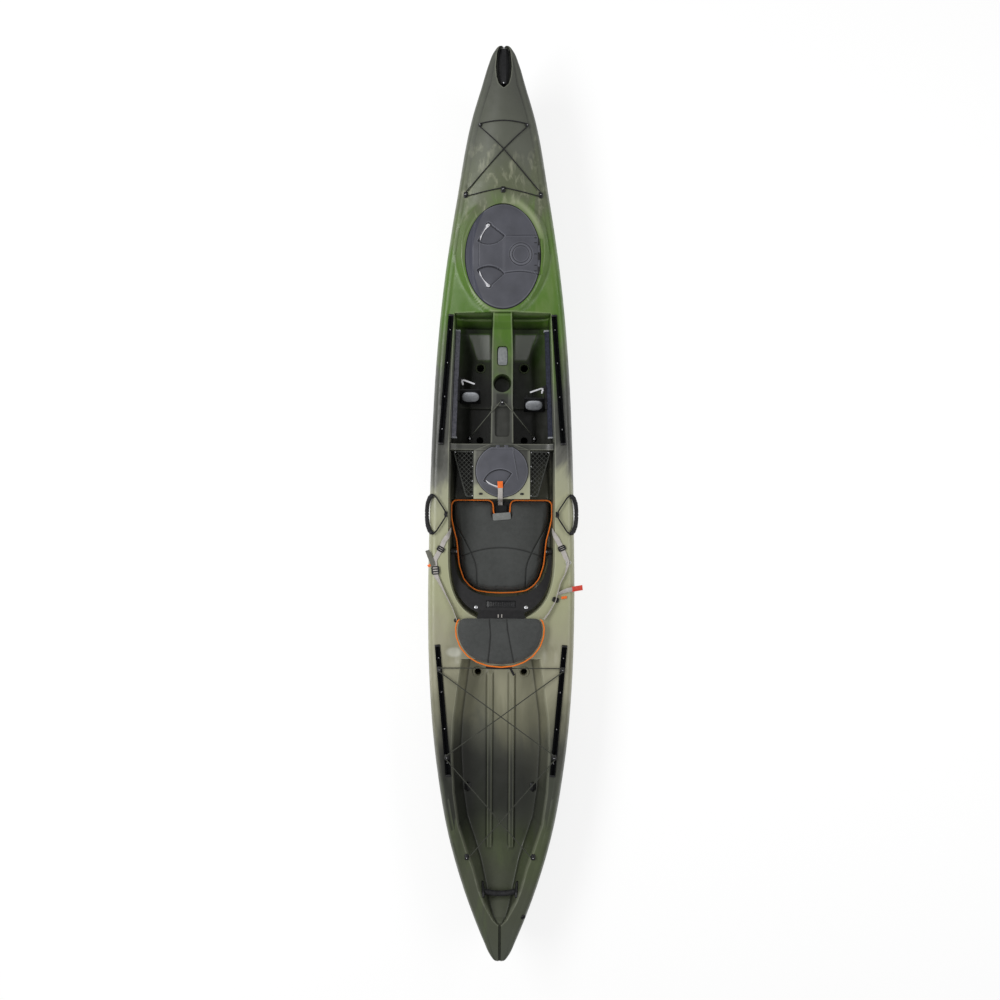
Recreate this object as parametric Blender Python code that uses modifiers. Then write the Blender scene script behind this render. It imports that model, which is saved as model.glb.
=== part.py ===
"""A sit-on-top fishing kayak, 14 ft long: rotomoulded hull, hatches, seat, foot braces, rails and rigging.

Metres, +Z up. The bow points along +Y, starboard is +X, and the origin is on the floor under the middle.
"""

import math

import bmesh
import bpy
import numpy as np
from mathutils import Matrix, Vector
from mathutils.bvhtree import BVHTree

# Overall sizes
LENGTH = 4.27
BEAM = 0.703
WALL = 0.0040
GAP = 0.0003
SHOULDER = 0.042
SHOULDER_POWER = 2.6
BILGE_POWER = 2.3
TRACK_DEPTH = 0.010

# Lines of the hull: each pair is a share of the length behind the bow, and a value there
HALF_BREADTH = (
    (0, 0.080), (0.007, 0.145), (0.018, 0.203), (0.04, 0.290), (0.071, 0.410), (0.157, 0.617),
    (0.245, 0.784), (0.334, 0.893), (0.424, 0.954), (0.537, 0.990), (0.6, 0.9995), (0.63, 0.997),
    (0.695, 0.973), (0.785, 0.876), (0.873, 0.682), (0.939, 0.428), (0.981, 0.216), (0.993, 0.145),
    (1, 0.078),
)
WIDEST_HEIGHT = (
    (0, 0.350), (0.04, 0.325), (0.157, 0.262), (0.334, 0.222), (0.5, 0.205), (0.7, 0.205), (0.873, 0.222),
    (1, 0.262),
)
KEEL_HEIGHT = (
    (0, 0.300), (0.007, 0.255), (0.018, 0.195), (0.04, 0.120), (0.071, 0.055), (0.11, 0.018), (0.16, 0.003),
    (0.2, 0), (0.5, 0), (0.82, 0), (0.88, 0.006), (0.93, 0.030), (0.962, 0.075), (0.981, 0.125),
    (0.993, 0.180), (1, 0.225),
)
EDGE_HEIGHT = (
    (0, 0.376), (0.04, 0.360), (0.11, 0.345), (0.2, 0.331), (0.3, 0.317), (0.42, 0.305), (0.55, 0.298),
    (0.85, 0.296), (1, 0.306),
)
CROWN = (
    (0, 0.015), (0.03, 0.026), (0.07, 0.038), (0.12, 0.040), (0.17, 0.036), (0.23, 0.032), (0.29, 0.024),
    (0.36, 0.010), (0.5, 0.006), (0.8, 0.006), (0.92, 0.010), (1, 0.006),
)
FLAT_HALF = (
    (0, 0.004), (0.1, 0.010), (0.2, 0.060), (0.35, 0.135), (0.5, 0.165), (0.7, 0.158), (0.85, 0.080),
    (0.93, 0.018), (1, 0.004),
)
STATIONS = (
    0, 0.007, 0.018, 0.04, 0.071, 0.11, 0.157, 0.2, 0.245, 0.29, 0.334, 0.38, 0.424, 0.48, 0.537, 0.585,
    0.63, 0.665, 0.695, 0.74, 0.785, 0.829, 0.873, 0.91, 0.939, 0.962, 0.981, 0.993, 1,
)
HOLD_STATIONS = STATIONS[3:-3]

# Cockpit: footwells, console, side pockets and seat well
COCKPIT_TOP = 0.46
KNEE_HEIGHT = 0.17
WALL_DRAFT = 0.004
COCKPIT_HALF_FRONT = 0.2205
COCKPIT_HALF_MID = 0.2435
COCKPIT_HALF_SEAT = 0.247
FOOTWELL_FRONT = 0.905
RAMP_TOP = 0.843
RAMP_FOOT = 0.730
FOOTWELL_STEP = 0.492
FOOTWELL_AFT = 0.303
FOOTWELL_FLOOR = 0.088
FOOTWELL_FLOOR_OUTER = 0.155
CONSOLE_HALF = 0.050
BULKHEAD = 0.028
PEDESTAL_HALF = 0.135
PEDESTAL_TOP = 0.245
PEDESTAL_AFT = 0.038
SEAT_FLOOR = 0.112
SEAT_STRAIGHT = -0.22
SEAT_AFT = -0.53
CORNER = 0.010

# Tank well: top half width and floor height along the boat
TANK_FRONT = -0.717
TANK_FLOOR = 0.165
TANK_WALL_SPREAD = 0.040

# Hatches
BOW_HATCH = (0.0, 1.164)
BOW_LID_HALF_WIDTH = 0.174
BOW_LID_HALF_LENGTH = 0.242
BOW_PLANE = 0.358
MID_HATCH = (0.0, 0.174)
MID_LID_RADIUS = 0.1255
REBATE = 0.009
SEAL_LAND = 0.022
SEAL_THICK = 0.003
LID_CLEARANCE = 0.0015
LID_THICK = 0.012
BOW_CROWN = 0.009
MID_CROWN = 0.006
HINGE_INSET = 0.0075
HINGE_RADIUS = 0.0045
HINGE_PIN_RADIUS = 0.0025
LATCH_WELL = 0.008
LATCH_PIN_RADIUS = 0.0045

# Fittings
BOW_RECESS_FLOOR = 0.3525
BOW_RECESS_RAKE = 0.02
SCUPPER_RADIUS = 0.0155
CUP_RADIUS = 0.043
CUP_FLOOR = 0.168
CUP_Y = 0.591
GEAR_RAIL_WIDTH = 0.024
GEAR_RAIL_HEIGHT = 0.011
GEAR_RAIL_SINK = 0.006
FOOT_RAIL_DEPTH = 0.020
FOOT_RAIL_TALL = 0.032
FOOT_RAIL_Z = 0.205
FOOT_RAIL_FRONT = 0.845
FOOT_RAIL_AFT = 0.340
CORD_RADIUS = 0.0025
HOOK_NECK = 0.0042
HOOK_CAP = 0.0085
HANDLE_RADIUS = 0.011
RECLINE = math.radians(20)
PIVOT_Y = -0.2145
PIVOT_Z = 0.185
PIVOT_PIN_RADIUS = 0.004
CUSHION_EDGE_GAP = 0.008
SEAT_EAR = COCKPIT_HALF_SEAT - 0.026
SEAT_BACK_HALF = COCKPIT_HALF_SEAT - 0.004
SEAT_BOSS = SEAT_BACK_HALF - 0.00825

for old in list(bpy.data.objects):
    bpy.data.objects.remove(old, do_unlink=True)

scene_root = bpy.context.scene.collection
kayak = bpy.data.collections.new("fishing_kayak")
cutters = bpy.data.collections.new("cutters")
scene_root.children.link(kayak)
scene_root.children.link(cutters)


def material(name, colour, roughness, metallic=0.0):
    """Principled material from an sRGB hex colour."""
    made = bpy.data.materials.new(name)
    made.use_nodes = True
    shader = made.node_tree.nodes["Principled BSDF"]
    channels = [int(colour[i : i + 2], 16) / 255 for i in (1, 3, 5)]
    linear = [c / 12.92 if c <= 0.04045 else ((c + 0.055) / 1.055) ** 2.4 for c in channels]
    shader.inputs["Base Color"].default_value = (*linear, 1)
    shader.inputs["Roughness"].default_value = roughness
    shader.inputs["Metallic"].default_value = metallic
    return made


HULL_PLASTIC = material("hull_polyethylene", "#8f9174", 0.42)
LID_PLASTIC = material("lid_polymer", "#5c5c63", 0.55)
BLACK_NYLON = material("black_nylon", "#1c1b1d", 0.45)
GREY_NYLON = material("grey_nylon", "#b4b4b8", 0.5)
RUBBER = material("seal_rubber", "#151515", 0.8)
ANODISED = material("rail_aluminium", "#202024", 0.38, 0.9)
RAIL_GREY = material("foot_rail_aluminium", "#62626b", 0.4, 0.85)
STEEL = material("stainless_steel", "#b9babd", 0.25, 1.0)
FABRIC = material("seat_fabric", "#434443", 0.9)
SHELL = material("seat_shell", "#2a282b", 0.5)
WEBBING = material("webbing", "#b5b0ac", 0.8)
NETTING = material("pocket_mesh", "#18181a", 0.7)
BUNGEE = material("bungee_cord", "#3b3b33", 0.75)


def place(data, name, finish):
    """Puts a mesh or curve in the kayak's collection, or with no finish among the cutters."""
    made = bpy.data.objects.new(name, data)
    if finish is None:
        made.display_type = "WIRE"
        made.hide_render = True
        cutters.objects.link(made)
    else:
        data.materials.append(finish)
        kayak.objects.link(made)
    return made


def from_bmesh(shape, name, finish):
    """Turns a bmesh into an object with its faces pointing out."""
    bmesh.ops.recalc_face_normals(shape, faces=shape.faces)
    data = bpy.data.meshes.new(name)
    shape.to_mesh(data)
    shape.free()
    return place(data, name, finish)


def loft(name, rings, finish=None):
    """Closed body through rings that hold the same number of points each, with a flat cap on both ends."""
    rings = np.asarray(rings, dtype=float)
    count, points = rings.shape[:2]
    index = np.arange(count * points).reshape(count, points)
    after = np.roll(index, -1, axis=1)
    sides = np.stack((index[:-1], after[:-1], after[1:], index[1:]), axis=-1).reshape(-1, 4).tolist()
    data = bpy.data.meshes.new(name)
    data.from_pydata(
        rings.reshape(-1, 3).tolist(), [], sides + [index[0][::-1].tolist(), index[-1].tolist()],
    )
    shape = bmesh.new()
    shape.from_mesh(data)
    bpy.data.meshes.remove(data)
    bmesh.ops.triangulate(shape, faces=shape.faces)
    return from_bmesh(shape, name, finish)


def box(name, size, centre, finish=None, turn=None):
    """Rectangular block with its size along X, Y and Z."""
    shape = bmesh.new()
    bmesh.ops.create_cube(shape, size=1, matrix=Matrix.Diagonal((*size, 1)))
    made = from_bmesh(shape, name, finish)
    made.matrix_world = Matrix.Translation(centre) @ (turn or Matrix())
    return made


def cylinder(name, radius, depth, centre, finish=None, axis="Z", sides=16, top_radius=None, stretch=(1, 1)):
    """Round or elliptical bar about a world axis, or a cone where the top radius differs."""
    shape = bmesh.new()
    bmesh.ops.create_cone(
        shape, cap_ends=True, segments=sides, radius1=radius, radius2=top_radius or radius, depth=depth,
        matrix=Matrix.Diagonal((*stretch, 1, 1)),
    )
    made = from_bmesh(shape, name, finish)
    lean = {
        "Z": Matrix(), "X": Matrix.Rotation(math.pi / 2, 4, "Y"), "Y": Matrix.Rotation(-math.pi / 2, 4, "X"),
    }[axis]
    made.matrix_world = Matrix.Translation(centre) @ lean
    return made


def flat_shape(name, outline, thickness, matrix, finish=None, holes=()):
    """Flat outline with holes, extruded by a thickness about its own plane."""
    curve = bpy.data.curves.new(name + "_outline", "CURVE")
    curve.dimensions = "2D"
    curve.fill_mode = "BOTH"
    curve.extrude = thickness / 2
    for points in (outline, *holes):
        spline = curve.splines.new("POLY")
        spline.points.add(len(points) - 1)
        spline.points.foreach_set(
            "co", np.column_stack((points, np.zeros((len(points), 1)), np.ones(len(points)))).ravel(),
        )
        spline.use_cyclic_u = True
    guide = bpy.data.objects.new(name + "_outline", curve)
    scene_root.objects.link(guide)
    bpy.context.view_layer.update()
    data = bpy.data.meshes.new_from_object(guide.evaluated_get(bpy.context.evaluated_depsgraph_get()))
    bpy.data.objects.remove(guide)
    shape = bmesh.new()
    shape.from_mesh(data)
    bmesh.ops.remove_doubles(shape, verts=shape.verts, dist=0.00001)
    made = from_bmesh(shape, name, finish)
    made.matrix_world = matrix
    return made


def tube(name, points, radius, finish, smooth_sides=2, radii=None):
    """Round cord or bar along points, with filled ends."""
    curve = bpy.data.curves.new(name, "CURVE")
    curve.dimensions = "3D"
    curve.bevel_depth = radius
    curve.bevel_resolution = smooth_sides
    curve.resolution_u = 1
    curve.render_resolution_u = 0
    curve.use_fill_caps = True
    spline = curve.splines.new("POLY")
    spline.points.add(len(points) - 1)
    for point, place_at in zip(spline.points, points):
        point.co = (*place_at, 1)
    for point, share in zip(spline.points, () if radii is None else radii):
        point.radius = share
    return place(curve, name, finish)


def turned(name, profile, steps, finish, matrix, stretch=(1, 1), closed=False):
    """Solid of revolution: its profile of radius and height runs down the outer side, top to bottom."""
    data = bpy.data.meshes.new(name)
    edges = [(i, i + 1) for i in range(len(profile) - 1)] + ([(len(profile) - 1, 0)] if closed else [])
    data.from_pydata([(r, 0, z) for r, z in profile], edges, [])
    made = place(data, name, finish)
    made.matrix_world = matrix @ Matrix.Diagonal((*stretch, 1, 1))
    screw = made.modifiers.new("turn", "SCREW")
    screw.axis = "Z"
    screw.steps = steps
    screw.render_steps = steps
    screw.use_merge_vertices = True
    screw.merge_threshold = 0.00001
    return made


def boolean(target, tool, operation):
    """Cuts, joins or keeps the common part of two bodies."""
    if tool.name in kayak.objects:
        kayak.objects.unlink(tool)
        cutters.objects.link(tool)
    tool.display_type = "WIRE"
    tool.hide_render = True
    step = target.modifiers.new(operation.lower(), "BOOLEAN")
    step.operation = operation
    step.object = tool
    step.solver = "EXACT"
    return target


def cut(target, *tools):
    for tool in tools:
        boolean(target, tool, "DIFFERENCE")
    return target


def join(target, *tools):
    for tool in tools:
        boolean(target, tool, "UNION")
    return target


def smooth(table, x):
    """Cubic curve through a table of pairs, with each slope taken from the pairs beside it."""
    xs, ys = np.array(table, dtype=float).T
    slopes = np.gradient(ys, xs)
    x = np.clip(np.asarray(x, dtype=float), xs[0], xs[-1])
    i = np.clip(np.searchsorted(xs, x, side="right") - 1, 0, len(xs) - 2)
    width = xs[i + 1] - xs[i]
    t = (x - xs[i]) / width
    start = (1 + 2 * t) * (1 - t) ** 2 * ys[i] + t * (1 - t) ** 2 * width * slopes[i]
    end = t * t * (3 - 2 * t) * ys[i + 1] + t * t * (t - 1) * width * slopes[i + 1]
    return start + end


def grown(outline, amount):
    """Closed outline whose every side is shifted outwards by the amount."""
    outline = np.asarray(outline, dtype=float)
    ahead = np.roll(outline, -1, axis=0) - outline
    behind = outline - np.roll(outline, 1, axis=0)
    turn = np.sum(outline[:, 0] * np.roll(outline[:, 1], -1) - np.roll(outline[:, 0], -1) * outline[:, 1])
    normals = [
        np.sign(turn) * np.stack((v[:, 1], -v[:, 0]), axis=1) / np.linalg.norm(v, axis=1, keepdims=True)
        for v in (ahead, behind)
    ]
    facing = np.maximum(1 + np.sum(normals[0] * normals[1], axis=1, keepdims=True), 0.35)
    return outline + amount * (normals[0] + normals[1]) / facing


def mirrored(half):
    """Whole outline from the half on the +X side, which starts and ends off the middle."""
    half = np.asarray(half, dtype=float)
    return np.vstack((half, half[::-1] * (-1, 1)))


def along(share):
    """Y of a share of the length behind the bow."""
    return LENGTH * (0.5 - share)


def share_at(y):
    return 0.5 - y / LENGTH


def hull_half(share):
    """Right half of a section: X and Z from the keel out to the widest line and up to the deck's middle."""
    half = smooth(HALF_BREADTH, share) * BEAM / 2
    widest, keel, edge = (smooth(t, share) for t in (WIDEST_HEIGHT, KEEL_HEIGHT, EDGE_HEIGHT))
    keel = max(keel, 0)
    crown = smooth(CROWN, share)
    flat = min(smooth(FLAT_HALF, share), half * 0.8)
    shoulder = min(SHOULDER, half * 0.4)
    track = TRACK_DEPTH * np.clip((share - 0.16) / 0.1, 0, 1) * np.clip((0.88 - share) / 0.1, 0, 1)
    bottom = [
        (flat * f, keel + track * t)
        for f, t in ((0, 0), (0.18, 0), (0.26, 1), (0.46, 1), (0.54, 0), (1, 0))
    ]
    bilge = [
        (
            flat + (half - flat) * math.sin(a) ** (2 / BILGE_POWER),
            widest - (widest - keel) * max(math.cos(a), 0) ** (2 / BILGE_POWER),
        )
        for a in np.radians((18, 38, 60, 90))
    ]
    side = [
        (
            half - shoulder + shoulder * max(math.cos(a), 0) ** (2 / SHOULDER_POWER),
            widest + (edge - widest) * math.sin(a) ** (2 / SHOULDER_POWER),
        )
        for a in np.radians((30, 60, 90))
    ]
    deck = [((half - shoulder) * f, edge + crown * (1 - f**1.8)) for f in (0.66, 0.33, 0)]
    return np.array(bottom + bilge + side + deck)


def hull_ring(share, shrink=0.0):
    half = hull_half(share)
    outline = np.vstack((half, half[-2:0:-1] * (-1, 1)))
    return grown(outline, -shrink) if shrink else outline


def section_ring(outline, y):
    return np.column_stack((outline[:, 0], np.full(len(outline), y), outline[:, 1]))


hull = loft("hull", [section_ring(hull_ring(s), along(s)) for s in STATIONS], HULL_PLASTIC)
skin = BVHTree.FromPolygons([v.co for v in hull.data.vertices], [p.vertices for p in hull.data.polygons])


def deck_height(x, y):
    """Height of the outer skin's top over a point, before any well is cut."""
    return skin.ray_cast(Vector((x, y, 1)), Vector((0, 0, -1)))[0].z


def surface_height(tree, x, y, start):
    return tree.ray_cast(Vector((x, y, start)), Vector((0, 0, -1)))[0].z


def seat_on_deck(x, y, radius, tree=skin, start=1.0):
    """Middle and lean of a foot that stands on a surface, just clear of every facet below it."""
    spots = [
        (x + radius * math.cos(a), y + radius * math.sin(a))
        for a in np.arange(12) * math.pi / 6
    ] + [(x, y)]
    points = [Vector((u, v, surface_height(tree, u, v, start))) for u, v in spots]
    lean = (points[0] - points[6]).cross(points[3] - points[9]).normalized()
    lift = max((point - points[-1]).dot(lean) for point in points)
    return points[-1] + lean * (lift + GAP), lean


def console_top(y):
    """Height of the ridge between the footwells, which runs down from the fore deck to the mid hatch."""
    return float(
        np.interp(
            y, (PEDESTAL_AFT, FOOTWELL_AFT, FOOTWELL_STEP, CUP_Y, RAMP_FOOT, RAMP_TOP, FOOTWELL_FRONT),
            (PEDESTAL_TOP, PEDESTAL_TOP, 0.250, 0.256, 0.272, 0.300, 0.342),
        )
    )


def wall_half(y):
    """Half width of the cockpit at knee height."""
    if y >= SEAT_STRAIGHT:
        return float(
            np.interp(
                y, (SEAT_STRAIGHT, PEDESTAL_AFT, FOOTWELL_AFT, FOOTWELL_FRONT),
                (COCKPIT_HALF_SEAT, COCKPIT_HALF_SEAT, COCKPIT_HALF_MID, COCKPIT_HALF_FRONT),
            )
        )
    reach = (SEAT_STRAIGHT - y) / (SEAT_STRAIGHT - SEAT_AFT + 0.005)
    return COCKPIT_HALF_SEAT * (1 - reach**2.6) ** (1 / 2.6)


def cockpit_section(y, floor, ridge_half, ridge_top, floor_outer, knee):
    """Section of the cockpit's void at one place: side wall, sloping bilge, floor and middle ridge."""
    wall = wall_half(y)
    knee = max(knee, floor + 0.02)
    top = wall + WALL_DRAFT * (COCKPIT_TOP - KNEE_HEIGHT) / 0.13
    return mirrored(
        (
            (ridge_half - CORNER, ridge_top),
            (ridge_half, ridge_top - min(CORNER, max(ridge_top - floor, 0) / 2 + 0.0002)),
            (ridge_half + 0.004, floor + min(CORNER, max(ridge_top - floor, 0) / 4)),
            (ridge_half + 0.004 + CORNER, floor - 0.0001),
            (max(floor_outer, ridge_half + 0.03), floor - 0.0002),
            (wall - (KNEE_HEIGHT - knee) * WALL_DRAFT / 0.13, knee),
            (top, COCKPIT_TOP),
        )
    )


def cockpit(name, grow):
    """Void of the whole cockpit, grown by the wall for the hold's cutter."""
    ridge = console_top
    seat = SEAT_FLOOR
    bilge = COCKPIT_HALF_SEAT - 0.011
    rows = [
        # place, which way its wall faces, floor, ridge half width, ridge top, floor's outer edge, knee
        (FOOTWELL_FRONT, 1, 0.225, CONSOLE_HALF - 0.006, ridge(FOOTWELL_FRONT), 0.196, 0.262),
        (
            FOOTWELL_FRONT - 0.036, 1, 0.150, CONSOLE_HALF - 0.006, ridge(FOOTWELL_FRONT - 0.036), 0.180,
            0.195,
        ),
        (RAMP_TOP, 1, 0.130, CONSOLE_HALF - 0.004, ridge(RAMP_TOP), 0.172, KNEE_HEIGHT),
        (RAMP_FOOT, 0, FOOTWELL_FLOOR, CONSOLE_HALF, ridge(RAMP_FOOT), 0.140, KNEE_HEIGHT),
        (CUP_Y, 0, FOOTWELL_FLOOR, CONSOLE_HALF, ridge(CUP_Y), FOOTWELL_FLOOR_OUTER, KNEE_HEIGHT),
        (
            FOOTWELL_STEP, 0, FOOTWELL_FLOOR, CONSOLE_HALF, ridge(FOOTWELL_STEP), FOOTWELL_FLOOR_OUTER,
            KNEE_HEIGHT,
        ),
        (
            FOOTWELL_STEP - 0.010, 0, FOOTWELL_FLOOR - 0.007, CONSOLE_HALF + 0.002, ridge(FOOTWELL_STEP),
            FOOTWELL_FLOOR_OUTER, KNEE_HEIGHT,
        ),
        (
            FOOTWELL_AFT + 0.008, -1, FOOTWELL_FLOOR - 0.007, CONSOLE_HALF + 0.004, PEDESTAL_TOP,
            FOOTWELL_FLOOR_OUTER, KNEE_HEIGHT,
        ),
        (FOOTWELL_AFT, -1, PEDESTAL_TOP, CONSOLE_HALF + 0.004, PEDESTAL_TOP, 0.215, PEDESTAL_TOP + 0.02),
        (FOOTWELL_AFT - BULKHEAD, 1, PEDESTAL_TOP, PEDESTAL_HALF, PEDESTAL_TOP, 0.215, PEDESTAL_TOP + 0.02),
        (FOOTWELL_AFT - BULKHEAD - 0.006, 1, seat, PEDESTAL_HALF, PEDESTAL_TOP, 0.222, KNEE_HEIGHT),
        (PEDESTAL_AFT + 0.006, 1, seat, PEDESTAL_HALF, PEDESTAL_TOP, bilge - 0.004, KNEE_HEIGHT),
        (PEDESTAL_AFT, 1, seat, PEDESTAL_HALF, seat, bilge, KNEE_HEIGHT),
        (SEAT_STRAIGHT, 0, seat, PEDESTAL_HALF - 0.04, seat, bilge, KNEE_HEIGHT),
    ]
    for y in (-0.32, -0.40, -0.455, -0.495):
        rows.append((y, 0, seat, wall_half(y) * 0.4, seat, wall_half(y) - 0.011, KNEE_HEIGHT))
    rows.append(
        (
            -0.520, -1, seat + 0.06, wall_half(-0.520) * 0.4, seat + 0.06, wall_half(-0.520) - 0.011,
            seat + 0.09,
        )
    )
    rows.append(
        (
            SEAT_AFT, -1, seat + 0.10, wall_half(SEAT_AFT) * 0.4, seat + 0.10, wall_half(SEAT_AFT) - 0.011,
            seat + 0.13,
        )
    )
    rings = []
    for y, facing, floor, ridge_half, ridge_top, outer, knee in rows:
        outline = cockpit_section(y, floor, ridge_half, ridge_top, outer, knee)
        if grow:
            outline = grown(outline, grow)
        rings.append(section_ring(outline, y + facing * grow))
    return loft(name, rings)


def tank_well(name, grow):
    """Void of the open cargo well behind the seat, with its raised stern end."""
    rows = (
        # place, top half width, floor
        (TANK_FRONT, 0.187, TANK_FLOOR + 0.035), (TANK_FRONT - 0.022, 0.191, TANK_FLOOR),
        (-1.00, 0.226, TANK_FLOOR), (-1.14, 0.2325, TANK_FLOOR),
        (-1.35, 0.222, TANK_FLOOR), (-1.50, 0.200, TANK_FLOOR), (-1.62, 0.160, TANK_FLOOR),
        (-1.70, 0.128, TANK_FLOOR + 0.018),
        (-1.80, 0.100, TANK_FLOOR + 0.035), (-1.86, 0.076, TANK_FLOOR + 0.052),
        (-1.94, 0.030, TANK_FLOOR + 0.115), (-1.956, 0.012, TANK_FLOOR + 0.135),
    )
    rings = []
    for i, (y, half, floor) in enumerate(rows):
        depth = max(0.302 - floor, 0.002)
        spread = min(TANK_WALL_SPREAD, half * 0.42) * depth / (0.302 - TANK_FLOOR)
        foot = half - spread
        outline = mirrored(
            (
                (foot * 0.5, floor),
                (foot - min(0.012, foot * 0.2), floor),
                (foot + min(0.004, foot * 0.05), floor + min(0.012, depth / 4)),
                (half, 0.302),
                (half + 0.010, COCKPIT_TOP),
            )
        )
        facing = 1 if i == 0 else -1 if i == len(rows) - 1 else 0
        rings.append(section_ring(grown(outline, grow) if grow else outline, y + facing * grow))
    return loft(name, rings)


def ellipse_block(name, centre, half_width, half_length, low, high, sides, finish=None, grow=0.0):
    """Upright elliptical block between two heights."""
    return cylinder(
        name, 1, high - low, (centre[0], centre[1], (high + low) / 2), finish, sides=sides,
        stretch=(half_width + grow, half_length + grow),
    )


def upright_box(name, low, high, grow=0.0):
    """Box between two corners, grown sideways and downwards but not at its open top."""
    low = np.array(low, dtype=float) - grow
    high = np.array(high, dtype=float) + (grow, grow, 0)
    return box(name, high - low, (low + high) / 2)


BOW_SIDES = 44
MID_SIDES = 36
# Ends of the gear rails on each side: distance in from the beam's edge, and place along the boat
GEAR_RAILS = {
    "front": ((BEAM / 2 - 0.1110, 0.903), (BEAM / 2 - 0.0635, 0.295)),
    "rear": ((BEAM / 2 - 0.0515, -0.648), (BEAM / 2 - 0.1065, -1.268)),
}


def gear_rail_frame(ends, side):
    """Middle, direction and length of a rail's seat on the deck."""
    points = [Vector((side * x, y, deck_height(x, y) - GEAR_RAIL_SINK)) for x, y in ends]
    direction = (points[0] - points[1]).normalized()
    across = direction.cross(Vector((0, 0, 1))).normalized()
    up = across.cross(direction)
    turn = Matrix((across, direction, up)).transposed().to_4x4()
    return (points[0] + points[1]) / 2, turn, (points[0] - points[1]).length


def gear_rail_slot(name, ends, side, grow):
    centre, turn, length = gear_rail_frame(ends, side)
    size = (GEAR_RAIL_WIDTH + 0.0012 + 2 * grow, length + 0.002 + 2 * grow, 0.05 + grow)
    return box(name, size, centre + turn @ Vector((0, 0, 0.025 - GAP - grow / 2)), turn=turn)


def bow_recess(name, grow):
    """Leaf-shaped hollow round the bow handle, open at the tip."""
    stations = (
        (0.006, 0.020), (-0.03, 0.030), (-0.09, 0.036), (-0.14, 0.032), (-0.18, 0.021), (-0.196, 0.009),
    )
    rings = []
    for offset, half in stations:
        floor = BOW_RECESS_FLOOR + offset * BOW_RECESS_RAKE
        outline = mirrored(((half * 0.75, floor), (half * 0.95, floor + 0.004), (half, 0.44)))
        rings.append(
            section_ring(
                grown(outline, grow) if grow else outline,
                LENGTH / 2 + offset - (grow if half < 0.010 else 0),
            )
        )
    return loft(name, rings)


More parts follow.
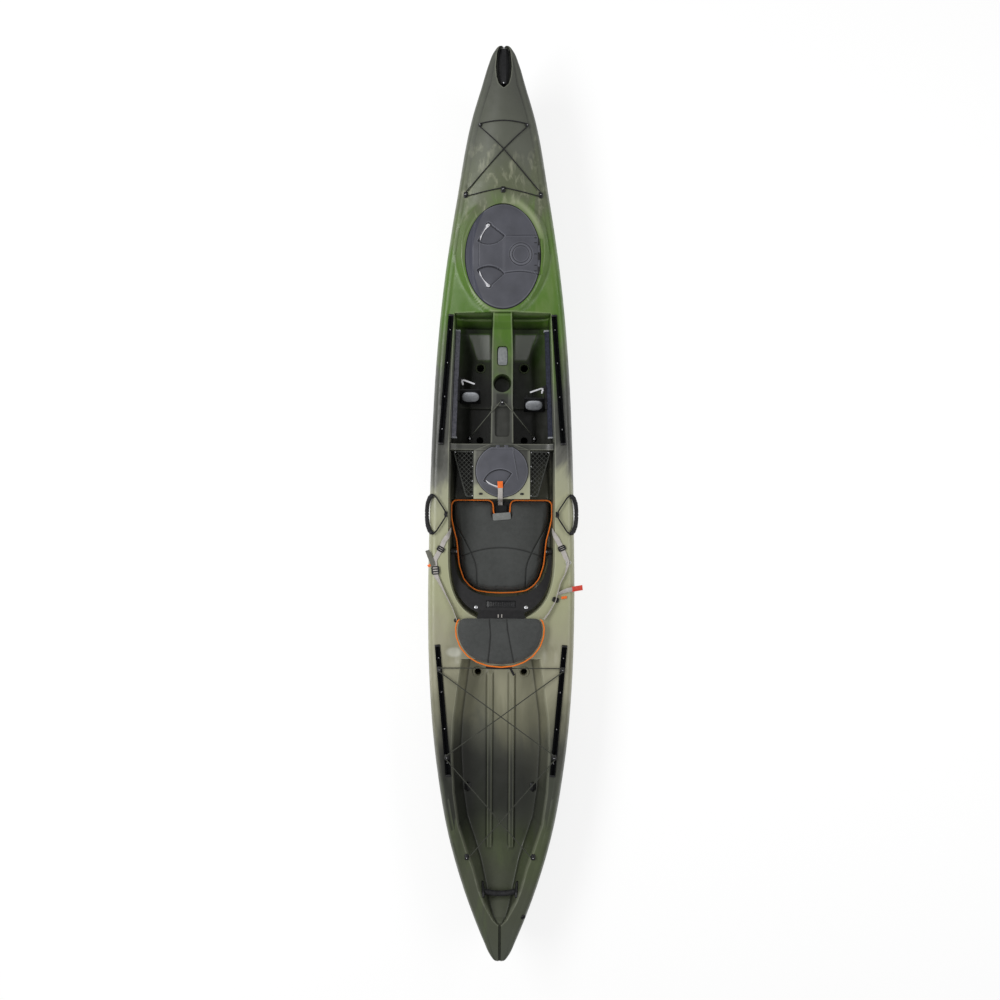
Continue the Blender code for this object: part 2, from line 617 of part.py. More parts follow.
def hollow_hull():
    """Cuts the wells from the outer skin, then a hold inside that keeps one wall off them all."""
    hold = loft("hold", [section_ring(hull_ring(s, WALL), along(s)) for s in HOLD_STATIONS])
    join(hull, cylinder(
        "bow_collar", 1, 0.06, (*BOW_HATCH, BOW_PLANE - 0.03), sides=BOW_SIDES, top_radius=0.955,
        stretch=(BOW_LID_HALF_WIDTH + 0.020, BOW_LID_HALF_LENGTH + 0.024),
    ))

    def bow_rebate(name, grow):
        return ellipse_block(
            name, BOW_HATCH, BOW_LID_HALF_WIDTH + LID_CLEARANCE, BOW_LID_HALF_LENGTH + LID_CLEARANCE,
            BOW_PLANE - REBATE - grow, 0.42, BOW_SIDES, grow=grow,
        )

    def mid_rebate(name, grow):
        radius = MID_LID_RADIUS + LID_CLEARANCE
        return ellipse_block(
            name, MID_HATCH, radius, radius, PEDESTAL_TOP - REBATE - grow, 0.36, MID_SIDES, grow=grow,
        )

    def cup_holder(name, grow):
        return cylinder(
            name, CUP_RADIUS - 0.003 + grow, 0.3, (0, CUP_Y, CUP_FLOOR + 0.15 - grow), sides=24,
            top_radius=CUP_RADIUS + 0.007 + grow,
        )

    def pad_recess(name, grow):
        return upright_box(name, (-0.026, 0.672, 0.262), (0.026, 0.764, 0.36), grow)

    def console_trough(name, grow):
        return upright_box(
            name, (-0.036, FOOTWELL_AFT + 0.035, PEDESTAL_TOP - 0.012), (0.036, FOOTWELL_STEP - 0.010, 0.34),
            grow,
        )

    def stern_groove(name, grow):
        return upright_box(name, (-0.006, -LENGTH / 2 - 0.01, 0.296), (0.006, -1.945, 0.36), grow)

    voids = [
        cockpit, tank_well, bow_rebate, mid_rebate, pad_recess, console_trough, stern_groove, bow_recess,
    ]
    for build in voids:
        cut(hull, build(build.__name__, 0.0))
        cut(hold, build(build.__name__ + "_wall", WALL))
    for place_name, ends in GEAR_RAILS.items():
        for side_name, side in (("left", -1), ("right", 1)):
            label = f"rail_slot_{place_name}_{side_name}"
            cut(hull, gear_rail_slot(label, ends, side, 0.0))
            cut(hold, gear_rail_slot(label + "_wall", ends, side, WALL))
    join(
        hull,
        cylinder("cup_boss", CUP_RADIUS + 0.013, 0.17, (0, CUP_Y, console_top(CUP_Y) - 0.0855), sides=24),
    )
    cut(hull, cup_holder("cup_holder", 0.0))
    cut(
        hold,
        cylinder("cup_boss_wall", CUP_RADIUS + 0.013, 0.5, (0, CUP_Y, CUP_FLOOR - WALL + 0.25), sides=24),
    )
    scuppers = [
        (0.108, 0.688, FOOTWELL_FLOOR), (0.110, FOOTWELL_AFT + 0.027, FOOTWELL_FLOOR - 0.007),
        (0.112, -0.800, TANK_FLOOR), (0.112, -0.330, SEAT_FLOOR),
    ]
    for i, (x, y, floor) in enumerate(scuppers):
        for side in (-1, 1):
            cut(
                hold,
                cylinder(
                    f"scupper_post_{i}_{side}", SCUPPER_RADIUS + 0.004 + WALL, 0.5, (side * x, y, 0.2),
                    sides=12,
                ),
            )
    cut(hull, hold)
    for i, (x, y, floor) in enumerate(scuppers):
        for side in (-1, 1):
            cut(
                hull,
                cylinder(
                    f"scupper_{i}_{side}", SCUPPER_RADIUS + 0.004, 0.3, (side * x, y, 0.13), sides=12,
                    top_radius=SCUPPER_RADIUS - 0.002,
                ),
            )
    cut(
        hull,
        ellipse_block(
            "bow_mouth", BOW_HATCH, BOW_LID_HALF_WIDTH - SEAL_LAND, BOW_LID_HALF_LENGTH - SEAL_LAND, 0.30,
            0.40, BOW_SIDES,
        ),
    )
    cut(
        hull,
        ellipse_block(
            "mid_mouth", MID_HATCH, MID_LID_RADIUS - SEAL_LAND, MID_LID_RADIUS - SEAL_LAND, 0.20, 0.30,
            MID_SIDES,
        ),
    )
    for side in (-1, 1):
        rib = box(f"tank_rib_{side}", (0.028, 0.89, 0.022), (side * 0.053, -1.23, TANK_FLOOR + 0.001))
        bevel = rib.modifiers.new("round", "BEVEL")
        bevel.width = 0.008
        bevel.segments = 1
        join(hull, rib)


hollow_hull()


def many_boxes(name, size, centres):
    """One body of several equal blocks, each with its own middle."""
    shape = bmesh.new()
    for centre in centres:
        bmesh.ops.create_cube(shape, size=1, matrix=Matrix.Translation(centre) @ Matrix.Diagonal((*size, 1)))
    return from_bmesh(shape, name, None)


def meshed(curve):
    """Mesh of a round bar that is about to be cut."""
    bpy.context.view_layer.update()
    data = bpy.data.meshes.new_from_object(curve.evaluated_get(bpy.context.evaluated_depsgraph_get()))
    shape = bmesh.new()
    shape.from_mesh(data)
    bmesh.ops.remove_doubles(shape, verts=shape.verts, dist=0.00001)
    finish = curve.data.materials[0] if curve.data.materials else None
    name = curve.name
    bpy.data.objects.remove(curve)
    bpy.data.meshes.remove(data)
    return from_bmesh(shape, name, finish)


def ring_plate(name, centre, inner, outer, low, high, finish, sides):
    """Flat oval ring between two heights, with half widths and half lengths inside and outside."""
    turns = np.arange(sides) * 2 * math.pi / sides
    edges = [np.column_stack((a * np.cos(turns), b * np.sin(turns))) for a, b in (outer, inner)]
    return flat_shape(
        name, edges[0], high - low, Matrix.Translation((*centre, (low + high) / 2)), finish, (edges[1],),
    )


def sector(pivot, start, sweep, length, half_width):
    """Outline of the well that a lever of one length sweeps between two angles."""
    first, last = sorted((start, start + sweep))
    edge = math.degrees(math.asin(half_width / length))
    arc = [math.radians(a) for a in np.linspace(first - edge, last + edge, 9)]
    hub = half_width + 0.004
    back = [math.radians(a) for a in np.linspace(last + 90, first + 270, 6)]
    points = [(length * math.cos(a), length * math.sin(a)) for a in arc]
    points += [(hub * math.cos(a), hub * math.sin(a)) for a in back]
    return [(pivot[0] + x, pivot[1] + y) for x, y in points]


def swing_latch(name, pivot, angle, length, well_floor, lid_bottom, blade_angle, blade_length):
    """Lever on the lid with its pin through the lid and a blade below it."""
    way = Vector((math.cos(math.radians(angle)), math.sin(math.radians(angle))))
    across = Vector((-way.y, way.x))
    rows = (
        (-0.004, 0.0105), (0.012, 0.0100), (0.040, 0.0065), (length - 0.012, 0.0080),
        (length - 0.003, 0.0070), (length, 0.0030),
    )
    outline = [way * d + across * w for d, w in rows] + [way * d - across * w for d, w in reversed(rows)]
    low = well_floor + 2 * GAP
    lever = flat_shape(
        name, [tuple(p) for p in outline], 0.0050, Matrix.Translation((*pivot, low + 0.0025)), GREY_NYLON,
    )
    hub = cylinder(name + "_hub", 0.0118, 0.0058, (*pivot, low + 0.0029), sides=16)
    blade_low = lid_bottom - 0.0060
    pin = cylinder(
        name + "_pin", LATCH_PIN_RADIUS - 0.0005, low + 0.002 - blade_low,
        (*pivot, (low + 0.002 + blade_low) / 2), sides=12,
    )
    turn = Matrix.Rotation(math.radians(blade_angle), 4, "Z")
    blade_centre = Vector((*pivot, blade_low + 0.0022)) + turn @ Vector((blade_length / 2 - 0.005, 0, 0))
    blade = box(name + "_blade", (blade_length + 0.010, 0.013, 0.0044), blade_centre, turn=turn)
    return join(lever, hub, pin, blade)


def hatch_hinge(prefix, lid, pin, axis, length, lid_way, leaf_reach, surface):
    """Five knuckles about one pin: three with the leaf on the hull, two on the lid's straight edge."""
    pin = Vector(pin)
    line = Vector((1, 0, 0)) if axis == "X" else Vector((0, 1, 0))
    lid_way = Vector(lid_way)
    pitch = length / 5

    def bar(name, along_pin, reach, width, low, high):
        size = Vector(
            (
                width if axis == "X" else reach[1] - reach[0], reach[1] - reach[0] if axis == "X" else width,
                high - low,
            )
        )
        middle = pin + line * along_pin + lid_way * (reach[0] + reach[1]) / 2
        middle.z = (low + high) / 2
        return box(name, size, middle)

    leaf = bar(
        prefix + "_hinge", 0, (-leaf_reach, -HINGE_RADIUS - 0.0007), length, surface + GAP, surface + 0.0026,
    )
    cutters.objects.unlink(leaf)
    kayak.objects.link(leaf)
    leaf.display_type = "TEXTURED"
    leaf.hide_render = False
    leaf.data.materials.append(STEEL)
    join(leaf, cylinder(prefix + "_pin", HINGE_PIN_RADIUS, length - 0.001, pin, axis=axis, sides=10))
    for i in range(5):
        where = (i - 2) * pitch
        knuckle = cylinder(
            f"{prefix}_knuckle_{i}", HINGE_RADIUS, pitch - 0.0008, pin + line * where, axis=axis, sides=12,
        )
        if i % 2:
            join(
                lid, knuckle,
                bar(f"{prefix}_web_{i}", where, (0, 0.0085), pitch - 0.0008, pin.z - 0.0035, pin.z + 0.0028),
            )
        else:
            join(
                leaf, knuckle,
                bar(
                    f"{prefix}_web_{i}", where, (-HINGE_RADIUS - 0.002, 0), pitch - 0.0008, surface + GAP,
                    surface + 0.0026,
                ),
            )
    cut(lid, cylinder(prefix + "_bore", HINGE_PIN_RADIUS + 0.0005, length + 0.02, pin, axis=axis, sides=10))
    return leaf


def bow_hatch():
    """Large oval lid on the fore deck, hinged along its starboard edge, with two swing latches."""
    floor = BOW_PLANE - REBATE
    seal_low = floor + GAP
    bottom = seal_low + SEAL_THICK + GAP
    top = bottom + LID_THICK
    a, b = BOW_LID_HALF_WIDTH, BOW_LID_HALF_LENGTH
    ring_plate(
        "bow_hatch_gasket", BOW_HATCH, (a - 0.0165, b - 0.0165), (a - 0.004, b - 0.004), seal_low,
        seal_low + SEAL_THICK, RUBBER, BOW_SIDES,
    )
    profile = (
        (0, top + BOW_CROWN), (0.35, top + BOW_CROWN * 0.93), (0.68, top + BOW_CROWN * 0.66),
        (0.90, top + BOW_CROWN * 0.25), (0.975, top), (1, top - 0.004), (1, bottom), (0, bottom),
    )
    lid = turned(
        "bow_hatch_lid", profile, BOW_SIDES, LID_PLASTIC, Matrix.Translation((*BOW_HATCH, 0)), (a, b),
    )
    pin_x = a - HINGE_INSET
    chord = pin_x - HINGE_RADIUS - 0.0008
    cut(lid, upright_box("bow_chord", (chord, BOW_HATCH[1] - 0.2, 0.33), (0.25, BOW_HATCH[1] + 0.2, 0.40)))
    hatch_hinge(
        "bow_hatch", lid, (pin_x, BOW_HATCH[1], BOW_PLANE + HINGE_RADIUS + 2 * GAP), "Y", 0.165, (-1, 0, 0),
        0.0175, BOW_PLANE,
    )
    well = bottom + LID_THICK + BOW_CROWN * 0.5 - LATCH_WELL
    middle = BOW_HATCH[1]
    for name, pivot, angle, sweep, blade in (
        ("bow_latch_forward", (0.1075 - a, middle + b - 0.1015), -119.5, 81.5, 115),
        ("bow_latch_aft", (0.1088 - a, middle - b + 0.1063), 123, -81.4, -115),
    ):
        cut(
            lid,
            flat_shape(
                name + "_well", sector(pivot, angle, sweep, 0.086, 0.0115), 0.03,
                Matrix.Translation((0, 0, well + 0.015)),
            ),
        )
        cut(lid, cylinder(name + "_hole", LATCH_PIN_RADIUS, 0.06, (*pivot, well - 0.01), sides=12))
        swing_latch(name, pivot, angle, 0.081, well, bottom, blade, 0.034)
    badge = cylinder(
        "bow_boss", 0.046, 0.02, (a - 0.091, middle + 0.007, top + BOW_CROWN * 0.66 - 0.0075), sides=24,
        top_radius=0.043,
    )
    join(lid, badge)
    cut(lid, box("bow_crease", (0.0025, 0.36, 0.01), (0.057 - a, middle, top + BOW_CROWN * 0.5 + 0.0035)))
    return lid


def mid_hatch():
    """Round lid between the thighs, hinged at its forward edge, with one swing latch."""
    seal_low = PEDESTAL_TOP - REBATE + GAP
    bottom = seal_low + SEAL_THICK + GAP
    top = bottom + LID_THICK
    r = MID_LID_RADIUS
    ring_plate(
        "mid_hatch_gasket", MID_HATCH, (r - 0.0165, r - 0.0165), (r - 0.004, r - 0.004), seal_low,
        seal_low + SEAL_THICK, RUBBER, MID_SIDES,
    )
    profile = (
        (0, top + MID_CROWN), (0.5 * r, top + MID_CROWN * 0.8), (0.84 * r, top + MID_CROWN * 0.3),
        (0.96 * r, top), (r, top - 0.004), (r, bottom), (0, bottom),
    )
    lid = turned("mid_hatch_lid", profile, MID_SIDES, LID_PLASTIC, Matrix.Translation((*MID_HATCH, 0)))
    pin_y = MID_HATCH[1] + r - HINGE_INSET + 0.0005
    chord = pin_y - HINGE_RADIUS - 0.0008
    cut(lid, upright_box("mid_chord", (-0.1, chord, 0.22), (0.1, 0.33, 0.28)))
    hatch_hinge(
        "mid_hatch", lid, (0, pin_y, PEDESTAL_TOP + HINGE_RADIUS + 2 * GAP), "X", 0.102, (0, -1, 0), 0.0165,
        PEDESTAL_TOP,
    )
    well = top + MID_CROWN * 0.5 - LATCH_WELL
    pivot = (MID_HATCH[0] - 0.008, MID_HATCH[1] - r + 0.0485)
    cut(
        lid,
        flat_shape(
            "mid_latch_well", sector(pivot, 155, -100, 0.082, 0.0115), 0.03,
            Matrix.Translation((0, 0, well + 0.015)),
        ),
    )
    cut(lid, cylinder("mid_latch_hole", LATCH_PIN_RADIUS, 0.06, (*pivot, well - 0.01), sides=12))
    swing_latch("mid_latch", pivot, 155, 0.077, well, bottom, -95, 0.018)
    return lid


bow_hatch()
mid_hatch()


def carry_handles():
    """Bow handle arched over its recess, and the stern bar across the end of the tank well."""
    nose = LENGTH / 2
    front = BOW_RECESS_FLOOR - 0.011 * BOW_RECESS_RAKE + GAP
    rear = BOW_RECESS_FLOOR - 0.163 * BOW_RECESS_RAKE + GAP
    outline = (
        (-0.011, front), (-0.011, 0.370), (-0.022, 0.382), (-0.045, 0.3885), (-0.105, 0.3890),
        (-0.150, 0.3850), (-0.176, 0.3730), (-0.184, rear),
        (-0.163, rear), (-0.158, 0.368), (-0.142, 0.3765), (-0.105, 0.3800), (-0.048, 0.3795),
        (-0.030, 0.3735), (-0.025, 0.364), (-0.025, front),
    )
    upright = Matrix(((0, 0, 1, 0), (1, 0, 0, nose), (0, 1, 0, 0), (0, 0, 0, 1)))
    flat_shape("bow_handle", outline, 0.021, upright, BLACK_NYLON)
    bend = [
        (x, -1.836 + 0.051 * (abs(x) / 0.088) ** 1.7, 0.262)
        for x in (-0.13, -0.10, -0.075, -0.05, -0.025, 0, 0.025, 0.05, 0.075, 0.10, 0.13)
    ]
    bar = meshed(tube("stern_handle", bend, 0.0115, BLACK_NYLON))
    boolean(bar, tank_well("tank_well_room", -GAP), "INTERSECT")


def gear_rails():
    """T-slot accessory rails let into the deck beside the cockpit and the tank well."""
    w, h = GEAR_RAIL_WIDTH / 2, GEAR_RAIL_HEIGHT
    outline = (
        (w, 0), (w, h), (0.0042, h), (0.0042, h - 0.0030), (0.0078, h - 0.0030), (0.0078, 0.0030),
        (-0.0078, 0.0030), (-0.0078, h - 0.0030), (-0.0042, h - 0.0030), (-0.0042, h), (-w, h), (-w, 0),
    )
    for place_name, ends in GEAR_RAILS.items():
        for side_name, side in (("left", -1), ("right", 1)):
            centre, turn, length = gear_rail_frame(ends, side)
            upright = Matrix(((1, 0, 0, 0), (0, 0, -1, 0), (0, 1, 0, 0), (0, 0, 0, 1)))
            flat_shape(
                f"gear_rail_{place_name}_{side_name}", outline, length,
                Matrix.Translation(centre) @ turn @ upright, ANODISED,
            )


carry_handles()
gear_rails()

FOOT_RAIL_ANGLE = math.atan((COCKPIT_HALF_MID - COCKPIT_HALF_FRONT) / (FOOTWELL_FRONT - FOOTWELL_AFT))
PEDALS = {"left": (-1, 0.535), "right": (1, 0.496)}
CARRIAGE_LENGTH = 0.115


def in_rail(side, y, inboard, z):
    """Point at a distance inboard of the footwell's wall, square to the foot rail."""
    turn = Matrix.Rotation(side * FOOT_RAIL_ANGLE, 4, "Z")
    return Vector((side * wall_half(y), y, z)) + turn @ Vector((-side * inboard, 0, 0)), turn


def foot_brace(side_name, side, y):
    """Rail with its rack, a carriage that slides in it, a pedal with its pad and the sprung trigger."""
    deep, tall = FOOT_RAIL_DEPTH, FOOT_RAIL_TALL / 2
    lip = 0.0065
    outline = (
        (0, -tall), (deep, -tall), (deep, -lip), (deep - 0.003, -lip), (deep - 0.003, -tall + 0.003),
        (0.003, -tall + 0.003),
        (0.003, tall - 0.003), (deep - 0.003, tall - 0.003), (deep - 0.003, lip), (deep, lip), (deep, tall),
        (0, tall),
    )
    middle_y = (FOOT_RAIL_FRONT + FOOT_RAIL_AFT) / 2
    centre, turn = in_rail(side, middle_y, GAP, FOOT_RAIL_Z)
    inboard = turn.to_3x3() @ Vector((-side, 0, 0))
    up = Vector((0, 0, 1))
    frame = Matrix((inboard, up, inboard.cross(up))).transposed().to_4x4()
    length = (FOOT_RAIL_FRONT - FOOT_RAIL_AFT) / math.cos(FOOT_RAIL_ANGLE)
    rail = flat_shape(
        f"foot_rail_{side_name}", outline, length, Matrix.Translation(centre) @ frame, RAIL_GREY,
    )
    teeth = many_boxes(
        f"rack_{side_name}", (0.0075, 0.008, 0.02),
        [(-side * (deep - 0.001), v, FOOT_RAIL_TALL / 2 + 0.008) for v in np.arange(-12, 13) * 0.020],
    )
    teeth.matrix_world = Matrix.Translation(centre) @ turn
    cut(rail, teeth)

    def block(name, size, inboard_at, forward, z, finish=None):
        at, lean = in_rail(side, y, inboard_at, z)
        return box(name, size, at + lean @ Vector((0, forward, 0)), finish, lean)

    arm_forward = 0.035
    slider = block(
        f"foot_pedal_{side_name}", (deep - 0.0072, CARRIAGE_LENGTH, FOOT_RAIL_TALL - 0.0072), GAP + deep / 2,
        arm_forward, FOOT_RAIL_Z, BLACK_NYLON,
    )
    neck = block(
        f"neck_{side_name}", (0.012, CARRIAGE_LENGTH, 2 * lip - 0.0012), deep + 0.0005, arm_forward,
        FOOT_RAIL_Z,
    )
    arm = block(f"arm_{side_name}", (0.009, CARRIAGE_LENGTH, 0.038), deep + 0.0055, arm_forward, FOOT_RAIL_Z)
    bridge = block(f"bridge_{side_name}", (0.034, 0.022, 0.018), deep + 0.022, 0.021, FOOT_RAIL_Z)
    tilt = Matrix.Rotation(math.radians(-28), 4, "X")
    pedal_x = side * 0.1535
    plate = box(f"plate_{side_name}", (0.095, 0.007, 0.112), (pedal_x, y, 0.1915), turn=tilt)
    ribs = [
        box(f"pedal_rib_{side_name}_{i}", (0.005, 0.020, 0.100), (pedal_x + x, y + 0.011, 0.1860), turn=tilt)
        for i, x in enumerate((-0.036, 0.036))
    ]
    post_y = 0.072
    shelf_top = FOOT_RAIL_Z + 0.019
    shelf = block(f"shelf_{side_name}", (0.022, 0.030, 0.006), deep + 0.012, post_y, shelf_top - 0.003)
    post_at, _ = in_rail(side, y, deep + 0.014, 0)
    post_at = post_at + turn @ Vector((0, post_y, 0))
    post_at.z = shelf_top + 0.004
    post = cylinder(f"post_{side_name}", 0.0030, 0.012, post_at, sides=12)
    join(slider, neck, arm, bridge, plate, *ribs, shelf, post)
    pad_at = Vector((pedal_x, y, 0.1915)) + tilt @ Vector((0, -0.0035 - GAP - 0.0015, 0))
    pad = box(f"pedal_pad_{side_name}", (0.082, 0.003, 0.096), pad_at, GREY_NYLON, tilt)
    grooves = many_boxes(
        f"pad_grooves_{side_name}", (0.10, 0.0012, 0.003),
        [(0, -0.0015, z) for z in np.arange(-2, 3) * 0.017],
    )
    grooves.matrix_world = Matrix.Translation(pad_at) @ tilt
    cut(pad, grooves)
    low = shelf_top + 2 * GAP
    swing = 12.6 if side < 0 else 14.6
    way = Matrix.Rotation(math.radians(side * swing), 4, "Z")
    rows = (
        (-0.012, 0.0035), (-0.004, 0.0075), (0.004, 0.0080), (0.020, 0.0060), (0.050, 0.0060),
        (0.064, 0.0075), (0.0705, 0.0055),
    )
    outline = [(-side * d, w) for d, w in rows] + [(-side * d, -w) for d, w in reversed(rows)]
    trigger = flat_shape(
        f"foot_trigger_{side_name}", outline, 0.006,
        Matrix.Translation((post_at.x, post_at.y, low + 0.003)) @ way, GREY_NYLON,
    )
    cut(trigger, cylinder(f"trigger_bore_{side_name}", 0.0035, 0.03, (post_at.x, post_at.y, low), sides=12))


for side_name, (side, y) in PEDALS.items():
    foot_brace(side_name, side, y)


def pocket_net(side_name, side):
    """Flat elastic net over the pocket beside the mid hatch, with a diamond mesh."""
    z = 0.2335
    corners = np.array(((0.1356, 0.2682), (0.2320, 0.2670), (0.1720, 0.0525), (0.1356, 0.0500)))
    tab = ((0.160, 0.2680), (0.160, 0.2740), (0.195, 0.2740), (0.195, 0.2676))
    cell = 0.0215
    holes = []
    bound = grown(corners, -0.0085)
    edge = np.roll(bound, -1, axis=0) - bound
    sign = np.sign(np.cross(edge[0], edge[1]))
    for row in range(-20, 21):
        for column in range(-20, 21):
            middle = np.array((0.18 + (column + (row % 2) / 2) * cell, 0.16 + row * cell / 2))
            points = middle + np.array(((0.0078, 0), (0, 0.0078), (-0.0078, 0), (0, -0.0078)))
            inside = all(sign * np.cross(edge[i], p - bound[i]) > 0 for i in range(4) for p in points)
            if inside:
                holes.append([(side * u, v) for u, v in points])
    flat_shape(
        f"pocket_net_{side_name}", [(side * u, v) for u, v in (corners[0], *tab, *corners[1:])], 0.003,
        Matrix.Translation((0, 0, z)), NETTING, holes,
    )


for side_name, side in (("left", -1), ("right", 1)):
    pocket_net(side_name, side)


def padded(name, half, low, high, insets, finish):
    """Cushion through rings of one outline: each ring is a share of the height and an inset."""
    outline = np.vstack((half, half[::-1] * (-1, 1)))
    rings = []
    for share, inset in insets:
        level = grown(outline, -inset) if inset else outline
        rings.append(np.column_stack((level, np.full(len(level), low + (high - low) * share))))
    return loft(name, rings, finish)


def groove(name, points, radius=0.0048):
    return meshed(tube(name, points, radius, None, smooth_sides=1))


def seat():
    """Pan, cushion, hinged frame and back pad; the back is shown laid down on the deck."""
    width = COCKPIT_HALF_SEAT - 0.022
    edge = np.array((
        (0.060, 0.030), (width, 0.030), (width, -0.225), (width - 0.011, -0.285), (width - 0.035, -0.340),
        (width - 0.080, -0.385), (0.08, -0.408),
    ))
    low = SEAT_FLOOR + GAP
    pan = flat_shape(
        "seat_pan", np.vstack((edge, edge[::-1] * (-1, 1))), 0.004, Matrix.Translation((0, 0, low + 0.002)),
        SHELL,
    )
    for side in (-1, 1):
        height = PIVOT_Z - low - 0.002
        ear_outline = [(-0.022, -height), (0.022, -height), (0.016, 0)] + [
            (0.016 * math.cos(a), 0.016 * math.sin(a))
            for a in np.radians(np.arange(22.5, 180, 22.5))
        ] + [(-0.016, 0)]
        sideways = Matrix(((0, 0, 1, side * SEAT_EAR), (1, 0, 0, PIVOT_Y), (0, 1, 0, PIVOT_Z), (0, 0, 0, 1)))
        join(pan, flat_shape(f"ear_{side}", ear_outline, 0.0045, sideways))
        cut(
            pan,
            cylinder(
                f"ear_hole_{side}", PIVOT_PIN_RADIUS + 0.0005, 0.02, (side * SEAT_EAR, PIVOT_Y, PIVOT_Z),
                axis="X", sides=12,
            ),
        )
    for side_name, side in (("left", -1), ("right", 1)):
        pin = cylinder(
            f"seat_pivot_pin_{side_name}", PIVOT_PIN_RADIUS, 0.028,
            (side * (SEAT_EAR + 0.009), PIVOT_Y, PIVOT_Z), STEEL, axis="X", sides=12,
        )
        join(
            pin,
            cylinder(
                f"pin_head_{side}", 0.0075, 0.0030, (side * (SEAT_EAR - 0.0042), PIVOT_Y, PIVOT_Z), axis="X",
                sides=12,
            ),
        )
    cushion_half = np.array((
        (0.040, -0.036), (0.042, 0.020), (0.054, 0.033), (0.140, 0.033), (0.228, 0.032), (0.2385, 0.015),
        (0.2390, -0.042), (0.2300, -0.105), (0.2170, -0.163), (0.2120, -0.2145),
        (0.2060, -0.279), (0.1840, -0.347), (0.1560, -0.382), (0.1210, -0.405), (0.0600, -0.414),
        (0.0200, -0.416),
    ))
    wide = cushion_half[:, 0] > 0.13
    cushion_half[wide, 0] += COCKPIT_HALF_SEAT - CUSHION_EDGE_GAP - cushion_half[:, 0].max()
    bottom = low + 0.004 + GAP
    cushion = padded(
        "seat_cushion", cushion_half, bottom, 0.171,
        ((0, 0.0100), (0.10, 0.0040), (0.40, 0), (0.68, 0.0030), (0.88, 0.0095), (0.97, 0.0150)), FABRIC,
    )
    seams = []
    for side in (-1, 1):
        path = (
            (0.262, -0.052, 0.158), (0.227, -0.074, 0.167), (0.190, -0.142, 0.1715), (0.153, -0.210, 0.1715),
            (0.130, -0.262, 0.1715), (0.121, -0.297, 0.1715), (0.118, -0.385, 0.1705),
            (0.118, -0.425, 0.160),
        )
        seams.append(groove(f"cushion_seam_{side}", [(side * x, y, z) for x, y, z in path]))
    seams.append(
        groove(
            "cushion_seam_across",
            [
                (x, -0.200 - 0.04 * (x / 0.2) ** 2, 0.1715 - 0.012 * max(0, abs(x) - 0.17) / 0.06)
                for x in np.linspace(-0.23, 0.23, 9)
            ],
        )
    )
    cut(cushion, *seams)

    frame_half = []
    for t in np.linspace(0, math.pi, 25):
        c, s = math.cos(t), max(math.sin(t), 0)
        sign = 1 if c >= 0 else -1
        outer = Vector((sign * SEAT_BACK_HALF * abs(c) ** (2 / 2.6), PIVOT_Y - 0.2965 * s ** (2 / 2.6)))
        inner = Vector(
            (sign * (SEAT_BACK_HALF - 0.0165) * abs(c) ** (2 / 2.6), PIVOT_Y - 0.2095 * s ** (2 / 2.6))
        )
        inward = (inner - outer).normalized()
        ring = []
        for point, drop in (
            (inner, 0.0022), (outer, 0.0022), (outer, -0.0090), (outer + inward * 0.0035, -0.0090),
            (outer + inward * 0.0042, -0.0022), (inner, -0.0022),
        ):
            z = PIVOT_Z + math.tan(RECLINE) * (PIVOT_Y - point.y) + drop
            ring.append((point.x, point.y, z))
        frame_half.append(ring)
    frame = loft("seat_back_frame", frame_half, SHELL)
    for side in (-1, 1):
        join(
            frame,
            cylinder(
                f"frame_boss_{side}", 0.0150, 0.0165, (side * SEAT_BOSS, PIVOT_Y, PIVOT_Z), axis="X",
                sides=16,
            ),
        )
        cut(
            frame,
            cylinder(
                f"frame_hole_{side}", PIVOT_PIN_RADIUS + 0.0005, 0.04, (side * SEAT_BOSS, PIVOT_Y, PIVOT_Z),
                axis="X", sides=12,
            ),
        )
    rise = math.tan(RECLINE)
    start, ledge = -0.484, -0.522
    start_z = PIVOT_Z + rise * (PIVOT_Y - start)
    plate_low = 0.3042
    rows = (
        (start, start_z - 0.0018, 0.105), (ledge, plate_low, 0.115), (-0.62, plate_low, 0.120),
        (-0.705, plate_low, 0.070),
    )
    tongue = loft(
        "back_plate",
        [[(x, y, z + h) for x, h in ((-w, 0), (w, 0), (w, 0.0035), (-w, 0.0035))] for y, z, w in rows],
    )
    join(frame, tongue)
    cut(frame, upright_box("adjuster_window", (-0.072, -0.474, 0.22), (0.068, -0.442, 0.32)))
    pad_half = np.array((
        (0.030, -0.509), (0.120, -0.510), (0.185, -0.515), (0.2030, -0.532), (0.2115, -0.562),
        (0.2080, -0.605), (0.1900, -0.652), (0.1560, -0.694), (0.1120, -0.722), (0.0620, -0.739),
        (0.0200, -0.745),
    ))
    pad_low = plate_low + 0.0035 + GAP
    pad = padded(
        "seat_back_pad", pad_half, pad_low, 0.347,
        ((0, 0.0080), (0.15, 0.0020), (0.45, 0), (0.72, 0.0030), (0.90, 0.0090), (0.98, 0.0150)), FABRIC,
    )
    lines = []
    for i, path in enumerate((
        (
            (-0.054, -0.500), (-0.0535, -0.525), (-0.048, -0.593), (-0.052, -0.650), (-0.058, -0.705),
            (-0.061, -0.737),
        ),
        (
            (0.026, -0.500), (0.0275, -0.525), (0.031, -0.570), (0.045, -0.645), (0.056, -0.700),
            (0.062, -0.737),
        ),
    )):
        heights = (0.338, 0.3465, 0.3475, 0.3475, 0.347, 0.338)
        lines.append(groove(f"pad_seam_{i}", [(x, y, z) for (x, y), z in zip(path, heights)]))
    cut(pad, *lines)


seat()


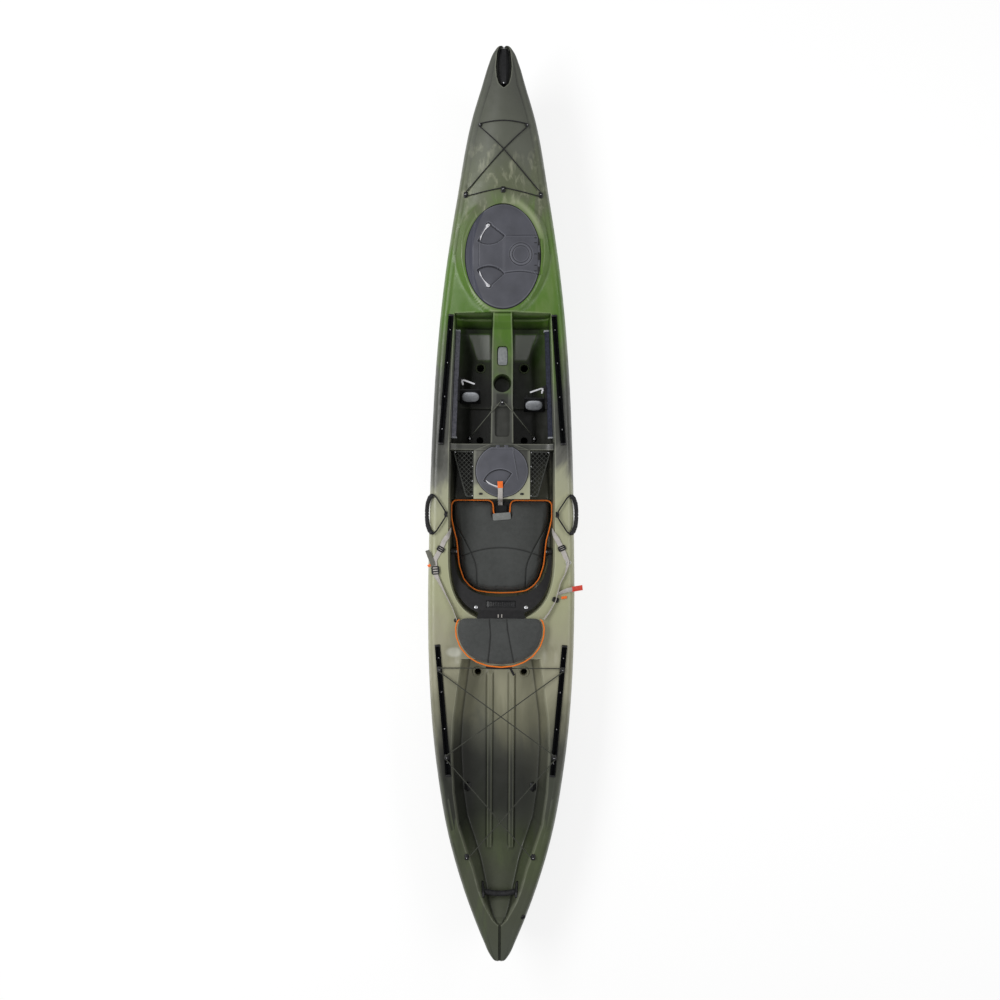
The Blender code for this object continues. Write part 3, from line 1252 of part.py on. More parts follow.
def cord_hook(name, base, lean):
    """Spool-shaped screw hook: a foot, a neck for the cord and a wider cap."""
    profile = (
        (0, 0.0128), (HOOK_CAP * 0.7, 0.0128), (HOOK_CAP, 0.0112), (HOOK_CAP, 0.0098), (HOOK_NECK, 0.0090),
        (HOOK_NECK, 0.0024), (0.0088, 0.0018), (0.0092, 0), (0, 0),
    )
    turn = Vector((0, 0, 1)).rotation_difference(lean).to_matrix().to_4x4()
    turned(name, profile, 8, BLACK_NYLON, Matrix.Translation(base) @ turn)
    return base, lean


def cord_route(hooks, sides, closed, clearance, lifts):
    """Cord round a run of hooks: a straight line touches each pair, and an arc lies round every neck.

    A side of 1 passes a hook on the left of the way the cord runs, and -1 on its right. With a clearance,
    each line is pulled taut over the deck below it. The lifts raise a line at a share of its length.
    """
    ring = HOOK_NECK + CORD_RADIUS + 0.0009
    level = 0.0057
    centres = [base + lean * level for base, lean in hooks]
    count = len(hooks)
    pairs = [(i, (i + 1) % count) for i in range(count if closed else count - 1)]
    lines = []
    for i, j in pairs:
        d = centres[j].xy - centres[i].xy
        bend = math.asin((sides[i] - sides[j]) * ring / d.length)
        d = Vector(
            (d.x * math.cos(bend) + d.y * math.sin(bend), d.y * math.cos(bend) - d.x * math.sin(bend))
        ).normalized()
        n = Vector((-d.y, d.x))
        lines.append(
            (math.atan2(n.y * sides[i], n.x * sides[i]), math.atan2(n.y * sides[j], n.x * sides[j]))
        )

    def on_hook(i, angle):
        base, lean = hooks[i]
        x, y = ring * math.cos(angle), ring * math.sin(angle)
        return centres[i] + Vector((x, y, -(lean.x * x + lean.y * y) / lean.z))

    path = []
    for k, (i, j) in enumerate(pairs):
        leave, arrive = lines[k]
        if closed or k:
            begin = lines[k - 1][1]
            sweep = ((leave - begin) * -sides[i]) % (2 * math.pi)
            steps = max(int(math.degrees(sweep) // 36), 1)
            path += [on_hook(i, begin - sides[i] * sweep * n / steps) for n in range(steps)]
        start, end = on_hook(i, leave), on_hook(j, arrive)
        crossing, lift = lifts.get(k, (0.5, 0))
        taut = [(0, start.z)]
        for share in sorted(
            {*np.linspace(0.02, 0.98, 97 if clearance else 0), *((crossing,) if lift else ())}
        ):
            at = start.lerp(end, share)
            under = deck_height(at.x, at.y) + CORD_RADIUS + clearance if clearance else at.z
            taut.append((share, under + (lift if share == crossing else 0)))
        taut.append((1, end.z))
        bent = []
        for point in taut:
            while len(bent) > 1 and (
                bent[-1][1] - bent[-2][1]
            ) * (point[0] - bent[-2][0]) <= (point[1] - bent[-2][1]) * (bent[-1][0] - bent[-2][0]):
                bent.pop()
            bent.append(point)
        for share, height in bent[: len(bent) if not closed and k == len(pairs) - 1 else -1]:
            at = start.lerp(end, share)
            path.append(Vector((at.x, at.y, height)))
    return path


def bungee(name, path, closed):
    """Round elastic cord; a closed one runs on into its own start."""
    made = tube(name, path, CORD_RADIUS, BUNGEE, smooth_sides=1)
    if closed:
        made.data.splines[0].use_cyclic_u = True
    return made


def pad_eye(name, base, lean):
    """Small eye screwed to a surface, with its hole along the boat; gives the hole's middle."""
    across = Vector((0, 1, 0)).cross(lean).normalized()
    frame = Matrix.Translation(base) @ Matrix((across, lean.cross(across), lean)).transposed().to_4x4()
    eye = box(
        name, (0.0150, 0.0260, 0.0028), frame @ Vector((0, 0, 0.0016)), BLACK_NYLON, frame.to_3x3().to_4x4(),
    )
    join(
        eye,
        box(
            name + "_arch", (0.0150, 0.0070, 0.0198), frame @ Vector((0, 0, 0.0105)),
            turn=frame.to_3x3().to_4x4(),
        ),
    )
    hole = frame @ Vector((0, 0, 0.0115))
    bore = cylinder(name + "_hole", 0.0040, 0.03, hole, axis="Y", sides=12)
    bore.matrix_world = Matrix.Translation(hole) @ frame.to_3x3().to_4x4() @ Matrix.Rotation(
        -math.pi / 2, 4, "X",
    )
    cut(eye, bore)
    return hole


def bow_rigging():
    spots = {
        "front_left": (-0.105, 1.772), "front_right": (0.105, 1.772), "rear_left": (-0.173, 1.455),
        "centre": (0, 1.468), "rear_right": (0.173, 1.455),
    }
    hooks = {key: cord_hook(f"bow_hook_{key}", *seat_on_deck(x, y, 0.0095)) for key, (x, y) in spots.items()}
    order = ("front_left", "front_right", "rear_left", "centre", "rear_right")
    path = cord_route([hooks[k] for k in order], (1, 1, -1, 1, -1), True, 0.0012, {4: (0.622, 0.0062)})
    bungee("bow_bungee", path, True)


def rail_seat(ends, side, y):
    """Place on top of a gear rail at a given Y, and the way the rail faces."""
    centre, turn, _ = gear_rail_frame(ends, side)
    up = (turn @ Vector((0, 0, 1))).normalized()
    way = (turn @ Vector((0, 1, 0))).normalized()
    at = centre + way * ((y - centre.y) / way.y)
    return at + up * (GEAR_RAIL_HEIGHT + GAP), up


def rear_rigging():
    hooks = {}
    for side_name, side in (("left", -1), ("right", 1)):
        hooks["stern_" + side_name] = cord_hook(
            f"rear_hook_stern_{side_name}", *seat_on_deck(side * (BEAM / 2 - 0.1955), -1.645, 0.0095)
        )
        hooks["aft_" + side_name] = cord_hook(
            f"rear_hook_aft_{side_name}", *rail_seat(GEAR_RAILS["rear"], side, -1.176)
        )
        hooks["forward_" + side_name] = cord_hook(
            f"rear_hook_forward_{side_name}", *rail_seat(GEAR_RAILS["rear"], side, -0.763)
        )
    order = ("stern_left", "aft_right", "forward_left", "forward_right", "aft_left", "stern_right")
    path = cord_route(
        [hooks[k] for k in order], (-1, -1, 1, 1, -1, -1), False, 0,
        {0: (0.381, 0.0068), 3: (0.534, 0.0068)},
    )
    bungee("rear_bungee", path, False)


def footwell_rigging():
    """Cord from a hook on the console down to an anchor in each footwell."""
    hook_y = FOOTWELL_STEP + 0.008
    top = console_top(hook_y)
    cord_hook("footwell_hook_console", Vector((0, hook_y, top + 0.0006)), Vector((0, 0, 1)))
    well = cockpit("cockpit_skin", 0.0)
    floor = BVHTree.FromPolygons(
        [v.co for v in well.data.vertices], [p.vertices for p in well.data.polygons],
    )
    bpy.data.objects.remove(well)
    ring = HOOK_NECK + CORD_RADIUS + 0.0009
    level = top + 0.0006 + 0.0057
    path = []
    for side_name, side in (("left", -1), ("right", 1)):
        hole = pad_eye(
            f"footwell_eye_{side_name}",
            *seat_on_deck(side * 0.1665, FOOTWELL_AFT + 0.034, 0.0150, floor, 0.3)
        )
        leg = [hole - Vector((0, 0.0130, 0)), hole - Vector((0, 0.0060, 0)), hole + Vector((0, 0.0070, 0))]
        leg += [
            Vector((side * 0.0655, hook_y - 0.0600, top - 0.0105)),
            Vector((side * 0.0560, hook_y - 0.0480, top + 0.0030)),
            Vector((side * 0.0440, hook_y - 0.0380, level - 0.0012)),
        ]
        if side < 0:
            path = leg + [
                Vector((ring * math.cos(a), hook_y + ring * math.sin(a), level))
                for a in np.radians((150, 110, 70, 30))
            ]
        else:
            path += leg[::-1]
    bungee("footwell_bungee", path, False)


bow_rigging()
rear_rigging()
footwell_rigging()


def side_handle(side_name, side):
    """Carry grip that hangs over the gunwale from a cord through a pad eye on the deck."""
    y, edge = -0.033, BEAM / 2
    hole = pad_eye(f"side_eye_{side_name}", *seat_on_deck(side * (edge - 0.0900), y, 0.0150))
    grip = [
        (-0.0265, 0.091, 0.3080), (-0.0135, 0.079, 0.3010), (-0.0015, 0.052, 0.2800),
        (0.0030, 0.020, 0.2640),
        (0.0030, -0.020, 0.2640), (-0.0015, -0.052, 0.2800), (-0.0135, -0.079, 0.3010),
        (-0.0265, -0.091, 0.3080),
    ]
    path = [Vector((side * (edge + x), y + v, z)) for x, v, z in grip]
    tube(f"side_grip_{side_name}", path, HANDLE_RADIUS, BLACK_NYLON)
    cord = []
    for end, sign in ((path[0], 1), (path[-1], -1)):
        way = (end - (path[1] if sign > 0 else path[-2])).normalized()
        leg = [
            end + way * GAP, end + way * 0.006, hole + Vector((side * 0.010, sign * 0.026, 0.0005)),
            hole + Vector((0, sign * 0.0095, 0)),
        ]
        cord = leg if sign > 0 else cord + leg[::-1]
    tube(f"side_cord_{side_name}", cord, 0.0035, BUNGEE)


for side_name, side in (("left", -1), ("right", 1)):
    side_handle(side_name, side)


def webbing(name, path, width):
    """Flat strap along points, each given with the way its face looks."""
    rings = []
    for i, (point, up) in enumerate(path):
        ahead = path[min(i + 1, len(path) - 1)][0] - path[max(i - 1, 0)][0]
        across = ahead.cross(up).normalized()
        face = across.cross(ahead).normalized()
        rings.append(
            [
                point + across * a * width / 2 + face * b * 0.001
                for a, b in ((-1, -1), (1, -1), (1, 1), (-1, 1))
            ]
        )
    return loft(name, rings, WEBBING)


def deck_path(points, lift=0.0019, step=0.022):
    """Points of a strap that lies on the deck, close enough together to follow its facets."""
    path = []
    for (x0, y0, up0), (x1, y1, up1) in zip(points, points[1:]):
        count = max(int(math.hypot(x1 - x0, y1 - y0) / step), 1)
        for n in range(count):
            t = n / count
            base, lean = seat_on_deck(x0 + (x1 - x0) * t, y0 + (y1 - y0) * t, 0.0115)
            path.append((base + lean * (lift + up0 + (up1 - up0) * t), lean))
    base, lean = seat_on_deck(points[-1][0], points[-1][1], 0.0115)
    path.append((base + lean * (lift + points[-1][2]), lean))
    return path


def seat_straps():
    """Two side straps from the cockpit's rim to the back pad, and the short strap of the cushion's front."""
    width, wall = 0.022, COCKPIT_HALF_SEAT
    for side_name, side, points in (
        (
            "left", -1,
            (
                (0.0815, -0.158, 0.0015), (0.0659, -0.197, 0), (0.0365, -0.250, 0), (0.0395, -0.276, 0.0045),
                (0.0430, -0.318, 0.0045), (0.0555, -0.345, 0), (0.1231, -0.476, 0), (0.1325, -0.505, 0.004),
            ),
        ),
        (
            "right", 1,
            (
                (0.0815, -0.165, 0.0015), (0.0675, -0.1905, 0), (0.0395, -0.257, 0), (0.0515, -0.310, 0),
                (0.0745, -0.354, 0), (0.0967, -0.4387, 0), (0.1255, -0.492, 0.004),
            ),
        ),
    ):
        path = deck_path([(side * (BEAM / 2 - inset), y, up) for inset, y, up in points])
        rim = path[0][0]
        up = Vector((-side * 0.75, 0, 0.66))
        start = [
            (Vector((side * (wall - 0.0070), -0.1050, 0.2660)), Vector((-side, 0, 0.15))),
            (Vector((side * (wall - 0.0045), -0.1180, 0.2930)), Vector((-side, 0, 0.30))),
            (Vector((side * (wall + 0.0020), -0.1330, rim.z + 0.0035)), up),
            (Vector((side * (wall + 0.0110), -0.1440, rim.z + 0.0045)), Vector((0, 0, 1))),
        ]
        webbing(f"seat_strap_{side_name}", start + path, width)
    base, lean = seat_on_deck(0.0413 - BEAM / 2, -0.297, 0.0115)
    centre = base + lean * (0.0019 + 0.0045)
    way = Vector((-0.0035, 0.042, 0)).normalized()
    across = way.cross(lean).normalized()
    turn = Matrix((across, way, across.cross(way))).transposed().to_4x4()
    buckle = box("strap_buckle_left", (0.034, 0.034, 0.0090), centre, BLACK_NYLON, turn)
    cut(buckle, box("strap_buckle_slot", (0.0240, 0.08, 0.0052), centre, turn=turn))
    x = -0.007
    profile = (
        (-0.034, 0.1228), (-0.010, 0.1228), (0.016, 0.1228), (0.026, 0.1290), (0.0318, 0.1500),
        (0.0365, 0.2250), (0.0385, 0.2430), (0.0430, 0.2490), (0.0560, 0.2540), (0.0800, 0.2588),
        (0.1220, 0.2600),
    )
    path = []
    for i, (y, z) in enumerate(profile):
        ahead = Vector(
            (
                0, profile[min(i + 1, 10)][0] - profile[max(i - 1, 0)][0],
                profile[min(i + 1, 10)][1] - profile[max(i - 1, 0)][1],
            )
        )
        path.append((Vector((x, y, z)), Vector((1, 0, 0)).cross(ahead)))
    webbing("front_strap", path, 0.024)
    front = box("front_buckle", (0.054, 0.040, 0.0090), (-0.003, -0.010, 0.1228), BLACK_NYLON)
    cut(front, box("front_buckle_slot", (0.0256, 0.08, 0.0034), (x, -0.010, 0.1228)))


seat_straps()

for made in kayak.objects:
    if made.type == "MESH":
        for face in made.data.polygons:
            face.use_smooth = True
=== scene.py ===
import math

import bmesh
import bpy
import numpy as np
from mathutils import Matrix, Vector
from mathutils.bvhtree import BVHTree


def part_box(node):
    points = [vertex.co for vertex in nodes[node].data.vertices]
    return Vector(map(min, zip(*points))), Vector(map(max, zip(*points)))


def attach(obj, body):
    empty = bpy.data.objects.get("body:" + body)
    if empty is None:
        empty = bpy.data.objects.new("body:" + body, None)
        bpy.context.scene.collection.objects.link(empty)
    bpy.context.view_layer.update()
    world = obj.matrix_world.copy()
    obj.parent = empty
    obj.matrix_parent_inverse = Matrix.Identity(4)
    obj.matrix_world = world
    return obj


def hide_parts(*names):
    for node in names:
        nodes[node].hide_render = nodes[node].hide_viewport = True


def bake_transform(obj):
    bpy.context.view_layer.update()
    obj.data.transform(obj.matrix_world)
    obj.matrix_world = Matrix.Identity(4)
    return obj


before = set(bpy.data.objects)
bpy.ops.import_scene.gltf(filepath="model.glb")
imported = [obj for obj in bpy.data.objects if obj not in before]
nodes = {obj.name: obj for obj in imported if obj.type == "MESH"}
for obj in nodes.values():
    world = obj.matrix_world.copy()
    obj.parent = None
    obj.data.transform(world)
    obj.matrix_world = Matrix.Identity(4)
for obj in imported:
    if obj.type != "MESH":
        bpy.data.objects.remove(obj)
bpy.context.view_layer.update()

# Studio: the photograph looks straight down on the boat from just over four metres, with the bow up.
# A plain white floor, a broad lamp along each side and a pale sky light it softly; the left lamp is the key.
EYE_HEIGHT = 4.2
EYE_Y = 0.0235
FOCAL_LENGTH = 29.84

camera_data = bpy.data.cameras.new("camera")
camera_data.lens = FOCAL_LENGTH
camera_data.sensor_width = 36
camera_data.shift_x = -0.0017
camera_data.shift_y = 0.0025
camera = bpy.data.objects.new("camera", camera_data)
camera.location = (0, EYE_Y, EYE_HEIGHT)
camera.rotation_euler = (0, 0, 0.0050)
bpy.context.scene.collection.objects.link(camera)
bpy.context.scene.camera = camera
bpy.context.scene.view_settings.view_transform = "Standard"


def linear(colour):
    """Linear RGBA of an sRGB hex colour."""
    channels = [int(colour[i : i + 2], 16) / 255 for i in (1, 3, 5)]
    return (*[c / 12.92 if c <= 0.04045 else ((c + 0.055) / 1.055) ** 2.4 for c in channels], 1)


def add(tree, kind, inputs=None, **settings):
    """Adds a node, sets its properties, and fills each named or numbered input with a value or a link."""
    made = tree.nodes.new("ShaderNode" + kind)
    for key, value in settings.items():
        setattr(made, key, value)
    for key, value in (inputs or {}).items():
        if isinstance(value, bpy.types.NodeSocket):
            tree.links.new(value, made.inputs[key])
        else:
            made.inputs[key].default_value = value
    return made


def worked(tree, operation, *values):
    """Result of a sum on numbers or links."""
    return add(tree, "Math", dict(enumerate(values)), operation=operation).outputs[0]


def spread(tree, value, start, end, low=0.0, high=1.0, **settings):
    """A value carried over from one range to another, and held at its ends."""
    limits = {"Value": value, "From Min": start, "From Max": end, "To Min": low, "To Max": high}
    return add(tree, "MapRange", limits, **settings).outputs["Result"]


def linked(made):
    """Puts an object in the scene."""
    bpy.context.scene.collection.objects.link(made)
    return made


def lamp(name, location, aim, size, power):
    """Rectangular softbox that faces a point, with its long side along the boat."""
    data = bpy.data.lights.new(name, "AREA")
    data.shape = "RECTANGLE"
    data.size, data.size_y = size
    data.energy = power
    made = bpy.data.objects.new(name, data)
    facing = (Vector(location) - Vector(aim)).normalized()
    along_boat = Vector((0, 1, 0))
    across = along_boat.cross(facing).normalized()
    made.matrix_world = Matrix.Translation(location) @ Matrix(
        (across, facing.cross(across), facing)
    ).transposed().to_4x4()
    linked(made)


lamp("key_lamp", (-3.3, 0.8, 4.1), (0, 0, 0.2), (1.6, 5.0), 165)
lamp("fill_lamp", (3.6, 0.2, 3.8), (0, 0, 0.2), (1.6, 5.0), 66)

world = bpy.data.worlds.new("studio")
world.use_nodes = True
bpy.context.scene.world = world
sky = world.node_tree
sky.nodes.clear()
seen = add(sky, "LightPath").outputs
white = add(sky, "Background", {"Color": (1, 1, 1, 1), "Strength": 1.0})
sky_light = add(sky, "Background", {"Color": (1, 1, 1, 1), "Strength": 0.33})
straight = worked(sky, "MAXIMUM", seen["Is Camera Ray"], seen["Is Transmission Ray"])
both = add(sky, "MixShader", {0: straight, 1: sky_light.outputs[0], 2: white.outputs[0]})
add(sky, "OutputWorld", {"Surface": both.outputs[0]})

FLOOR_HALF, FLOOR_LEVEL = 25, -0.001
floor_data = bpy.data.meshes.new("floor")
floor_corners = [(FLOOR_HALF * x, FLOOR_HALF * y, FLOOR_LEVEL) for x, y in ((-1, -1), (1, -1), (1, 1), (-1, 1))]
floor_data.from_pydata(floor_corners, [], [(0, 1, 2, 3)])
floor = linked(bpy.data.objects.new("floor", floor_data))
floor_finish = bpy.data.materials.new("white_floor")
floor_finish.use_nodes = True
tree = floor_finish.node_tree
tree.nodes.clear()
paint, pale, shaded = (
    add(tree, "BsdfDiffuse", {"Color": tone}).outputs[0]
    for tone in (linear("#ececea"), (0.30, 0.30, 0.30, 1), (0.004, 0.004, 0.004, 1))
)
glow = add(tree, "Emission", {"Color": (1, 1, 1, 1), "Strength": 0.78}).outputs[0]
shown = add(tree, "AddShader", {0: pale, 1: glow}).outputs[0]
# under the hull no light falls, so the floor seen through the scuppers is black
place = add(tree, "SeparateXYZ", {0: add(tree, "TexCoord").outputs["Object"]}).outputs
across = worked(tree, "MULTIPLY", worked(tree, "ABSOLUTE", place["X"]), 8.0)
along = worked(tree, "ABSOLUTE", worked(tree, "MULTIPLY_ADD", place["Y"], 1.37, 0.096))
open_floor = spread(tree, worked(tree, "MAXIMUM", across, along), 1.2, 1.4)
shown = add(tree, "MixShader", {0: open_floor, 1: shaded, 2: shown}).outputs[0]
seen = add(tree, "LightPath").outputs
direct = worked(tree, "MAXIMUM", seen["Is Camera Ray"], seen["Is Glossy Ray"])
direct = worked(tree, "MAXIMUM", direct, seen["Is Transmission Ray"])
both = add(tree, "MixShader", {0: direct, 1: paint, 2: shown})
add(tree, "OutputMaterial", {"Surface": both.outputs[0]})
floor_data.materials.append(floor_finish)

# Hull: one rotomoulded polyethylene shell, 4.27 m long, with the footwells, the console, the seat well and the
# tank well moulded into its deck. Coloured powders melt together in the mould, so the camouflage runs right through.
LENGTH, BEAM = 4.27, 0.703
SIDES = (("left", -1), ("right", 1))
SHOULDER, SHOULDER_POWER, BILGE_POWER = 0.042, 2.6, 2.3
TRACK_DEPTH = 0.010
# Each pair is a share of the length behind the bow, and a value there
HALF_BREADTH = (
    (0, 0.080), (0.007, 0.145), (0.018, 0.203), (0.04, 0.290), (0.071, 0.410), (0.157, 0.617), (0.245, 0.784),
    (0.334, 0.893), (0.424, 0.954), (0.537, 0.990), (0.6, 0.9995), (0.63, 0.997), (0.695, 0.973), (0.785, 0.876),
    (0.873, 0.682), (0.939, 0.428), (0.981, 0.216), (0.993, 0.145), (1, 0.078),
)
WIDEST_HEIGHT = (
    (0, 0.350), (0.04, 0.325), (0.157, 0.262), (0.334, 0.222), (0.5, 0.205), (0.7, 0.205), (0.873, 0.222), (1, 0.262),
)
KEEL_HEIGHT = (
    (0, 0.300), (0.007, 0.255), (0.018, 0.195), (0.04, 0.120), (0.071, 0.055), (0.11, 0.018), (0.16, 0.003), (0.2, 0),
    (0.5, 0), (0.82, 0), (0.88, 0.006), (0.93, 0.030), (0.962, 0.075), (0.981, 0.125), (0.993, 0.180), (1, 0.225),
)
EDGE_HEIGHT = (
    (0, 0.376), (0.04, 0.360), (0.11, 0.345), (0.2, 0.331), (0.3, 0.317), (0.42, 0.305), (0.55, 0.298), (0.85, 0.296),
    (1, 0.306),
)
CROWN = (
    (0, 0.015), (0.03, 0.026), (0.07, 0.038), (0.12, 0.040), (0.17, 0.036), (0.23, 0.032), (0.29, 0.024), (0.36, 0.010),
    (0.5, 0.006), (0.8, 0.006), (0.92, 0.010), (1, 0.006),
)
FLAT_HALF = (
    (0, 0.004), (0.1, 0.010), (0.2, 0.060), (0.35, 0.135), (0.5, 0.165), (0.7, 0.158), (0.85, 0.080), (0.93, 0.018),
    (1, 0.004),
)
NOSE_ROUND = 0.012

KNEE_HEIGHT, TANK_FLOOR = 0.17, 0.165
WALL_STEEPNESS = 32.5
# Place along the boat, floor, half width of the middle ridge, its top, outer edge of the floor, height of the knee
COCKPIT_ROWS = np.array((
    (-0.530, 0.212, 0.010, 0.212, 0.010, 0.242), (-0.520, 0.172, 0.030, 0.172, 0.060, 0.202),
    (-0.506, 0.118, 0.060, 0.118, 0.110, 0.172),
    (-0.495, 0.112, 0.070, 0.112, 0.140, 0.170), (-0.220, 0.112, 0.095, 0.112, 0.236, 0.170),
    (0.036, 0.112, 0.135, 0.112, 0.236, 0.170),
    (0.041, 0.112, 0.135, 0.245, 0.232, 0.170), (0.268, 0.112, 0.135, 0.245, 0.222, 0.170),
    (0.273, 0.245, 0.135, 0.245, 0.215, 0.265),
    (0.304, 0.245, 0.054, 0.245, 0.215, 0.265), (0.309, 0.081, 0.054, 0.245, 0.155, 0.170),
    (0.480, 0.081, 0.052, 0.250, 0.155, 0.170),
    (0.490, 0.088, 0.050, 0.250, 0.155, 0.170), (0.591, 0.088, 0.050, 0.256, 0.155, 0.170),
    (0.730, 0.088, 0.050, 0.272, 0.140, 0.170),
    (0.843, 0.130, 0.046, 0.300, 0.172, 0.170), (0.869, 0.150, 0.044, 0.324, 0.180, 0.195),
    (0.897, 0.225, 0.044, 0.342, 0.196, 0.262),
))
COCKPIT_FRONT, COCKPIT_AFT, SEAT_STRAIGHT, COCKPIT_HALF = 0.903, -0.530, -0.22, 0.247
# Place along the boat, half width at the rim, floor
TANK_ROWS = np.array((
    (-1.956, 0.012, 0.300), (-1.940, 0.030, 0.280), (-1.860, 0.076, 0.217), (-1.800, 0.100, 0.200),
    (-1.700, 0.128, 0.183),
    (-1.620, 0.160, 0.165), (-1.500, 0.200, 0.165), (-1.350, 0.222, 0.165), (-1.140, 0.2325, 0.165),
    (-1.000, 0.226, 0.165),
    (-0.739, 0.191, 0.165), (-0.720, 0.187, 0.200),
))
TANK_FRONT, TANK_AFT, TANK_SPREAD, TANK_RIM = -0.719, -1.956, 0.040, 0.302
BOW_HATCH, BOW_LID_HALF_WIDTH, BOW_LID_HALF_LENGTH, BOW_PLANE, BOW_REBATE = (0.0, 1.164), 0.174, 0.242, 0.358, 0.349
MID_HATCH, MID_LID_RADIUS, MID_REBATE = (0.0, 0.174), 0.1255, 0.236
LID_CLEARANCE = 0.0015
RIM_ROUND = 0.007
# Place behind the tip of the bow, and half width there, of the hollow round the bow handle
HANDLE_RECESS = (
    (-0.200, 0.001), (-0.190, 0.013), (-0.18, 0.021), (-0.14, 0.032), (-0.09, 0.036), (-0.03, 0.030), (0.006, 0.020),
)
RECESS_FLOOR = 0.3525
# Rows of the hull's grid crowd together at the end walls of the wells
END_WALLS = (0.900, 0.860, 0.485, 0.306, 0.270, 0.038, -0.512, -0.729, -1.948, 1.945, 2.125, -2.125)
HULL_ROWS, DECK_COLUMNS = 560, 58


def fair(table, share):
    """Cubic curve through a table of pairs: at each pair its slope is that of the pairs beside it."""
    xs, ys = np.array(table, dtype=float).T
    slopes = np.gradient(ys, xs)
    share = np.clip(share, xs[0], xs[-1])
    i = np.clip(np.searchsorted(xs, share, side="right") - 1, 0, len(xs) - 2)
    width = xs[i + 1] - xs[i]
    t = (share - xs[i]) / width
    start = (1 + 2 * t) * (1 - t) ** 2 * ys[i] + t * (1 - t) ** 2 * width * slopes[i]
    end = t * t * (3 - 2 * t) * ys[i + 1] + t * t * (t - 1) * width * slopes[i + 1]
    return start + end


def rise(value, width=1):
    """Goes straight from 0 to 1 as a value goes from nothing to a width."""
    return np.clip(value / width, 0, 1)


def bell(value, width, power=2):
    """1 where a value is nothing, falling off on both sides over a width."""
    return np.exp(-((value / width) ** power))


def higher(a, b, round_over):
    """The larger of two heights, rounded where they meet: half of the sum plus a root of their difference squared."""
    return (a + b + np.sqrt((a - b) ** 2 + round_over**2)) / 2


def lower(a, b, round_over=RIM_ROUND):
    """The smaller of two heights, rounded in the same way."""
    return -higher(-a, -b, round_over)


def deck_height(x, y):
    """Deck before its wells: the edge height plus a crown that falls off with the distance from the middle."""
    share = 0.5 - y / LENGTH
    half = fair(HALF_BREADTH, share) * BEAM / 2
    inner = half - np.minimum(SHOULDER, half * 0.4)
    return fair(EDGE_HEIGHT, share) + fair(CROWN, share) * (1 - rise(np.abs(x), inner) ** 1.8)


def cockpit_wall(y):
    """Half width of the cockpit: straight beside the seat, and a superellipse round its aft end."""
    straight = np.interp(y, (SEAT_STRAIGHT, 0.038, 0.303, 0.905), (COCKPIT_HALF, COCKPIT_HALF, 0.2435, 0.2205))
    reach = rise(SEAT_STRAIGHT - y, SEAT_STRAIGHT - COCKPIT_AFT + 0.005)
    return np.where(y >= SEAT_STRAIGHT, straight, COCKPIT_HALF * (1 - reach**2.6) ** (1 / 2.6))


def cockpit_height(x, y):
    """Cockpit: the highest of its floor, its sloping outer floor, its steep side, its ridge and its end walls."""
    rows = (np.interp(y, COCKPIT_ROWS[:, 0], column) for column in COCKPIT_ROWS[:, 1:].T)
    floor, ridge_half, ridge_top, outer, knee = rows
    wall = cockpit_wall(y)
    x = np.abs(x)
    outer = np.minimum(outer, wall - 0.006)
    slope = floor + (x - outer) * (knee - floor) / np.maximum(wall - outer, 0.006)
    side = KNEE_HEIGHT + (x - wall) * WALL_STEEPNESS
    ridge = np.minimum(ridge_top, ridge_top - (x - ridge_half) * WALL_STEEPNESS)
    ends = 0.2 + np.maximum(y - COCKPIT_FRONT, COCKPIT_AFT - y) * 25
    height = higher(higher(floor, slope, 0.012), ridge, 0.006)
    return higher(higher(height, side, 0.012), ends, 0.006)


def tank_height(x, y):
    """Tank well: its floor with two ribs, sides that spread as they rise, and its end walls."""
    half, floor = (np.interp(y, TANK_ROWS[:, 0], column) for column in TANK_ROWS[:, 1:].T)
    x = np.abs(x)
    depth = np.maximum(TANK_RIM - floor, 0.002)
    sides = np.minimum(TANK_SPREAD, half * 0.42) * depth / (TANK_RIM - TANK_FLOOR)
    side = floor + (x - half + sides) * depth / sides
    rib_end = rise(np.minimum(-0.790 - y, y + 1.668), 0.02)
    rib = TANK_FLOOR - 0.004 + 0.017 * rib_end * rise(0.0175 - np.abs(x - 0.053), 0.0065)
    ends = 0.25 + np.maximum(y - TANK_FRONT, TANK_AFT - y) * 14
    return higher(higher(higher(floor, rib, 0.003), side, 0.010), ends, 0.006)


def recess_height(x, y):
    """Leaf-shaped hollow round the bow handle."""
    offset = y - LENGTH / 2
    half = np.interp(offset, *np.array(HANDLE_RECESS).T)
    floor = RECESS_FLOOR + offset * 0.02
    ends = 0.36 + (-0.198 - offset) * 12
    return higher(higher(floor, 0.365 + (np.abs(x) - half) * 9, 0.005), ends, 0.006)


def collar_height(x, y):
    """Raised seat of the bow hatch: flat on top, with a chamfered edge that leans a few degrees off the lid's oval."""
    lean = math.radians(-9)
    dx, dy = x - BOW_HATCH[0], y - BOW_HATCH[1]
    u, v = dx * math.cos(lean) + dy * math.sin(lean), dy * math.cos(lean) - dx * math.sin(lean)
    beyond = (np.sqrt((u / 0.192) ** 2 + (v / 0.272) ** 2) - 1) * 0.192
    return BOW_PLANE - np.maximum(beyond, 0) * 1.1


def scoop_depth(x, y):
    """Two shallow finger scoops in the deck at the forward corners of the tank well."""
    return 0.010 * np.exp(-(((np.abs(x) - 0.232) / 0.030) ** 4 + ((y + 0.700) / 0.042) ** 4))


def hull_top(x, y):
    """Height of the finished deck and its wells over any point inside the shoulder."""
    deck = higher(deck_height(x, y), collar_height(x, y), 0.004) - 0.0012 - scoop_depth(x, y)
    deck = np.where(y > 1.5, deck_height(x, y), deck)
    return lower(lower(lower(deck, cockpit_height(x, y)), tank_height(x, y)), recess_height(x, y), 0.003)


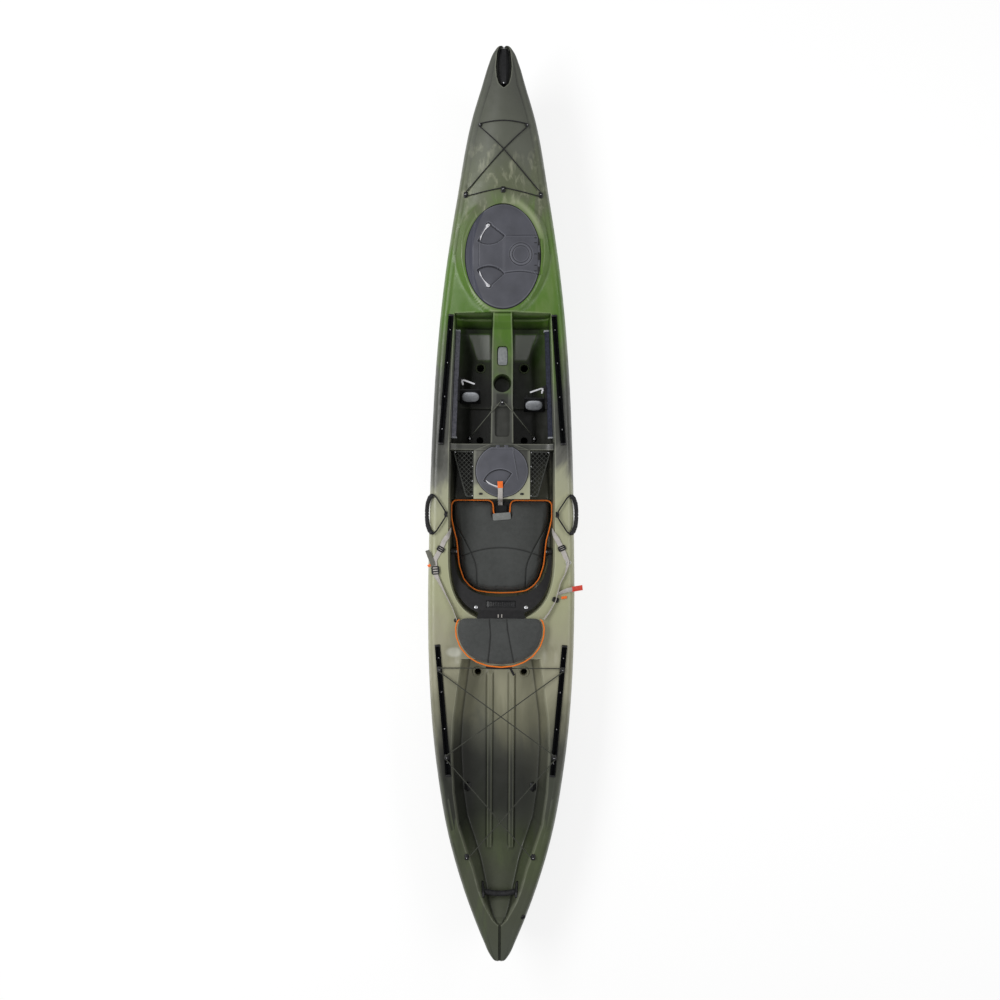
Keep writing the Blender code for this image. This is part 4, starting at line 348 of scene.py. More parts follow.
def hull_grid():
    """Closed rings across the boat: the bottom with its tracks, bilge, shoulder and deck, one ring for each row."""
    fine = np.linspace(-LENGTH / 2, LENGTH / 2, 20001)
    crowd = 1 + sum(4.5 * bell(fine - wall, 0.012) for wall in END_WALLS) + 1.2 * bell(fine + 0.46, 0.05)
    y = np.interp(np.linspace(0, 1, HULL_ROWS), np.cumsum(crowd) / crowd.sum(), fine)[::-1]
    y[0], y[-1] = LENGTH / 2, -LENGTH / 2
    share = 0.5 - y / LENGTH
    half = fair(HALF_BREADTH, share) * BEAM / 2
    widest, edge = fair(WIDEST_HEIGHT, share), fair(EDGE_HEIGHT, share)
    keel = np.maximum(fair(KEEL_HEIGHT, share), 0)
    flat = np.minimum(fair(FLAT_HALF, share), half * 0.8)
    shoulder = np.minimum(SHOULDER, half * 0.4)
    inner = half - shoulder
    track = TRACK_DEPTH * rise(share - 0.16, 0.1) * rise(0.88 - share, 0.1)
    across = np.array((0, 0.10, 0.17, 0.20, 0.24, 0.27, 0.36, 0.45, 0.48, 0.52, 0.55, 0.70, 0.85, 1))
    raised = np.interp(across, (0.18, 0.25, 0.47, 0.54), (0, 1, 1, 0))
    bottom = np.stack((np.outer(flat, across), keel[:, None] + np.outer(track, raised)), axis=-1)

    def corner(degrees, power, start, width, level, climb, from_below):
        """Superellipse from the flat of the bottom to the widest line, or from there to the deck's edge."""
        turn = np.radians(degrees)
        sine, cosine = (np.maximum(part, 0) ** (2 / power) for part in (np.sin(turn), np.cos(turn)))
        out, up = (sine, -cosine) if from_below else (cosine, sine)
        return np.stack((start[:, None] + np.outer(width, out), level[:, None] + np.outer(climb, up)), axis=-1)

    bilge = corner((10, 19, 28, 38, 48, 59, 70, 80, 90), BILGE_POWER, flat, half - flat, widest, widest - keel, True)
    side = corner((12, 24, 36, 48, 58, 68, 78, 90), SHOULDER_POWER, inner, shoulder, widest, edge - widest, False)
    # five lines of the grid run along the breaks of the cockpit and the tank well, and evenly where there is neither
    wall = cockpit_wall(y)
    rim = np.interp(y, *TANK_ROWS[:, :2].T)
    ridge, outer = (np.interp(y, COCKPIT_ROWS[:, 0], COCKPIT_ROWS[:, k]) for k in (2, 4))
    cockpit_x = np.stack((ridge - 0.004, ridge + 0.010, outer, wall - 0.006, wall + 0.013), axis=1)
    tank_x = np.stack((np.full_like(y, 0.036), np.full_like(y, 0.071), rim * 0.58, rim - 0.052, rim + 0.009), axis=1)
    plain = inner[:, None] * np.array((0.12, 0.26, 0.45, 0.62, 0.80))
    ends = ((-0.60, -0.53, 0.91, 0.97), (-2.0, -1.90, -0.72, -0.66))
    weight = np.stack([np.interp(y, places, (0, 1, 1, 0)) for places in ends], axis=1)
    breaks = cockpit_x * weight[:, :1] + tank_x * weight[:, 1:] + plain * (1 - weight.sum(axis=1, keepdims=True))
    lines = np.concatenate((np.zeros((len(y), 1)), breaks, inner[:, None]), axis=1)
    gaps = np.maximum(np.diff(lines, axis=1), 0.012 * inner[:, None])
    window = np.hanning(9) / np.hanning(9).sum()
    gaps = np.apply_along_axis(lambda g: np.convolve(np.pad(g, 4, mode="edge"), window, mode="valid"), 0, gaps)
    gaps *= (inner / gaps.sum(axis=1))[:, None]
    counts = (9, 8, 10, 8, 14, DECK_COLUMNS - 49)
    x = np.concatenate([
        gaps[:, :k].sum(axis=1)[:, None] + np.outer(gaps[:, k], np.arange(n) / n) for k, n in enumerate(counts)
    ], axis=1)
    deck = np.stack((x, hull_top(x, np.broadcast_to(y[:, None], x.shape))), axis=-1)[:, ::-1]
    right = np.concatenate((bottom, bilge, side, deck), axis=1)
    ring = np.concatenate((right, right[:, -2:0:-1] * (-1, 1)), axis=1)
    # the last rings draw in towards their middle, so the nose and the stern are round
    from_end = LENGTH / 2 - np.abs(y)
    drawn_in = NOSE_ROUND * (1 - np.sqrt(1 - np.clip(1 - from_end / NOSE_ROUND, 0, 1) ** 2))
    middle = np.stack((np.zeros_like(y), (widest * 0.6 + edge * 0.4)), axis=-1)[:, None]
    reach = np.linalg.norm(ring - middle, axis=-1, keepdims=True)
    ring = middle + (ring - middle) * np.maximum(1 - drawn_in[:, None, None] / np.maximum(reach, 1e-6), 0.2)
    return np.stack((ring[..., 0], np.broadcast_to(y[:, None], ring.shape[:2]), ring[..., 1]), axis=-1)


def built(name, data, *finishes):
    """Object of a smooth mesh with its finishes, standing at the origin."""
    data.shade_smooth()
    for finish in finishes:
        data.materials.append(finish)
    return linked(bpy.data.objects.new(name, data))


def skinned(name, grid, finish=None, capped=True):
    """Mesh object over a grid of points: quads between rows, each row closed on itself, its ends drawn to a point."""
    grid = np.asarray(grid, dtype=float)
    if capped:
        first, last = (end.mean(axis=1, keepdims=True).repeat(grid.shape[1], axis=1) for end in (grid[:1], grid[-1:]))
        grid = np.concatenate((first, grid, last))
    rows, columns = grid.shape[:2]
    index = np.arange(rows * columns).reshape(rows, columns)
    after = np.roll(index, -1, axis=1)
    quads = np.stack((index[:-1], after[:-1], after[1:], index[1:]), axis=-1).reshape(-1, 4)
    data = bpy.data.meshes.new(name)
    data.from_pydata(grid.reshape(-1, 3).tolist(), [], quads.tolist())
    shape = bmesh.new()
    shape.from_mesh(data)
    bmesh.ops.remove_doubles(shape, verts=shape.verts, dist=0.000002)
    bmesh.ops.recalc_face_normals(shape, faces=shape.faces)
    shape.to_mesh(data)
    shape.free()
    return built(name, data, *([finish] if finish else []))


def turns(count, start=0.0):
    """Evenly spaced angles round a circle."""
    return (np.arange(count) + start) * 2 * math.pi / count


def turned(name, profile, centre, finish=None, stretch=(1, 1), steps=64):
    """Turned piece: a profile of radius and height carried round an upright axis."""
    profile = np.array(profile, dtype=float)
    grid = np.stack((
        np.outer(profile[:, 0], np.cos(turns(steps))) * stretch[0],
        np.outer(profile[:, 0], np.sin(turns(steps))) * stretch[1],
        np.repeat(profile[:, 1:2], steps, axis=1),
    ), axis=-1)
    return skinned(name, grid + np.array(centre), finish)


def settled(made, sharp=None):
    """Replaces an object's mesh by what its modifiers give, and marks the edges that are sharper than an angle."""
    data = bpy.data.meshes.new_from_object(made.evaluated_get(bpy.context.evaluated_depsgraph_get()))
    made.modifiers.clear()
    old, made.data = made.data, data
    bpy.data.meshes.remove(old)
    if sharp:
        data.set_sharp_from_angle(angle=math.radians(sharp))
    return made


hull = skinned("hull_shell", hull_grid())


def squared(angles, power):
    """Cosine and sine of each angle, both raised to a power with their signs kept."""
    return [np.sign(part) * np.abs(part) ** power for part in (np.cos(angles), np.sin(angles))]


def outline_round(half_x, half_y, power, steps=48, centre=(0, 0)):
    """Rounded rectangle as a superellipse."""
    x, y = squared(turns(steps, 0.5), 2 / power)
    return np.column_stack((centre[0] + half_x * x, centre[1] + half_y * y))


def inset(outline, amount):
    """Outline moved inwards along the normal at each point, taken from the points on both sides of it."""
    ahead = np.roll(outline, -1, axis=0) - np.roll(outline, 1, axis=0)
    normal = np.stack((ahead[:, 1], -ahead[:, 0]), axis=1) / np.maximum(
        np.linalg.norm(ahead, axis=1, keepdims=True), 1e-9,
    )
    area = np.sum(outline[:, 0] * np.roll(outline[:, 1], -1) - np.roll(outline[:, 0], -1) * outline[:, 1])
    return outline - amount * np.sign(area) * normal


def prism(name, outline, levels, finish=None):
    """Upright block: one outline repeated at pairs of a height and an inset."""
    outline = np.asarray(outline, dtype=float)
    grid = [
        np.column_stack((inset(outline, amount) if amount else outline, np.full(len(outline), z)))
        for z, amount in levels
    ]
    return skinned(name, grid, finish)


def moved(made, matrix):
    """Moves a piece's points, and leaves its object at the origin."""
    made.data.transform(matrix)
    if matrix.to_3x3().determinant() < 0:
        made.data.flip_normals()
    return made


def joined(name, pieces):
    """One mesh object from several pieces that share a finish and a body."""
    shape = bmesh.new()
    for piece in pieces:
        shape.from_mesh(piece.data)
    data = bpy.data.meshes.new(name)
    shape.to_mesh(data)
    shape.free()
    finishes = list(pieces[0].data.materials)
    for piece in pieces:
        bpy.data.objects.remove(piece)
    return built(name, data, *finishes)


def bar_place(node):
    """Half sizes of a straight bar, and the matrix that stands a piece on its middle with Y along it."""
    points = np.array([v.co for v in nodes[node].data.vertices])
    _, _, axes = np.linalg.svd(points - points.mean(axis=0), full_matrices=False)
    along = Vector(axes[0] * (1 if axes[0][1] > 0 else -1))
    across = along.cross(Vector((0, 0, 1))).normalized()
    turn = np.array((across, along, across.cross(along)))
    local = points @ turn.T
    low, high = local.min(axis=0), local.max(axis=0)
    middle = Vector(turn.T @ ((low + high) / 2))
    return (high - low) / 2, Matrix.Translation(middle) @ Matrix(turn.T).to_4x4()


SCUPPER_PLACES = ((0.108, 0.688), (0.110, 0.330), (0.112, -0.800), (0.112, -0.330))
SCUPPERS = [(side * x, y) for x, y in SCUPPER_PLACES for _, side in SIDES]
CUP_Y, CUP_FLOOR = 0.591, 0.168
TROUGH_Y = 0.410
RAIL_NAMES = [f"gear_rail_{end}_{side}" for end in ("front", "rear") for side, _ in SIDES]
SEAL_LAND = 0.022


def hull_cutters():
    """Everything that is bored, recessed or slotted into the moulding."""
    a, r = BOW_LID_HALF_WIDTH, MID_LID_RADIUS
    wide = a + LID_CLEARANCE
    bow = (
        (0, 0.42), (wide, 0.42), (wide, BOW_REBATE), (a - SEAL_LAND, BOW_REBATE), (a - SEAL_LAND, 0.335),
        (a - 0.012, 0.325), (a - 0.020, 0.16), (a - 0.06, 0.06), (0, 0.05),
    )
    round_mid = r + LID_CLEARANCE
    mid = (
        (0, 0.36), (round_mid, 0.36), (round_mid, MID_REBATE), (r - SEAL_LAND, MID_REBATE), (r - SEAL_LAND, 0.04),
        (0, 0.03),
    )
    cup = ((0, 0.33), (0.0455, 0.33), (0.0430, 0.252), (0.0400, CUP_FLOOR + 0.006), (0.034, CUP_FLOOR), (0, CUP_FLOOR))
    scupper = ((0, 0.28), (0.0142, 0.28), (0.0173, 0.09), (0.0195, -0.02), (0, -0.02))
    oval = (1, (BOW_LID_HALF_LENGTH + LID_CLEARANCE) / wide)
    tools = [
        turned("bow_opening", bow, (*BOW_HATCH, 0), stretch=oval, steps=160),
        turned("mid_opening", mid, (*MID_HATCH, 0), steps=128),
        turned("cup", cup, (0, CUP_Y, 0)),
    ]
    # the pad's recess, the trough and the groove across the stern
    for half_x, half_y, power, y, foot, eased, top, out in (
        (0.026, 0.046, 5, 0.718, 0.262, 0.003, 0.36, 0), (0.036, 0.072, 8, TROUGH_Y, 0.233, 0.003, 0.34, 0),
        (0.006, 0.105, 12, -2.05, 0.296, 0.002, 0.36, -0.002),
    ):
        outline = outline_round(half_x, half_y, power, centre=(0, y))
        tools.append(prism("recess", outline, ((foot, eased), (foot + 0.003, 0), (top, out))))
    tools += [turned("scupper", scupper, (x, y, 0), steps=32) for x, y in SCUPPERS]
    for node in RAIL_NAMES:
        half, place = bar_place(node)
        slot = outline_round(half[0] + 0.0006, half[1] + 0.001, 60, 64)
        tools.append(moved(prism("rail_slot", slot, ((-half[2] - 0.0003, 0), (0.05, 0))), place))
    return joined("hull_cutters", tools)


cutters = hull_cutters()
bore = hull.modifiers.new("bore", "BOOLEAN")
bore.operation = "DIFFERENCE"
bore.object = cutters
bore.solver = "MANIFOLD"
settled(hull, 42)
bpy.data.objects.remove(cutters)


def read(made, what="co"):
    """Points or normals of a piece as rows of three."""
    values = np.empty(len(made.data.vertices) * 3)
    made.data.vertices.foreach_get(what, values)
    return values.reshape(-1, 3)


def written(made, name, values):
    """Writes one value for each point, for the finish to read."""
    made.data.attributes.new(name, "FLOAT", "POINT").data.foreach_set("value", values)


def marked(made, height, reach, full):
    """Marks each point of an upper surface with how far it stands out from the mean height around it, from -1 to 1."""
    x, y, z = read(made).T
    here = height(x, y)
    around = (height(x + reach, y) + height(x - reach, y) + height(x, y + reach) + height(x, y - reach)) / 4
    above = np.abs(z - here) < 0.003
    written(made, "edge", np.clip((here - around) / full, -1, 1) * above)
    return x, y, z, above


def blended(tree, share, first, second):
    """Colour that goes from one to another by a share; each is a hex colour or a link."""
    ends = [linear(end) if isinstance(end, str) else end for end in (first, second)]
    return add(tree, "Mix", {0: share, 6: ends[0], 7: ends[1]}, data_type="RGBA").outputs[2]


def edged(tree, colour, pale, dark, strength, depth):
    """Colour that turns paler along raised edges and darker in grooves, partly as wear and dirt and partly as painted
    highlight and painted shade.
    """
    mark = add(tree, "Attribute", attribute_name="edge").outputs["Fac"]
    lighter = blended(tree, spread(tree, mark, 0.08, 1.0, high=strength), colour, pale)
    return blended(tree, spread(tree, mark, -0.08, -1.0, high=depth), lighter, dark)


x, y, z, above = marked(hull, hull_top, 0.005, 0.0016)
aside = np.abs(x)
# "well" is 1 deep in the cockpit, where the finish darkens the hull partly for its dark powder and partly as painted
# shade, most so on the port side, in the painted shade of the port wall; below 0 on the foot ramps, painted pale for
# their grey and for the light on their upward faces
inside = above * (aside < 0.27) * rise(y + 0.63, 0.03) * rise(0.945 - y, 0.02)
well = rise(0.232 - z, 0.09) * inside * (0.80 + 0.25 * rise(-x - 0.10, 0.06))
ramp = rise(y - 0.722, 0.008) * rise(0.852 - y, 0.01)
ramp = ramp * rise(aside - 0.054, 0.006) * rise(0.127 + 0.36 * (y - 0.723) - aside, 0.01) * above
well = well * (1 - ramp) - 0.95 * ramp
# the cup holder and the trough are darkened too, as painted shade in their hollows, and the middle of the tank well is
# darker, more so to port
well = np.where((np.hypot(x, y - CUP_Y) < 0.0446) & (z < 0.243), 0.85, well)
well = np.where(~above & (aside < 0.0365) & (np.abs(y - TROUGH_Y) < 0.0726) & (z < 0.2405), 0.62, well)
tank_darkening = 1.25 * bell(np.abs(y + 1.345), 0.235, 2.6) * (0.86 - 0.45 * np.clip(x / 0.2, -1, 1) ** 3)
well = np.where(above & (z < 0.295) & (y < -0.74) & (y > -1.86), np.clip(tank_darkening, 0, 0.97), well)
well = np.where(above & (aside < 0.027) & (np.abs(y - 0.5175) < 0.022), 0.85, well)
written(hull, "well", well)
# "shine" is 1 on the two crescents of the bow hatch's collar that face the lamps, where the finish paints a highlight
beyond = (np.hypot(x / 0.1755, (y - BOW_HATCH[1]) / 0.2435) - 1) * 0.1755
around = np.degrees(np.arctan2(y - BOW_HATCH[1], x * 1.35))
shine = bell(beyond - 0.016, 0.011) * bell(around - 50, 30, 4)
shine = shine + 0.8 * bell(beyond - 0.010, 0.007) * bell(around + 125, 22, 4)
written(hull, "shine", shine * above * (z > 0.335))

# The camouflage colours in order from the stern to the bow, by real place
CAMOUFLAGE = (
    (-2.135, "#50544a"), (-1.78, "#4c5040"), (-1.56, "#4c543a"), (-1.40, "#53574a"), (-1.18, "#646558"),
    (-0.98, "#7f7e69"), (-0.72, "#a09e86"), (-0.42, "#a8aa87"), (-0.06, "#aaab8c"), (0.03, "#a3a48a"),
    (0.13, "#6b6b64"),
    (0.24, "#464742"), (0.42, "#474842"), (0.62, "#4f514a"), (0.74, "#566340"), (0.88, "#4c7021"), (1.16, "#547824"),
    (1.32, "#5f7440"), (1.46, "#61674f"), (1.72, "#5e6156"), (2.135, "#55574f"),
)
# Pale wisps, dark smoke and green stain: scale, how dense, colour, where along the boat and how far, strength, seed
SWIRLS = (
    ((26, 11, 26), (0.52, 0.68), "#b4b59c", 1.52, 0.24, 0.44, 3.1),
    ((9, 2.6, 9), (0.50, 0.66), "#33342f", 0.45, 0.55, 0.55, 7.7),
    ((8, 2.2, 8), (0.47, 0.62), "#557a28", 0.98, 0.42, 0.50, 1.3),
    ((7, 2.0, 7), (0.50, 0.66), "#2a2a28", -1.36, 0.42, 0.60, 5.2),
    ((12, 2.4, 12), (0.52, 0.70), "#8d8a6f", -0.55, 0.60, 0.55, 9.4),
    ((10, 2.5, 10), (0.54, 0.70), "#55603f", -1.75, 0.40, 0.60, 4.4),
    ((13, 3.0, 13), (0.50, 0.66), "#8b9468", 1.05, 0.45, 0.22, 6.1),
)


def cloud(tree, where, scale, detail, **more):
    """Noise of a given scale and detail."""
    return add(tree, "TexNoise", {"Vector": where, "Scale": scale, "Detail": detail, **more}).outputs["Fac"]


def roughened(tree, where, shader, low, high, scale, bump, fine):
    """Roughness that wanders between two values, and a fine raised grain of a real size."""
    tree.links.new(spread(tree, cloud(tree, where, scale, 4.0), 0.35, 0.68, low, high), shader.inputs["Roughness"])
    raised = add(tree, "Bump", {"Height": cloud(tree, where, fine, 3.0), "Strength": bump, "Distance": 0.0006})
    tree.links.new(raised.outputs["Normal"], shader.inputs["Normal"])


def started(name, colour, roughness, metallic=0.0, ior=None):
    """New material with its shader's constants set; gives the material, its tree, its shader and Object coordinates."""
    made = bpy.data.materials.new(name)
    made.use_nodes = True
    tree = made.node_tree
    shader = tree.nodes["Principled BSDF"]
    shader.inputs["Base Color"].default_value = linear(colour)
    shader.inputs["Roughness"].default_value = roughness
    shader.inputs["Metallic"].default_value = metallic
    if ior:
        shader.inputs["IOR"].default_value = ior
    return made, tree, shader, add(tree, "TexCoord").outputs["Object"]


def camouflaged_polyethylene():
    """Rotomoulded polyethylene: waxy, half gloss, its colours smeared lengthwise where the powders ran together."""
    made, tree, shader, where = started("camouflaged_polyethylene", "#8f9174", 0.4, ior=1.51)
    stretched = add(tree, "Mapping", {"Vector": where, "Scale": (3.4, 1.5, 3.4)}).outputs[0]
    swirl = cloud(tree, stretched, 1.0, 5.0, Roughness=0.58, Distortion=0.9)
    along = add(tree, "SeparateXYZ", {0: where}).outputs["Y"]
    along = worked(tree, "ADD", along, spread(tree, swirl, 0.3, 0.7, -0.17, 0.17))
    ramp = add(tree, "ValToRGB", {"Fac": spread(tree, along, -LENGTH / 2, LENGTH / 2)})
    ramp.color_ramp.interpolation = "EASE"
    stops = ramp.color_ramp.elements
    for y, tone in CAMOUFLAGE[1:-1]:
        stops.new(y / LENGTH + 0.5).color = linear(tone)
    stops[0].color, stops[len(stops) - 1].color = linear(CAMOUFLAGE[0][1]), linear(CAMOUFLAGE[-1][1])
    colour = ramp.outputs["Color"]
    for scale, density, tone, middle, reach, strength, seed in SWIRLS:
        drawn = add(tree, "Mapping", {"Vector": where, "Location": (seed, seed, seed), "Scale": scale}).outputs[0]
        dense = spread(tree, cloud(tree, drawn, 1.0, 6.0, Roughness=0.6, Distortion=0.5), *density)
        away = worked(tree, "ABSOLUTE", worked(tree, "SUBTRACT", along, middle))
        near = spread(tree, away, reach, reach * 0.35, high=strength, interpolation_type="SMOOTHSTEP")
        colour = blended(tree, worked(tree, "MULTIPLY", dense, near), colour, tone)
    # the wells of the cockpit are darkened, partly for the dark powder and partly as painted shade, and the foot ramps
    # are painted pale, partly for their grey and partly as painted light
    deep = add(tree, "Attribute", attribute_name="well").outputs["Fac"]
    for reach, strength, tone in ((1.0, 0.86, "#191a17"), (-0.9, 0.88, "#b9bab6")):
        colour = blended(tree, spread(tree, deep, 0.0, reach, high=strength), colour, tone)
    # a painted highlight on the moulded scoop to port of the back pad, where it catches the light
    scoop = {"Vector": where, "Location": (0.222 * 22, 0.684 * 34, 0), "Scale": (22, 34, 0)}
    radius = add(tree, "VectorMath", {0: add(tree, "Mapping", scoop).outputs[0]}, operation="LENGTH").outputs["Value"]
    patch = spread(tree, radius, 1.0, 0.5, high=0.5, interpolation_type="SMOOTHSTEP")
    colour = blended(tree, patch, colour, "#d4d6cb")
    # painted highlights on the two crescents of the collar round the bow hatch
    crescents = spread(tree, add(tree, "Attribute", attribute_name="shine").outputs["Fac"], 0.0, 1.0, high=0.5)
    colour = blended(tree, crescents, colour, "#b7bf9c")
    # its raised edges are paler and its grooves darker, partly wear and dirt and partly painted highlight and painted
    # shade
    tree.links.new(edged(tree, colour, "#c9ccb6", "#191a17", 0.17, 0.62), shader.inputs["Base Color"])
    roughened(tree, where, shader, 0.30, 0.48, 26.0, 0.10, 900.0)
    return made


def placed(made, body, slot, *replaced):
    """Puts a piece on the body it rides on and hides the CAD solids it stands for; the slot, what it is made of, is not
    used.
    """
    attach(made, body)
    if replaced:
        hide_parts(*replaced)
    return made


HULL_FINISH = camouflaged_polyethylene()
hull.data.materials.clear()
hull.data.materials.append(HULL_FINISH)
placed(hull, "boat", "hull_polyethylene", "hull")

# Hatch lids: injection-moulded polypropylene, domed, with a boss, shallow folds and a finger dish for each latch.
# A lid closes on a rubber seal in the rebate, and its two knuckles turn on the pin of the hinge in the hull.
BOW_LID_TOP, BOW_LID_CROWN, BOW_DISH_FLOOR = 0.3646, 0.009, 0.3609
MID_LID_TOP, MID_LID_CROWN, MID_DISH_FLOOR = 0.2516, 0.006, 0.2464
LID_THICK, BOW_LATCH_REACH, MID_LATCH_REACH = 0.012, 0.0885, 0.0845
KNUCKLE_RADIUS, KNUCKLE_BORE, KNUCKLE_REACH, CHORD_GAP = 0.0045, 0.0027, 0.0072, 0.0053
BOW_PIN, MID_PIN = (0.1665, 1.164, 0.3631), (0, 0.2925, 0.2501)
LEVER_ROOT, LEVER_THICK = 0.0085, 0.0052
# Name, pivot, resting angle, swing, dish floor, body, sideways bend and length of the lever; below the lid the height
# of its blade, the blade's angle, half length and offset
LATCHES = (
    (
        "bow_latch_forward", (-0.0665, 1.3045), -119.5, 81.5, BOW_DISH_FLOOR, "forward_latch", -0.0100, 0.0785, 0.352,
        115, 0.019, 0.013,
    ),
    (
        "bow_latch_aft", (-0.0652, 1.0283), 123, -81.4, BOW_DISH_FLOOR, "aft_latch", 0.0100, 0.0785, 0.352, -115, 0.019,
        0.013,
    ),
    (
        "mid_latch", (-0.008, 0.097), 155, -100, MID_DISH_FLOOR, "mid_lid_latch", 0.0085, 0.0745, 0.239, -95, 0.011,
        0.006,
    ),
)


def dressed(finish, *names):
    """Gives a finish to CAD pieces whose shape stands as it is."""
    for name in names:
        nodes[name].data.materials.clear()
        nodes[name].data.materials.append(finish)


def painted(finish):
    """Tree of a finish, the socket of its colour, and the link that feeds it."""
    shader = finish.node_tree.nodes["Principled BSDF"]
    return finish.node_tree, shader.inputs["Base Color"], shader.inputs["Base Color"].links[0].from_socket


def moulded(name, colour, shade, patch, low, high, grain, bump, metallic=0.0):
    """Finish whose colour drifts gently between two tones, with a grain and a roughness that wanders."""
    made, tree, shader, where = started(name, colour, low, metallic)
    share = spread(tree, cloud(tree, where, patch, 4.0), 0.35, 0.68)
    tree.links.new(blended(tree, share, colour, shade), shader.inputs["Base Color"])
    roughened(tree, where, shader, low, high, patch * 1.7, bump, grain)
    return made


# Glass-filled polypropylene lids: cool grey, satin, a little cloudy where the melt met, paler along folds and darker in
# grooves, partly as wear and partly as painted highlight and painted shade
LID_GREY = moulded("lid_polypropylene", "#53545c", "#4a4b52", 14.0, 0.42, 0.56, 1100.0, 0.06)
tree, socket, tone = painted(LID_GREY)
tree.links.new(edged(tree, tone, "#787982", "#26272c", 0.55, 0.9), socket)
# Latch levers: pale grey acetal, smoother than the lid that they lie in
PALE_ACETAL = moulded("pale_acetal", "#e3e3e6", "#cfcfd4", 90.0, 0.30, 0.42, 1500.0, 0.04)
# Small fittings: black nylon, faintly glossy, with the fine spark texture of the mould
BLACK_NYLON = moulded("black_nylon", "#17171a", "#0e0e10", 60.0, 0.38, 0.52, 1500.0, 0.10)
# Seals: dull black rubber with a dusty bloom
SEAL_RUBBER = moulded("seal_rubber", "#1b1b1c", "#26262a", 80.0, 0.70, 0.86, 900.0, 0.12)
# Screws: bright stainless steel with light scuffs
STAINLESS = moulded("stainless_steel", "#e6e7e9", "#c3c4c8", 300.0, 0.30, 0.44, 3000.0, 0.03, 1.0)
# Mid hatch hinge: nylon in the hull's dull green
HINGE_NYLON = moulded("hinge_nylon", "#41433d", "#363833", 60.0, 0.42, 0.55, 1500.0, 0.08)


def step(value, width):
    """Smooth step from 0 to 1 as a value goes from minus half a width to plus half of it."""
    t = np.clip(value / width + 0.5, 0, 1)
    return t * t * (3 - 2 * t)


def dish(x, y, latch, reach):
    """Share of full depth of the fan that a latch's lever sweeps about its pivot."""
    pivot, angle, swing = latch[1:4]
    dx, dy = x - pivot[0], y - pivot[1]
    fan = step(reach - np.hypot(dx, dy), 0.003)
    for limit, sign in zip(sorted((angle, angle + swing)), (1, -1)):
        c, s = math.cos(math.radians(limit)), math.sin(math.radians(limit))
        fan = fan * step(sign * (c * dy - s * dx) + 0.0085, 0.0025)
    return np.maximum(fan, step(0.0135 - np.hypot(dx, dy), 0.002))


def lid_piece(name, half_x, half_y, centre, chord, top, height, finish):
    """Oval lid cut off along its hinge side: rings from the middle out, then down the edge and back below."""
    turn = turns(288, 0.5)
    unit = np.column_stack((half_x * np.cos(turn), half_y * np.sin(turn)))
    toward = unit @ np.array(chord[0])
    share = np.minimum(1, chord[1] / np.maximum(toward, 1e-6))
    edge = unit * np.where(toward > 0, share, 1)[:, None]
    rings = []
    for u in np.sin(np.linspace(0.02, math.pi / 2, 110)):
        x, y = edge[:, 0] * u + centre[0], edge[:, 1] * u + centre[1]
        rings.append(np.column_stack((x, y, height(x, y))))
    inwards = edge / np.linalg.norm(edge, axis=1, keepdims=True)
    under = top - LID_THICK
    for back, z in ((-0.0001, top - 0.0046), (0, under + 0.0012), (0.0012, under), (0.03, under), (0.06, under)):
        rings.append(np.column_stack((edge - inwards * back + np.array(centre), np.full(len(edge), z))))
    return skinned(name, rings, finish)


def crescent(name, pivot, angle, length, floor, bend):
    """Curved lever: a round hub over its pin, then a blade that narrows and bows out to a thin end."""
    hub, tip = np.sin(np.linspace(0, math.pi / 2, 10)) * 0.12, 1 - 0.03 * np.cos(np.linspace(0.3, math.pi / 2, 6))
    share = np.concatenate((hub, np.linspace(0.14, 0.97, 40), tip))[:, None]
    half = np.interp(share, *np.array((
        (0, 0.0003), (0.01, 0.0035), (0.035, 0.0066), (0.08, 0.0082), (0.14, 0.0080), (0.35, 0.0068), (0.7, 0.0044),
        (0.94, 0.0026), (0.985, 0.0016), (1, 0.0002),
    )).T)
    bow = bend * 4 * share * (1 - share)
    across, up = squared(turns(20), 0.55)
    lift = floor + LEVER_THICK / 2 + 0.0008 * share
    grid = np.stack((
        np.repeat(share * (length + LEVER_ROOT) - LEVER_ROOT, 20, axis=1),
        bow + half * across,
        lift + LEVER_THICK / 2 * up * np.minimum(1, half / 0.0012),
    ), axis=-1)
    # a shallow groove along the middle of the upper face
    groove = step(0.0022 - np.abs(grid[:, :, 1] - bow), 0.001) * (up > 0.3) * ((share > 0.2) & (share < 0.9))
    grid[:, :, 2] -= 0.0009 * groove
    return moved(skinned(name, grid, PALE_ACETAL), turned_to(pivot, angle))


def turned_to(pivot, angle):
    """Matrix that turns a piece about the upright axis and sets it at a place."""
    return Matrix.Translation((*pivot, 0)) @ Matrix.Rotation(math.radians(angle), 4, "Z")


